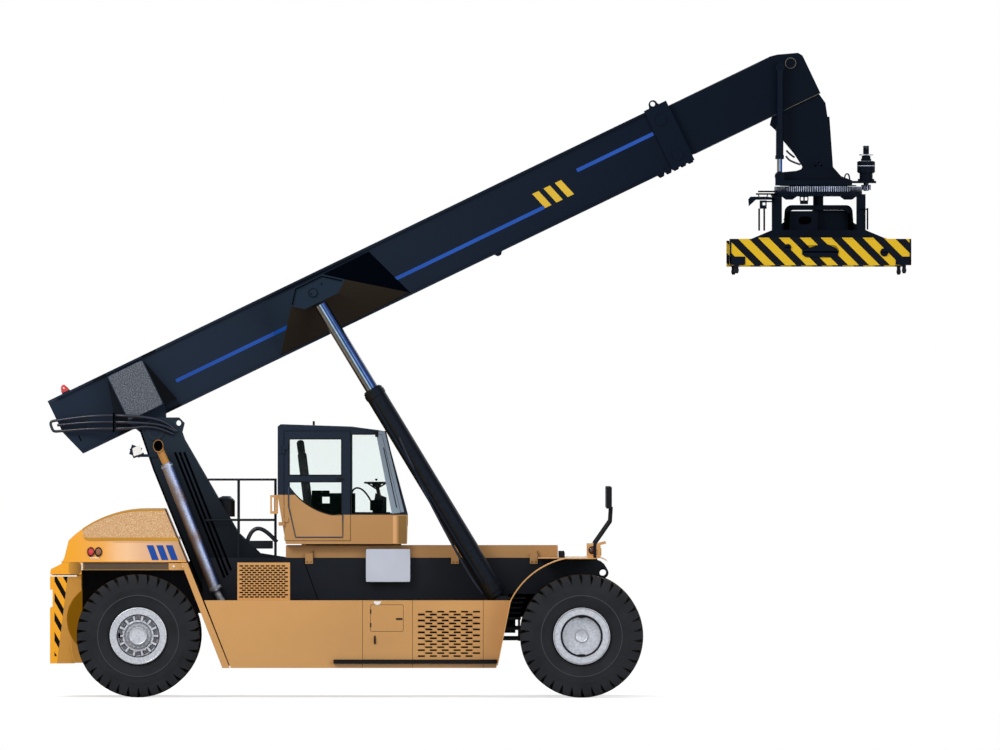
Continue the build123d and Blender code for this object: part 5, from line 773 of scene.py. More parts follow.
def hex_of(colour):
    """Six-figure hex value of a colour setting."""
    return "".join(f"{round(255 * part):02x}" for part in colour[:3])


# ------------------------------------------------------------------ settings
class StackerColours(bpy.types.PropertyGroup):
    """Colours that an owner would choose."""

    body: bpy.props.FloatVectorProperty(
        name="Body", description="Enamel of the body, hood and cab below the belt", subtype="COLOR_GAMMA",
        size=3, min=0, max=1, default=(0.796, 0.588, 0.333))
    boom: bpy.props.FloatVectorProperty(
        name="Boom", description="Enamel of the boom, tower and cab frame", subtype="COLOR_GAMMA",
        size=3, min=0, max=1, default=(0.118, 0.157, 0.216))
    warning: bpy.props.FloatVectorProperty(
        name="Warning", description="Light colour of the warning stripes on the end beams",
        subtype="COLOR_GAMMA", size=3, min=0, max=1, default=(0.82, 0.67, 0.15))


class StackerSizes(bpy.types.PropertyGroup):
    """Sizes of the small fittings."""

    hose: bpy.props.FloatProperty(
        name="Hose", description="Outside diameter of the boom hoses", unit="LENGTH", default=0.038)
    tape: bpy.props.FloatProperty(
        name="Tape", description="Width of the blue tape along the boom", unit="LENGTH", default=0.05)
    lug_count: bpy.props.IntProperty(
        name="Tyre lugs", description="Number of lugs round each tyre shoulder", default=34, min=12, max=60)


# ------------------------------------------------------------------ operators
class STACKER_OT_stage(bpy.types.Operator):
    """Pale floor, soft studio light and the side-on camera"""

    bl_idname = "stacker.stage"
    bl_label = "Stage"

    def execute(self, context):
        scene = context.scene
        scene.view_settings.view_transform = "Standard"
        width, distance, middle = 13.545, 430.0, -1.1
        camera = bpy.data.cameras.new("side_camera")
        camera.sensor_width = 36.0
        camera.lens = 36.0 * distance / width
        camera.clip_start, camera.clip_end = 50.0, 1000.0
        holder = bpy.data.objects.new("side_camera", camera)
        holder.location = (0.2911, middle - distance, 4.3626)
        holder.rotation_euler = (math.pi / 2, 0, 0)
        scene.collection.objects.link(holder)
        scene.camera = holder

        world = bpy.data.worlds.new("white_studio")
        scene.world = world
        world.use_nodes = True
        tree = world.node_tree
        rays = node(tree, "ShaderNodeLightPath").outputs
        seen = calc(tree, "MAXIMUM", rays["Is Camera Ray"],
                    calc(tree, "MAXIMUM", rays["Is Glossy Ray"], rays["Is Transmission Ray"]))
        strength = calc(tree, "ADD", 0.55, calc(tree, "MULTIPLY", seen, 0.45))
        tree.links.new(strength, tree.nodes["Background"].inputs["Strength"])
        tree.nodes["Background"].inputs["Color"].default_value = (1, 1, 1, 1)

        for name, place, size, power, colour in (
            ("key_lamp", (-14.0, -16.0, 17.0), 9.0, 3300.0, (1.0, 0.98, 0.95)),
            ("fill_lamp", (14.0, -18.0, 7.0), 12.0, 1300.0, (0.95, 0.97, 1.0)),
            ("back_lamp", (2.0, 18.0, 14.0), 10.0, 1500.0, (1.0, 1.0, 1.0)),
        ):
            lamp = bpy.data.lights.new(name, "AREA")
            lamp.size = size
            lamp.energy = power
            lamp.color = colour
            lamp_holder = bpy.data.objects.new(name, lamp)
            lamp_holder.location = place
            aim = np.array((0.0, 0.0, 4.0)) - np.array(place)
            lamp_holder.rotation_mode = "QUATERNION"
            lamp_holder.rotation_quaternion = Vector(aim).to_track_quat("-Z", "Y")
            scene.collection.objects.link(lamp_holder)

        reach = 22000.0
        floor_shell = woven(in_row(*np.meshgrid((-reach, reach), (-reach, reach), indexing="ij"), 0.0))
        floor = bpy.data.meshes.new("floor")
        floor.from_pydata(floor_shell[0] * MM, [], floor_shell[1][0].tolist())
        floor_object = bpy.data.objects.new("floor", floor)
        scene.collection.objects.link(floor_object)
        material = bpy.data.materials.new("white_floor_paint")
        material.use_nodes = True
        floor_tree = material.node_tree
        shader = floor_tree.nodes["Principled BSDF"]
        shader.inputs["Base Color"].default_value = (0.5, 0.5, 0.5, 1)
        shader.inputs["Roughness"].default_value = 0.9
        shader.inputs["Emission Color"].default_value = (1, 1, 1, 1)
        glow = calc(floor_tree, "MULTIPLY", node(floor_tree, "ShaderNodeLightPath").outputs["Is Camera Ray"], 0.62)
        floor_tree.links.new(glow, shader.inputs["Emission Strength"])
        floor.materials.append(material)
        return {"FINISHED"}


class STACKER_OT_frame_finish(bpy.types.Operator):
    """Enamel, chrome, steel and glass on the frame's own parts"""

    bl_idname = "stacker.frame_finish"
    bl_label = "Frame finish"

    def execute(self, context):
        make_finishes()
        finish_of = {
            "tan_paint": "tan", "orange_paint": "orange", "navy_paint": "navy", "frame_paint": "frame",
            "hazard_paint": "hazard", "silver_paint": "silver", "steel": "steel", "rod_chrome": "chrome",
            "gear_steel": "gear", "tyre_rubber": "rubber", "window_glass": "glass", "seat_fabric": "cloth",
            "black_plastic": "plastic", "heat_shield": "shield", "cast_hub": "frame",
            "panel_paint": "pale",
        }
        special = {
            "cab_frame": "cab", "cab_door": "cab", "counterweight": "weight", "rear_hood": "hood",
            "tower": "tower", "tower_braces": "tower", "boom_outer": "boom", "boom_inner": "deep",
            "neck_frame": "deep", "rotator_frame": "deep", "spreader_frame": "deep",
            "cab_rails": "dun", "floodlight": "navy", "slew_motor": "deep",
        }
        special.update({f"{part}_{side}": finish for side, _ in SIDES for part, finish in (
            ("lift_bracket", "bracket"), ("lift_barrel", "barrel"), ("twistlock_rear", "frame"),
            ("twistlock_front", "frame"))})
        for part in frame["record"]["subparts"]:
            name = part["node"]
            finish = special.get(name, finish_of[part["material_slot"]])
            materials = NODES[name].data.materials
            materials.clear()
            materials.append(FINISHES[finish])
        return {"FINISHED"}


class STACKER_OT_tyres(bpy.types.Operator):
    """Six lugged tyres on their wheels"""

    bl_idname = "stacker.tyres"
    bl_label = "Tyres"

    def execute(self, context):
        for side_name, _ in SIDES:
            for node_name, body in (
                (f"tyre_front_{side_name}_inner", f"front_wheels_{side_name}"),
                (f"tyre_front_{side_name}_outer", f"front_wheels_{side_name}"),
                (f"tyre_rear_{side_name}", f"rear_wheel_{side_name}"),
            ):
                low, high = box_mm(node_name)
                shell = tyre_shell((low + high) / 2, (high[1] - low[1]) / 2, (high[2] - low[2]) / 2,
                                   context.scene.stacker_sizes.lug_count)
                put(f"dressed_{node_name}", shell, body, FINISHES["rubber"],
                    smooth=28, replaces=(node_name,))
        return {"FINISHED"}


def tyre_shell(centre, half, radius, lugs):
    """Tyre: at turn t and profile place s the point is centre + across(s)·y + radius(s)·(cos t, sin t).
    In a groove both drop by the groove's depth; a groove is widest at the tread and narrows inwards."""
    profile = np.array((
        (0.69, 320, 0, 0, 0.1), (0.80, 330, 0, 0, 0.1), (0.86, 404, 0, 0, 0.1), (0.93, 470, 0, 0, 0.1),
        (0.978, 534, 0, 0, 0.1), (0.99, 541, 0, 0, 0.1), (0.99, 549, 0, 0, 0.1), (0.985, 556, 0, 0, 0.1),
        (1.0, 620, 0, 0, 0.1), (0.999, 645, 0, 0, 0.1), (0.992, 652, 0, 0, 0.1), (0.985, 700, 0, 0, 0.15),
        (0.978, 716, 2, 0.05, 0.3), (0.965, 745, 8, 0.12, 0.55), (0.94, 790, 34, 0.17, 0.85),
        (0.89, 822, 52, 0.17, 1.0), (0.83, 833, 56, 0.14, 1.0), (0.45, 833, 50, 0.04, 1.0),
        (0.12, 833, 30, 0.0, 0.8), (0.08, 833, 0, 0, 0.8),
    ))
    profile = profile * (half, radius / 833, radius / 833, half, 1)
    full = np.concatenate([profile, profile[::-1] * (-1, 1, 1, -1, 1)])
    pitch = 2 * math.pi / lugs
    stations = np.array((-0.16, -0.12, 0.12, 0.16, 0.34, 0.66))[None, :, None]
    groove = np.array((0.0, 1.0, 1.0, 0.0, 0.0, 0.0))
    near_groove = np.array((1.0, 1.0, 1.0, 1.0, 0.0, 0.0))[None, :, None]
    widths = 1 + near_groove * (full[None, None, :, 4] - 1)
    turn = ((np.arange(lugs)[:, None, None] + stations * widths) * pitch).reshape(-1, len(full))
    cut = np.tile(groove, lugs)[:, None]
    other_side = full[:, 0] < 0
    lean = (1 - np.abs(full[:, 0]) / half) * pitch * 0.9 + np.where(other_side, pitch / 2, 0.0)
    angle = turn + lean
    reach = full[:, 1] - cut * full[:, 2]
    across = full[:, 0] - cut * full[:, 3]
    points = in_row(reach * np.cos(angle), across, reach * np.sin(angle)) + centre
    return woven(points, wrap_rows=True, wrap_columns=False)


class STACKER_OT_wheels(bpy.types.Operator):
    """Rings, hub caps and bolts on the rims"""

    bl_idname = "stacker.wheels"
    bl_label = "Wheels"

    def execute(self, context):
        for side_name, sign in SIDES:
            low, high = box_mm(f"wheel_front_{side_name}")
            face = high[1] if sign > 0 else low[1]
            out = np.array((0.0, sign, 0.0))
            centre = np.array((FRONT_AXLE[0], face, FRONT_AXLE[2]))
            rings = joined(
                turned(((-8, 384), (3, 384), (5, 376), (3, 366), (-14, 360), (-20, 372)), centre, out, 72),
                turned(((-60, 300), (-40, 303), (-38, 296), (-52, 284), (-66, 290)), centre, out, 72),
                turned(((-117, 0), (-117, 60), (-112, 78), (-104, 84), (-100, 80), (-108, 66), (-108, 0)),
                       centre, out, 40),
            )
            put(f"front_rim_rings_{side_name}", rings, f"front_wheels_{side_name}",
                FINISHES["silver"], smooth=40)
            notch = slab(-44, 44, 0, 30, 245, 266, 4)
            notches = joined(*(
                (notch[0] * (1, sign, flip) + centre - out * 78, notch[1]) for flip in (1, -1)))
            put(f"front_rim_slots_{side_name}", notches, f"front_wheels_{side_name}",
                FINISHES["plastic"])
            lines = joined(turned(((4, 371), (6, 371), (6, 376), (4, 376), (4, 371)), centre, out, 72),
                           turned(((-12, 333), (-8, 333), (-8, 338), (-12, 338), (-12, 333)), centre, out, 72))
            put(f"front_rim_lines_{side_name}", lines, f"front_wheels_{side_name}",
                FINISHES["line"])

            low, high = box_mm(f"wheel_rear_{side_name}")
            face = high[1] if sign > 0 else low[1]
            centre = np.array((REAR_AXLE[0], face, REAR_AXLE[2]))
            hub = joined(
                turned(((-34, 384), (-20, 384), (-16, 372), (-22, 362), (-44, 360)), centre, out, 72),
                turned(((-90, 288), (-62, 286), (-58, 272), (-66, 262), (-92, 262)), centre, out, 72),
                turned(((-60, 214), (-34, 210), (-30, 196), (-36, 186), (-60, 186)), centre, out, 60),
                turned(((-40, 122), (24, 121), (32, 114), (30, 104), (26, 100), (26, 0)), centre, out, 48),
            )
            bolt = turned(((0, 0), (0, 15), (20, 15), (26, 9), (26, 0)), centre + (235, -sign * 92, 0), out, 6)
            stud = turned(((0, 0), (0, 11), (14, 11), (14, 0)), centre + (152, -sign * 36, 0), out, 6)
            web = prism(((196, -11), (272, -15), (272, 15), (196, 11)), -70, -22)
            web = (web[0] * (1, sign, 1) + centre, web[1])
            boss = turned(((-70, 20), (-40, 19), (-30, 12), (-30, 0)), centre + (196, 0, 60), out, 14)
            put(f"rear_hub_rings_{side_name}", hub, f"rear_wheel_{side_name}",
                FINISHES["silver"], smooth=40)
            fittings = joined(spread_round(bolt, centre, out, 24, 0.1), spread_round(stud, centre, out, 16),
                              spread_round(web, centre, out, 14), spread_round(boss, centre, out, 11, 0.3))
            put(f"rear_hub_bolts_{side_name}", fittings, f"rear_wheel_{side_name}",
                FINISHES["silver"])
            hole = slab(-269, -242, -24, -18, -26, 36, 5)
            put(f"rear_hub_holes_{side_name}", (hole[0] * (1, sign, 1) + centre, hole[1]),
                f"rear_wheel_{side_name}", FINISHES["void"])
        return {"FINISHED"}


class STACKER_OT_hood_trim(bpy.types.Operator):
    """Anti-slip pads, lamps, plain bars and under-hood fittings on the rear hood"""

    bl_idname = "stacker.hood_trim"
    bl_label = "Hood trim"

    def execute(self, context):
        rear, top, base, side = HOOD_LOW[0], HOOD_HIGH[2], WEIGHT_HIGH[2] + 180, HOOD_SIDE
        centre, radius = circle_through((rear + 307, top - 365), (rear + 721, top - 108), (rear + 1291, top))
        run = np.linspace(rear + 440, rear + 1291, 24)
        crown = centre[1] + np.sqrt(radius**2 - (run - centre[0]) ** 2)
        flank = np.concatenate([np.stack([run, crown - 16], axis=1),
                                ((rear + 1540, top - 16), (rear + 1716, top - 421), (rear + 500, top - 421),
                                 (rear + 455, top - 390))])
        put("hood_flank_pads", both(prism(flank, side - 0.5, side + 2.5)), "chassis",
            FINISHES["grit"])
        roof = np.concatenate([np.stack([run, crown + 3], axis=1), ((rear + 1535, top + 3), (rear + 1535, top)),
                               np.stack([run, crown - 1], axis=1)[::-1]])
        rim = np.concatenate([np.stack([run, crown + 4], axis=1), ((rear + 1540, top + 4), (rear + 1548, top - 20)),
                              np.stack([run, crown - 22], axis=1)[::-1]])
        put("hood_crown_rims", both(prism(rim, side - 0.5, side + 3.5)), "chassis", FINISHES["gold"])
        put("hood_roof_pad", prism(roof, 20 - side, side - 20), "chassis", FINISHES["grit"])
        band = prism(((rear + 440, top - 360), (rear + 455, top - 372), (rear + 520, top - 380),
                      (rear + 1722, top - 380), (rear + 1738, top - 424), (rear + 535, top - 424),
                      (rear + 480, top - 412)), side + 1, side + 5)
        # painted highlight: light tan strips along the hood's shoulders
        shine = slab(rear + 850, rear + 1740, side + 0.5, side + 2, top - 446, top - 436)
        put("hood_shoulder_lines", both(shine), "chassis", FINISHES["faded"])
        put("hood_pad_bands", both(band), "chassis", FINISHES["gold"])
        corner = rounded(((rear + 250, base - 2), (rear + 300, base + 2), (rear + 419, base + 2),
                          (rear + 419, WEIGHT_HIGH[2] + 12), (rear + 250, WEIGHT_HIGH[2] + 12)), 60)
        put("hood_corners", both(prism(corner, side + 0.5, side + 2)), "chassis", FINISHES["recess"])
        plate = slab(rear + 536, rear + 664, side, side + 6, base + 50, base + 62, 3)
        put("hood_lamp_plates", both(plate), "chassis", FINISHES["white"])
        lip = slab(rear + 150, rear + 1840, side - 2, side + 5, base, base + 14, 4)
        put("hood_lips", both(lip), "chassis", FINISHES["orange"], bevel=1.5)

        bar = prism(((0, 202), (92, 202), (168, 0), (76, 0)), side, side + 1.5)
        bars = repeated(bar, in_row(rear + 1305 + 130 * np.arange(3), 0, base + 27))
        put("hood_blue_bars", both(bars), "chassis", FINISHES["blue"])

        arc = np.linspace(0, math.pi / 2, 7)
        for name, x, finish in (("red", rear + 552, "red"), ("amber", rear + 655, "amber")):
            place = (x, side, base + 139)
            ring = turned(((6, 50), (16, 50), (19, 46), (19, 38), (8, 37)), place, (0, 1, 0), 40)
            ring = stretched(ring, place, (1, 1, 1.3))
            put(f"hood_{name}_lamp_rings", both(ring), "chassis", FINISHES["plastic"])
            lens = turned(np.stack([11 + 9 * np.sin(arc), 38 * np.cos(arc)], axis=1), place, (0, 1, 0), 40)
            lens = stretched(lens, place, (1, 1, 1.3))
            put(f"hood_{name}_lamp_lenses", both(lens), "chassis", FINISHES[finish])

        sill = slab(rear + 458, rear + 1600, side - 20, side - 16, base - 105, base - 4, 4)
        put("hood_sills", both(sill), "chassis", FINISHES["primer"], bevel=1.0)
        bracket = slab(rear + 1605, rear + 1849, side - 100, side - 6, base - 109, base - 12, 8)
        guard_top, guard_foot = BODY_HIGH[2] - 2, BODY_LOW[2] - 1
        guard = prism(((BODY_LOW[0] - 312, guard_top), (BODY_LOW[0] - 227, guard_top),
                       (BODY_LOW[0] + 344, guard_foot), (BODY_LOW[0] + 244, guard_foot)), 1640, 1676)
        put("rear_mudguards", both(joined(bracket, guard)), "chassis", FINISHES["tan"], bevel=2.0)
        bolts = bolt_heads(((rear + 1673, base - 59), (rear + 1800, base - 59)), side - 6, 16, 9, 1)
        put("mudguard_bolts", both(bolts), "chassis", FINISHES["white"])
        # painted light: white strips stand in for the bright backdrop seen through the gaps between hood and
        # counterweight
        strip = slab(WEIGHT_LOW[0] + 4, WEIGHT_HIGH[0] - 60, WEIGHT_SIDE, WEIGHT_SIDE + 2, WEIGHT_HIGH[2] - 14,
                     WEIGHT_HIGH[2] + 2)
        post = slab(rear + 425, rear + 440, side - 6, side - 2, base - 110, base - 6)
        put("hood_rear_seals", both(joined(strip, post)), "chassis", FINISHES["white"])
        rib = slab(rear + 458, rear + 1600, side - 16, side - 13, base - 109, base - 96, 2)
        put("hood_sill_ribs", both(rib), "chassis", FINISHES["gilt"])
        return {"FINISHED"}


class STACKER_OT_body_trim(bpy.types.Operator):
    """Dark louvres and screens, seams, handles and step bars on the side bodies"""

    bl_idname = "stacker.body_trim"
    bl_label = "Side body trim"

    def execute(self, context):
        side, front, floor, top = BODY_SIDE, BODY_HIGH[0], BODY_LOW[2], BODY_HIGH[2] - 511
        rows, columns = (grid.ravel() for grid in np.meshgrid(np.arange(16), np.arange(5), indexing="ij"))
        louvre = slab(-47, 47, side - 0.5, side + 3, -10.5, 10.5)
        louvres = repeated(louvre, in_row(front - 1197 + 161 * columns + 101 * (rows % 2), 0,
                                          floor + 162 + 40 * rows))
        rows, columns = (grid.ravel() for grid in np.meshgrid(np.arange(15), np.arange(9), indexing="ij"))
        slot = slab(-25, 25, 1313, 1316.5, -9, 9)
        slots = repeated(slot, in_row(BODY_LOW[0] + 444 + 71.3 * (columns + 0.75 + rows % 2 / 2), 0,
                                      top + 45 + 30 * rows))
        put("body_dark_slots", both(joined(louvres, slots)), "chassis", FINISHES["void"])

        seams = [slab(front - gap + 0.5, front - gap + 5.5, side - 4.8, side - 3, floor + 1, top - 1)
                 for gap in (1996, 1320, 363)]
        hatch = ((front - 1886, top - 419), (front - 1442, top - 419), (front - 1442, top - 58),
                 (front - 1886, top - 58))
        seams.append(looped(hatch, side - 2.5, 3.4, 12))
        put("body_seams", both(joined(*seams)), "chassis", FINISHES["seam"])
        put("step_bar_covers", both(slab(front - 2386, front - 174, side + 0.5, side + 62, floor + 58,
                                         floor + 115, 6)),
            "chassis", FINISHES["plastic"], bevel=2.0)
        handle = swept(eased(in_row(front - 1826, np.array((side, side + 26, side + 26, side)),
                                    floor + np.array((330, 340, 420, 430)))), 9, side=(1, 0, 0))
        plate = slab(front - 1838, front - 1814, side, side + 4, floor + 322, floor + 438, 6)
        put("hatch_handles", both(joined(handle, plate)), "chassis", FINISHES["plastic"])
        turn = np.linspace(math.pi, 2 * math.pi, 17)
        cap = prism(np.stack([front - 1793 + 50 * np.cos(turn), top - 12 + 50 * np.sin(turn)], axis=1),
                    side, side + 6)
        put("filler_caps", both(cap), "chassis", FINISHES["white"], bevel=2.0)
        hinges = [slab(front - 1891, front - 1875, side - 1, side + 6, top - z, top - z + 58, 4)
                  for z in (178, 362)]
        latch = slab(front - 1540, front - 1455, side - 1, side + 6, top - 262, top - 238, 5)
        put("hatch_fittings", both(joined(*hinges, latch)), "chassis", FINISHES["plastic"])

        low, high = CHEST_LOW, CHEST_HIGH
        cover = slab(low[0] + 2, high[0] - 2, low[1] - 3, low[1], low[2] + 2, high[2] - 2, 15)
        put("chest_covers", cover, "chassis", FINISHES["pale"], bevel=1.5)
        seam = prism(((-2372, 1846), (-2360, 1846), (-2172, 1318), (-2184, 1318)), GIRDER_SIDE, GIRDER_SIDE + 2)
        put("girder_seams", both(seam), "chassis", FINISHES["void"])
        ends, heads = [], []
        for x in (RAIL_LOW[0] + 263, RAIL_HIGH[0] - 1447, RAIL_HIGH[0] - 378):
            ends.append(slab(x + 104, x + 111, RAIL_HIGH[1] - 22, RAIL_HIGH[1] + 1, GIRDER_TOP + 5, GIRDER_TOP + 100))
            heads += [(x + 26, RAIL_LOW[2] + 29), (x + 78, RAIL_LOW[2] + 29)]
        put("rail_bracket_seams", both(joined(*ends)), "chassis", FINISHES["void"])
        put("rail_bracket_bolts", both(bolt_heads(heads, RAIL_HIGH[1], 13, 8, 1)), "chassis",
            FINISHES["gilt"])
        return {"FINISHED"}


class STACKER_OT_tower_trim(bpy.types.Operator):
    """Ribbed strips, exhaust mouth and floodlight lens on the tower"""

    bl_idname = "stacker.tower_trim"
    bl_label = "Tower trim"

    def execute(self, context):
        x, z = PIVOT[0], PIVOT[2]
        strips = []
        for k, end in enumerate(((x + 943, z - 1989), (x + 987, z - 1955), (x + 1032, z - 1888))):
            start, end = np.array((x + 271 + 62 * k, z - 288)), np.array(end)
            down = (end - start) / np.linalg.norm(end - start)
            cross = np.array((-down[1], down[0]))
            split = start + down * (z - GIRDER_TOP) / abs(down[1]) - down * 288 / abs(down[1])
            for one, two, side in ((start, split, TOWER_SIDE), (split, end, GIRDER_SIDE)):
                strips.append(prism((one - 15 * cross, one + 15 * cross, two + 15 * cross, two - 15 * cross),
                                    side, side + 5))
                rib = prism((-14 * cross, 14 * cross, 14 * cross + 9 * down, -14 * cross + 9 * down),
                            side + 5, side + 10)
                along = np.arange(20, np.linalg.norm(two - one) - 10, 34)[:, None] * down + one
                strips.append(repeated(rib, in_row(along[:, 0], 0, along[:, 1])))
        put("tower_ribbed_strips", both(joined(*strips)), "chassis", FINISHES["void"])
        edge = np.array(((209, 17), (191, -51), (29, -522), (-680, -2280))) * (-1, 1) + (x, z)
        border = np.concatenate([edge, (edge + (26, 0))[::-1]])
        put("tower_rear_edges", both(prism(border, TOWER_SIDE, TOWER_SIDE + 2)), "chassis",
            FINISHES["void"])

        mouth, facing = np.array((x + 50, -876, z - 206)), (-0.35, -1, 0.2)
        lip = turned(((-60, 44), (4, 44), (8, 41), (6, 36), (-40, 34)), mouth, facing, 36)
        put("exhaust_mouth", lip, "chassis", FINISHES["pipe"])
        top, foot = np.array((x + 153, -830, z - 443)), np.array((x + 827, -830, z - 2164))
        neck = rod((x + 62, -842, z - 240), top, 52, 32)
        put("exhaust_neck", neck, "chassis", FINISHES["pipe"])
        tail = rod(foot, foot + (95, 0, -160), 45, 28)
        collar = turned(((-20, 79), (-20, 88), (20, 88), (20, 79)), foot + (-8, 0, 41), foot - top, 40)
        put("exhaust_tail", joined(tail, collar), "chassis", FINISHES["steel"])
        face = mouth + (-3, -22, 4)
        rim = stretched(turned(((-30, 50), (10, 84), (13, 84), (13, 78), (4, 70)), face, (0, -1, 0), 40), face,
                        (0.82, 1, 1))
        put("exhaust_rim", rim, "chassis", FINISHES["pipe"])
        # painted shade: a black disc in the exhaust mouth stands in for the shade inside the pipe
        mouth_shade = stretched(turned(((9, 0), (9, 79)), face, (0, -1, 0), 40), face, (0.82, 1, 1))
        put("exhaust_soot", mouth_shade, "chassis", FINISHES["void"])
        clips = [turned(((-9, 79), (-9, 84), (9, 84), (9, 79)),
                        np.array((x + 153, -830, z - 443)) * (1 - t) + np.array((x + 827, -830, z - 2164)) * t,
                        (674, 0, -1721), 40) for t in (0.02, 0.98)]
        put("exhaust_clips", joined(*clips), "chassis", FINISHES["steel"])

        low, high = box_mm("floodlight")
        lens = prism(rounded(((x - 307, z - 235), (x - 202, z - 190), (x - 169, z - 305), (x - 290, z - 345)), 12),
                     low[1] - 6, low[1] - 1)
        put("floodlight_lens", lens, "chassis", FINISHES["white"], bevel=1.0)
        arm = prism(((x - 345, z - 245), (x - 312, z - 228), (x - 285, z - 338), (x - 157, z - 290),
                     (x - 146, z - 318), (x - 290, z - 372), (x - 302, z - 345)), low[1] - 5, low[1])
        put("floodlight_bracket", arm, "chassis", FINISHES["navy"], bevel=1.0)
        hose = swept(eased(((-3135, -430, 2110), (-3085, -430, 2275), (-2900, -430, 2285), (-2735, -430, 2095)),
                           14), 28, side=(0, 1, 0), sides=16)
        put("intake_hose", hose, "chassis", FINISHES["hose"])
        low, high = box_mm("air_cleaner")
        cap = turned(((0, 0), (0, 112), (7, 114), (12, 108), (30, 86), (46, 50), (50, 40), (50, 0)),
                     ((low[0] + high[0]) / 2, (low[1] + high[1]) / 2, high[2] - 48), (0, 0, 1), 40)
        put("air_cleaner_cap", cap, "chassis", FINISHES["navy"])
        mounts = slab(-3121, -2790, -600, -300, 2007, 2115, 10)
        put("intake_mounts", mounts, "chassis", FINISHES["frame"], bevel=4.0)
        return {"FINISHED"}


class STACKER_OT_cab_trim(bpy.types.Operator):
    """Window seals, seams, wiper, handle and screen edge on the cab"""

    bl_idname = "stacker.cab_trim"
    bl_label = "Cab trim"

    def execute(self, context):
        rear, floor, side = -2723.0, 2072.0, CAB_SIDE
        quarter = np.array(((998, 408), (1673, 408), (1413, 1488), (998, 1488))) + (rear, floor)
        put("cab_quarter_seals", both(looped(quarter, side - 4, 9, 16)), "cab",
            FINISHES["plastic"])
        edge = prism(np.array(((1549, 409), (1721, 436), (1457, 1532), (1328, 1524))) + (rear, floor),
                     side + 1, side + 4)
        # painted light: the sun film inside the left side of the cab glows faintly mint
        film = np.array(((156, 395), (1673, 408), (1413, 1488), (156, 1425))) + (rear, floor)
        put("cab_sun_film", prism(film, side - 24, side - 22), "cab", FINISHES["film"])
        put("cab_screen_edges", both(edge), "cab", FINISHES["screen"], bevel=1.0)
        line = swept(((rear + 1457, side + 3, floor + 1532), (rear + 1721, side + 3, floor + 436)), 6)
        put("cab_screen_lines", both(line), "cab", FINISHES["plastic"])
        visor = slab(rear + 1322, rear + 1362, side, side + 10, floor + 1451, floor + 1530, 5)
        wiper = joined(
            swept(((rear + 1436, -side - 6, floor + 1307), (rear + 1613, -side - 6, floor + 495)), 6),
            swept(eased(((rear + 1534, -side + 40, floor + 901), (rear + 1640, -side + 40, floor + 700),
                         (rear + 1735, -side + 40, floor + 480), (rear + 1763, -side + 40, floor + 388),
                         (rear + 1755, -side + 40, floor + 246))), 9))
        peg = slab(rear + 470, rear + 500, -60, 60, floor + 1600, floor + 1665, 6)
        put("cab_roof_fittings", joined(both(visor), wiper, peg), "cab", FINISHES["plastic"])
        grip = joined(*(slab(rear + low, rear + high, -side + 40, -side + 56, floor + foot, floor + head, 2)
                        for low, high, foot, head in ((-101, -76, 410, 663), (-39, 6, 410, 663),
                                                      (-76, -39, 410, 445), (-76, -39, 631, 663))))
        put("cab_grab_handle", grip, "cab", FINISHES["tan"])
        # painted light and shade: a light tan band and a dark gold band on the cab's lower front corner stand for its
        # lit and shaded sides
        light = slab(rear + 1563, rear + 1613, side, side + 3, floor + 8, floor + 383)
        put("cab_corner_lights", both(light), "cab", FINISHES["faded"])
        dark = slab(rear + 1638, rear + 1745, side, side + 3, floor + 8, floor + 383)
        put("cab_corner_darks", both(dark), "cab", FINISHES["gilt"])
        bar = slab(rear + 388, rear + 1670, side - 40, side - 15, floor - 17, floor - 1)
        put("cab_floor_bars", both(bar), "cab", FINISHES["void"])
        console = joined(*(slab(low, high, -330, -180, foot, head, 8) for low, high, foot, head in (
            (-2264, -2121, 2474, 2795), (-2021, -1672, 2474, 2760), (-2121, -2021, 2709, 2795),
            (-2121, -2021, 2474, 2616), (-1473, -1309, 2524, 2666), (-1420, -1360, 2474, 2530))))
        pipe = swept(eased(((-1722, -250, 2760), (-1690, -250, 2850), (-1540, -250, 2800), (-1465, -250, 2660))), 12)
        ledge = slab(-2264, -1200, -400, -100, 2474, 2502)
        put("cab_arm_console", joined(console, pipe, ledge), "cab", FINISHES["void"])

        seat = box_mm("cab_console")
        y = (seat[0][1] + seat[1][1]) / 2
        spokes = joined(rod((-1515, y, 2898), (-1389, y, 2815), 10, 10), rod((-1247, y, 2898), (-1389, y, 2815), 10, 10),
                        turned(((0, 0), (0, 8), (24, 20), (30, 18), (30, 0)), (-1389, y, 2925), (0, 0, 1), 20))
        put("wheel_spokes", spokes, "cab", FINISHES["void"])

        upper = np.array(((156, 932), (868, 932), (868, 1425), (156, 1425))) + (rear, floor)
        middle, reach = circle_through((156, 778), (413, 526), (739, 395))
        first, last = (math.atan2(z - middle[1], x - middle[0]) % (2 * math.pi) for x, z in ((156, 778), (739, 395)))
        turn = np.linspace(first, last, 14)
        sweep = middle + reach * np.stack([np.cos(turn), np.sin(turn)], axis=1)
        lower = np.concatenate([sweep, ((868, 395), (868, 842), (156, 842))]) + (rear, floor)
        seals = joined(looped(upper, -side + 3, 9, 18), looped(lower, -side + 3, 9))
        put("door_window_seals", seals, "door", FINISHES["plastic"])
        panel = np.array(((149, 774), (149, 516), (245, 92), (883, 92), (883, 395))) + (rear, floor)
        put("door_panel_line", swept(in_row(panel[:, 0], -side - 3, panel[:, 1]), 9), "door",
            FINISHES["slate"])
        latch = slab(rear + 800, rear + 900, -side - 14, -side, floor + 865, floor + 895, 8)
        put("door_latch", latch, "door", FINISHES["plastic"], bevel=1.5)
        return {"FINISHED"}


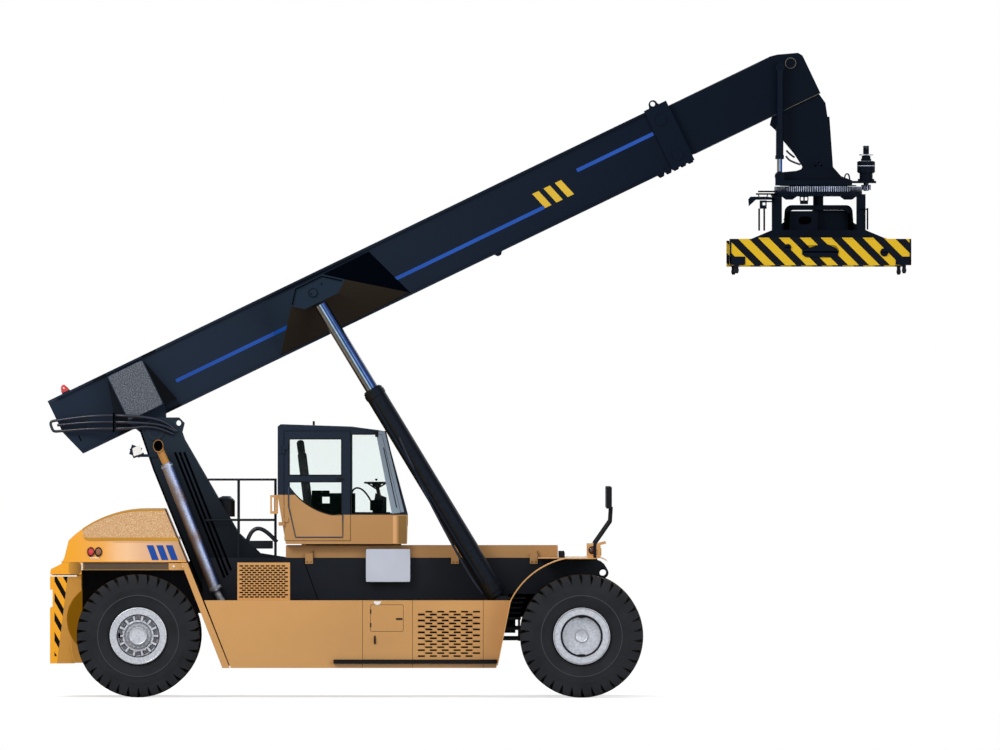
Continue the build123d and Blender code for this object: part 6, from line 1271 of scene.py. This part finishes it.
class STACKER_OT_front_trim(bpy.types.Operator):
    """Headlamp lenses, mirror glass, access steps and the box on the front fenders"""

    bl_idname = "stacker.front_trim"
    bl_label = "Front trim"

    def execute(self, context):
        low, high = box_mm("fenders")
        x, z, side = FRONT_AXLE[0] + 146, high[2] - 77, 1662.0
        arc = np.linspace(0, math.pi / 2, 7)
        lens = turned(np.stack([2 + 12 * np.sin(arc), 40 * np.cos(arc)], axis=1), (x, side, z), (0, 1, 0), 36)
        put("marker_lamp_lenses", both(lens), "chassis", FINISHES["ruby"])
        ring = turned(((-4, 52), (8, 52), (10, 48), (8, 41), (0, 40)), (x, side, z), (0, 1, 0), 36)
        put("lamp_rings", both(ring), "chassis", FINISHES["plastic"])
        arms = joined(prism(((x + 92, z + 66), (x + 92, z + 84), (x + 184, z + 108), (x + 190, z + 92),
                             (x + 180, z + 86)), 1500, side - 40),
                      prism(((x + 76, z - 90), (x + 80, z - 84), (x + 206, z - 148), (x + 204, z - 154)),
                            1500, side - 40))
        put("lamp_arms", both(arms), "chassis", FINISHES["tan"])
        lug = prism(((1607, 1853), (1659, 1833), (1706, 1795), (1742, 1740), (1730, 1732), (1687, 1750),
                     (1650, 1738), (1628, 1700), (1640, 1655), (1607, 1640)), 660, 700)
        put("towing_lug_plates", both(lug), "chassis", FINISHES["frame"])
        glass = slab(MIRROR_LOW[0] + 175, MIRROR_LOW[0] + 178, 1806, 1994, MIRROR_HIGH[2] - 275,
                     MIRROR_HIGH[2] - 16, 1)
        put("mirror_glasses", both(glass), "chassis", FINISHES["chrome"])
        box = slab(1086, 1168, 1500, 1640, 1890, 1967, 8)
        put("fender_boxes", both(box), "chassis", FINISHES["plastic"], bevel=3.0)
        steps = [slab(BODY_HIGH[0] - 110, BODY_HIGH[0] + 150, 1440, 1660, height, height + 34, 6)
                 for height in (772, 912, 1052)]
        posts = [slab(BODY_HIGH[0] + 110, BODY_HIGH[0] + 140, y, y + 20, 765, 1090) for y in (1445, 1635)]
        guard = prism(((BODY_HIGH[0] - 40, 1085), (BODY_HIGH[0] - 20, 1400), (BODY_HIGH[0] + 345, 1400),
                       (BODY_HIGH[0] + 235, 1250), (BODY_HIGH[0] + 165, 1085)), 1380, 1400)
        bars = [slab(BODY_HIGH[0] - 30, BODY_HIGH[0] + reach, 1400, 1430, height, height + 26, 4)
                for reach, height in ((215, 1330), (185, 1270), (165, 1200), (145, 1130))]
        put("access_steps", both(joined(*steps, *posts, *bars)), "chassis", FINISHES["frame"])
        put("splash_guards", both(guard), "chassis", FINISHES["void"])
        return {"FINISHED"}


class STACKER_OT_boom_trim(bpy.types.Operator):
    """Tape, pads, hoses, painted highlights on the flange edges and the beacon on the boom"""

    bl_idname = "stacker.boom_trim"
    bl_label = "Boom trim"

    def execute(self, context):
        sizes = context.scene.stacker_sizes
        half = sizes.tape / MM / 2
        side = 350.0
        tapes = [slab(low, high, side, side + 1.5, up - half, up + half, place=on_boom)
                 for low, high, up in ((551, 2150, 487), (3788, 6075, 437), (6689, 7840, 690))]
        put("boom_blue_tape", both(joined(*tapes)), "boom", FINISHES["blue"])
        bar = prism(((0, 420), (95, 420), (20, 668), (-75, 668)), side, side + 1.5, on_boom)
        bars = repeated(bar, np.array((6080, 6250, 6420))[:, None] * ALONG)
        put("boom_yellow_bars", both(bars), "boom", FINISHES["yellow"])

        panel = prism(rounded(((-255, 285), (255, 285), (255, 940), (-255, 940)), 30), 620, 624, on_boom)
        put("boom_hub_panel", both(panel), "boom", FINISHES["grey_grit"], bevel=1.5)

        face = box_mm("lift_bracket_left")[1][1]
        edges = swept(in_row(np.array((-2524, -2476, -2123, -1852)), face + 1, np.array((5312, 5524, 5700, 5640))), 7)
        pin = (-2238.5, face, 5476)
        ring = turned(((-1, 53), (2, 53), (2, 59), (-1, 59)), pin, (0, 1, 0), 48)
        dots = joined(*(rod((x, face - 1, z), (x, face + 2, z), 10, 12) for x, z in ((-2261, 5460), (-2126, 5594))))
        put("lift_bracket_lines", both(joined(edges, ring, dots)), "boom", FINISHES["void"])

        # painted highlight: grey lines along the top and bottom flange edges
        flange = slab(-1130, 7850, side, side + 1.5, 975, 981, place=on_boom)
        foot = slab(-700, -480, side, side + 1.5, 158, 163, place=on_boom)
        sole = slab(480, 7850, side, side + 1.5, 171, 177, place=on_boom)
        put("boom_flange_seams", both(joined(flange, foot, sole)), "boom", FINISHES["worn"])
        sole = slab(480, 7600, side - 40, side + 1, 150, 163, place=on_boom)
        put("boom_sole_flanges", both(sole), "boom", FINISHES["boom"])
        sky = slab(1900, 3700, side, side + 1, 974, 990, place=on_boom)
        put("boom_sky_edges", both(sky), "boom", FINISHES["sky"])
        slot = slab(-972, -956, side, side + 2, 308, 396, 6, place=on_boom)
        put("boom_tail_slots", both(slot), "boom", FINISHES["void"])

        beacon = on_boom(-864, 0, 1000)
        put("beacon_base", turned(((0, 0), (0, 60), (8, 60), (12, 56), (12, 0)), beacon, UP, 32),
            "boom", FINISHES["plastic"])
        dome = [(12 + 100 * math.sin(a), 60 * math.cos(a)) for a in np.linspace(0, math.pi / 2, 11)]
        put("beacon_dome", turned([(12, 0)] + dome, beacon, UP, 32), "boom", FINISHES["red"])

        radius = sizes.hose / MM / 2
        runs = (
            ((-5779, -400, 3737), (-5481, -420, 3784), (-5136, -500, 3813), (-4900, -650, 3814),
             (-4694, -670, 3806), (-4418, -670, 3778), (-4210, -670, 3709), (-4095, -640, 3600)),
            ((-5716, -400, 3681), (-5436, -420, 3712), (-5136, -500, 3726), (-4900, -650, 3724),
             (-4694, -670, 3721), (-4349, -670, 3695), (-4200, -670, 3650), (-4120, -640, 3600)),
            ((-5703, -400, 3599), (-5436, -420, 3622), (-5136, -500, 3637), (-4900, -650, 3636),
             (-4694, -670, 3642), (-4500, -670, 3668), (-4280, -670, 3630), (-4140, -640, 3560)),
        )
        hoses = [swept(eased(run, 10), radius, side=(0, 1, 0), sides=14) for run in runs]
        bend = swept(eased(((-5779, -400, 3737), (-5815, -400, 3725), (-5790, -400, 3640), (-5760, -400, 3590),
                            (-5703, -400, 3599)), 8), radius, side=(0, 1, 0), sides=14)
        put("tail_hoses", joined(*hoses, bend), "boom", FINISHES["hose"])
        clamp = slab(-4960, -4935, -668, -650, 3585, 3850, 4)
        put("hose_clamps", clamp, "boom", FINISHES["void"])

        # painted highlight: grey lines along the inner boom's flange edges
        seam = joined(slab(8230, 9640, 280, 302, 196, 203, place=on_boom),
                      slab(8230, 9560, 280, 302, 934, 941, place=on_boom))
        put("inner_boom_seams", both(seam), "boom_inner", FINISHES["worn"])
        cap = turned(((0, 0), (0, 66), (10, 66), (14, 60), (14, 40), (10, 36), (10, 22), (16, 18), (16, 0)),
                     TIP * (1, 0, 1) + (0, 330, 0), (0, 1, 0), 40)
        put("tip_pin_caps", both(cap), "boom_inner", FINISHES["deep"])
        ring = turned(((12, 69), (18, 69), (18, 73), (12, 73), (12, 69)), TIP * (1, 0, 1) + (0, 330, 0),
                      (0, 1, 0), 48)
        put("tip_pin_rings", both(ring), "boom_inner", FINISHES["dull"])
        low, high = box_mm("boom_inner")
        line = swept(((4177, 331, 7969), (4644, 331, 8192)), 2.5)
        put("tip_plate_seams", both(line), "boom_inner", FINISHES["dull"])
        return {"FINISHED"}


class STACKER_OT_cylinder_trim(bpy.types.Operator):
    """Gland rings, eye collars, hoses and pipes on the cylinders"""

    bl_idname = "stacker.cylinder_trim"
    bl_label = "Cylinder trim"

    def execute(self, context):
        for side_name, sign in SIDES:
            foot = joint_place(f"lift_swing_{side_name}")
            axis = np.array(JOINTS[f"lift_stroke_{side_name}"]["axis"])
            rings = joined(
                turned(((3330, 133), (3334, 141), (3400, 141), (3404, 133)), foot, axis, 48),
                turned(((3437, 88), (3437, 120), (3452, 116), (3456, 104), (3456, 88)), foot, axis, 48),
                turned(((230, 133), (236, 140), (300, 140), (306, 133)), foot, axis, 48))
            put(f"lift_gland_{side_name}", rings, f"lift_barrel_{side_name}", FINISHES["barrel"])
            eye = turned(((4790, 86), (4794, 92), (4832, 92), (4836, 86)), foot, axis, 40)
            put(f"lift_eye_collar_{side_name}", eye, f"lift_rod_{side_name}", FINISHES["plastic"])
            out = np.array((0.0, sign, 0.0))
            back = np.cross(axis, (0, 1, 0))
            line = foot + np.array((420, 520, 1800, 3180, 3290))[:, None] * axis
            line = line + np.array((132, 156, 156, 156, 132))[:, None] * (0.5 * back + 0.87 * out)
            put(f"lift_pipe_{side_name}", swept(eased(line), 15, side=out), f"lift_barrel_{side_name}",
                FINISHES["navy"])

            line = foot + np.array((300, 420, 900, 1700, 2400, 2700))[:, None] * axis
            line = (line + np.array((150, 170, 165, 120, 60, 20))[:, None] * back
                    + np.array((60, 80, 90, 110, 135, 140))[:, None] * out)
            put(f"lift_hose_{side_name}", swept(eased(line), 16, side=out), f"lift_barrel_{side_name}",
                FINISHES["hose"])
            top = joint_place(f"tilt_swing_{side_name}")
            axis = np.array(JOINTS[f"tilt_stroke_{side_name}"]["axis"])
            gland = turned(((1190, 49), (1192, 56), (1240, 56), (1244, 50), (1244, 36)), top, axis, 36)
            put(f"tilt_gland_{side_name}", gland, f"tilt_barrel_{side_name}", FINISHES["navy"])
        return {"FINISHED"}


class STACKER_OT_head_trim(bpy.types.Operator):
    """Motor rings, hoses, valve blocks and pipe runs on the neck and rotator"""

    bl_idname = "stacker.head_trim"
    bl_label = "Neck and rotator trim"

    def execute(self, context):
        low, high = box_mm("slew_motor")
        centre = ((low[0] + high[0]) / 2, (low[1] + high[1]) / 2, 0)
        top = high[2]
        rings = joined(
            turned(((top - 30, 0), (top - 30, 40), (top - 4, 40), (top + 2, 34), (top + 2, 0)), centre, (0, 0, 1), 32),
            turned(((top - 130, 88), (top - 128, 96), (top - 116, 96), (top - 114, 88)), centre, (0, 0, 1), 40),
            turned(((top - 220, 98), (top - 218, 106), (top - 206, 106), (top - 204, 98)), centre, (0, 0, 1), 40))
        put("motor_rings", rings, "neck", FINISHES["steel"])
        lines = joined(*(turned(((z - 4, reach - 3), (z - 4, reach), (z + 4, reach), (z + 4, reach - 3)), centre,
                                (0, 0, 1), 48) for z, reach in ((7203, 124), (7122, 112))))
        put("motor_lines", lines, "neck", FINISHES["pale"])

        tip_x, tip_z = TIP[0], TIP[2]
        loops = [swept(eased(path, 10), 13) for path in (
            ((4178, -215, 7412), (4205, -215, 7372), (4290, -215, 7315)),
            ((4172, -255, 7335), (4200, -255, 7285), (4300, -255, 7240), (4370, -255, 7218)))]
        put("neck_hoses", joined(*loops), "neck", FINISHES["hose"])

        side = box_mm("neck_frame")[1][1]
        plugs = [rod((x, 150 - side, z), (x, 10 - side, z), 13.5) for x, z in (
            (tip_x + 379, tip_z - 1347), (tip_x + 339, tip_z - 1392), (tip_x + 419, tip_z - 1392))]
        put("neck_hole_plugs", both(joined(*plugs)), "neck", FINISHES["void"])
        eye = swept(eased(((4967, -200, 7005), (4972, -200, 7095), (5036, -200, 7095), (5041, -200, 7005))), 8)
        put("neck_lifting_eyes", both(eye), "neck", FINISHES["frame"])

        x, z = TURN_AXIS[0], RING_LOW[2]
        arm = prism(((x - 954, z - 105), (x - 924, z - 69), (x - 690, z - 69), (x - 600, z - 82),
                     (x - 600, z - 112), (x - 851, z - 112), (x - 947, z - 200)), -500, -470)
        clamp = joined(*(slab(x + low, x + high, -515, -490, z + foot, z + head) for low, high, foot, head in (
            (-799, -759, -233, -120), (-722, -704, -233, -120), (-759, -722, -150, -120),
            (-759, -722, -233, -186))))
        stay = slab(x - 630, x - 600, -500, -400, z - 112, z - 84)
        put("hose_arm", joined(arm, clamp, stay), "rotator", FINISHES["deep"])
        wires = joined(
            rod((x - 821, -490, z + 1), (x - 560, -490, z + 1), 11, 10),
            rod((x - 851, -490, z - 33), (x - 560, -490, z - 33), 11, 10),
            rod((x - 808, -490, z - 75), (x - 815, -490, z - 33), 7, 10),
            rod((x - 700, -490, z - 75), (x - 693, -490, z - 33), 7, 10),
            rod((x - 704, -490, z - 136), (x - 600, -490, z - 136), 10, 10),
            rod((x - 806, -490, z - 530), (x - 806, -490, z - 230), 13, 10),
            rod((x - 737, -490, z - 530), (x - 737, -490, z - 230), 13, 10),
            rod((x + 664, -490, z - 517), (x + 664, -490, z - 223), 12, 10),
            rod((x + 560, -490, z - 240), (x + 668, -490, z - 240), 8, 10))
        put("hose_arm_wires", wires, "rotator", FINISHES["void"])
        valves = joined(slab(x - 250, x - 140, -330, -250, z - 170, z - 120, 8),
                        slab(x - 205, x - 185, -330, -250, z - 125, z - 70, 4),
                        slab(x - 255, x - 240, -330, -250, z - 125, z - 70, 4),
                        slab(x - 150, x - 135, -330, -250, z - 125, z - 70, 4),
                        slab(x - 255, x - 135, -330, -250, z - 75, z - 60, 4))
        put("rotator_valve_blocks", valves, "rotator", FINISHES["deep"], bevel=3.0)
        return {"FINISHED"}


class STACKER_OT_spreader_trim(bpy.types.Operator):
    """Covers on the end beams and the cable housing in the spreader's middle"""

    bl_idname = "stacker.spreader_trim"
    bl_label = "Spreader trim"

    def execute(self, context):
        x, z = TURN_AXIS[0], RING_LOW[2]
        housing = prism(((x - 388, z - 262), (x - 10, z - 262), (x - 10, z - 532), (x - 560, z - 532),
                         (x - 514, z - 442), (x - 440, z - 399), (x - 477, z - 376), (x - 447, z - 347),
                         (x - 447, z - 290), (x - 410, z - 270)), -240, -150)
        ears = prism(((x + 440, z - 290), (x + 447, z - 347), (x + 477, z - 376), (x + 440, z - 399),
                      (x + 514, z - 442), (x + 560, z - 532), (x + 400, z - 532), (x + 400, z - 290)), -240, -150)
        put("cable_housing", joined(housing, ears), "spreader", FINISHES["deep"])
        mouth = prism(rounded(((x - 268, z - 335), (x - 93, z - 335), (x - 93, z - 435), (x - 268, z - 450)), 60),
                      -242, -240)
        put("cable_housing_mouth", mouth, "spreader", FINISHES["void"])
        for side_name, sign in SIDES:
            low, high = box_mm(f"spreader_beam_{side_name}")
            face = abs(high[1] if sign > 0 else low[1])
            covers = []
            for x in (low[0], high[0] - 215):
                shell = slab(x + 3, x + 212, face - 0.5, face + 1.5, low[2] + 3, low[2] + 117, 12)
                covers.append(shell if sign > 0 else mirrored(shell))
            put(f"lock_box_covers_{side_name}", joined(*covers), f"beam_{side_name}",
                FINISHES["deep"])
            x, z = TURN_AXIS[0], high[2]
            flange = slab(x - 832, x + 890, face - 8, face, z, z + 16)
            flange = flange if sign > 0 else mirrored(flange)
            ends = joined(*(slab(at, at + 22, face - 0.5, face + 1.5, low[2] + 20, high[2] - 1)
                            for at in (low[0] + 1, high[0] - 23)))
            put(f"beam_end_edges_{side_name}", ends if sign > 0 else mirrored(ends), f"beam_{side_name}",
                FINISHES["deep"])
            put(f"beam_top_flanges_{side_name}", flange, f"beam_{side_name}", FINISHES["hazard"])
            x, z = (low[0] + high[0]) / 2, low[2]
            fittings = joined(
                prism(((x - 247, z + 205), (x - 175, z + 228), (x - 29, z + 272), (x + 29, z + 291),
                       (x + 104, z + 280), (x + 220, z + 228), (x + 243, z + 190), (x + 235, z + 132),
                       (x + 205, z + 110), (x - 205, z + 110), (x - 247, z + 147)), face - 0.5, face + 6),
                rod((x - 440, face - 0.5, z + 239), (x - 440, face + 6, z + 239), 48, 28),
                rod((x + 862, face - 0.5, z + 173), (x + 862, face + 6, z + 173), 56, 28))
            fittings = fittings if sign > 0 else mirrored(fittings)
            put(f"beam_covers_{side_name}", fittings, f"beam_{side_name}", FINISHES["deep"],
                bevel=2.0)
            slots = joined(
                slab(x - 235, x + 235, face + 6, face + 7, z + 169, z + 190),
                slab(x - 478, x - 402, face + 6, face + 7, z + 231, z + 245),
                slab(x + 818, x + 906, face + 6, face + 7, z + 167, z + 181))
            slots = slots if sign > 0 else mirrored(slots)
            put(f"beam_cover_slots_{side_name}", slots, f"beam_{side_name}", FINISHES["void"])
        return {"FINISHED"}


class STACKER_PT_panel(bpy.types.Panel):
    """Lists the machine's settings and the steps that build it"""

    bl_label = "Reach stacker"
    bl_idname = "STACKER_PT_panel"
    bl_space_type = "VIEW_3D"
    bl_region_type = "UI"
    bl_category = "Reach stacker"

    def draw(self, context):
        for group in (context.scene.stacker_colours, context.scene.stacker_sizes):
            for key in group.bl_rna.properties.keys():
                if key not in ("rna_type", "name"):
                    self.layout.prop(group, key)
        for step in STEPS:
            self.layout.operator(step.bl_idname)


STEPS = (STACKER_OT_stage, STACKER_OT_frame_finish, STACKER_OT_tyres, STACKER_OT_wheels,
         STACKER_OT_hood_trim, STACKER_OT_body_trim, STACKER_OT_tower_trim, STACKER_OT_cab_trim,
         STACKER_OT_front_trim, STACKER_OT_boom_trim, STACKER_OT_cylinder_trim, STACKER_OT_head_trim,
         STACKER_OT_spreader_trim)
CLASSES = (StackerColours, StackerSizes, *STEPS, STACKER_PT_panel)


def register():
    """Makes the settings, steps and panel known."""
    for item in CLASSES:
        bpy.utils.register_class(item)
    bpy.types.Scene.stacker_colours = bpy.props.PointerProperty(type=StackerColours)
    bpy.types.Scene.stacker_sizes = bpy.props.PointerProperty(type=StackerSizes)


def unregister():
    """Takes them away again."""
    del bpy.types.Scene.stacker_sizes
    del bpy.types.Scene.stacker_colours
    for item in reversed(CLASSES):
        bpy.utils.unregister_class(item)


def main():
    """Builds the machine."""
    register()
    for step in STEPS:
        module, name = step.bl_idname.split(".")
        getattr(getattr(bpy.ops, module), name)()


if __name__ == "__main__":
    main()
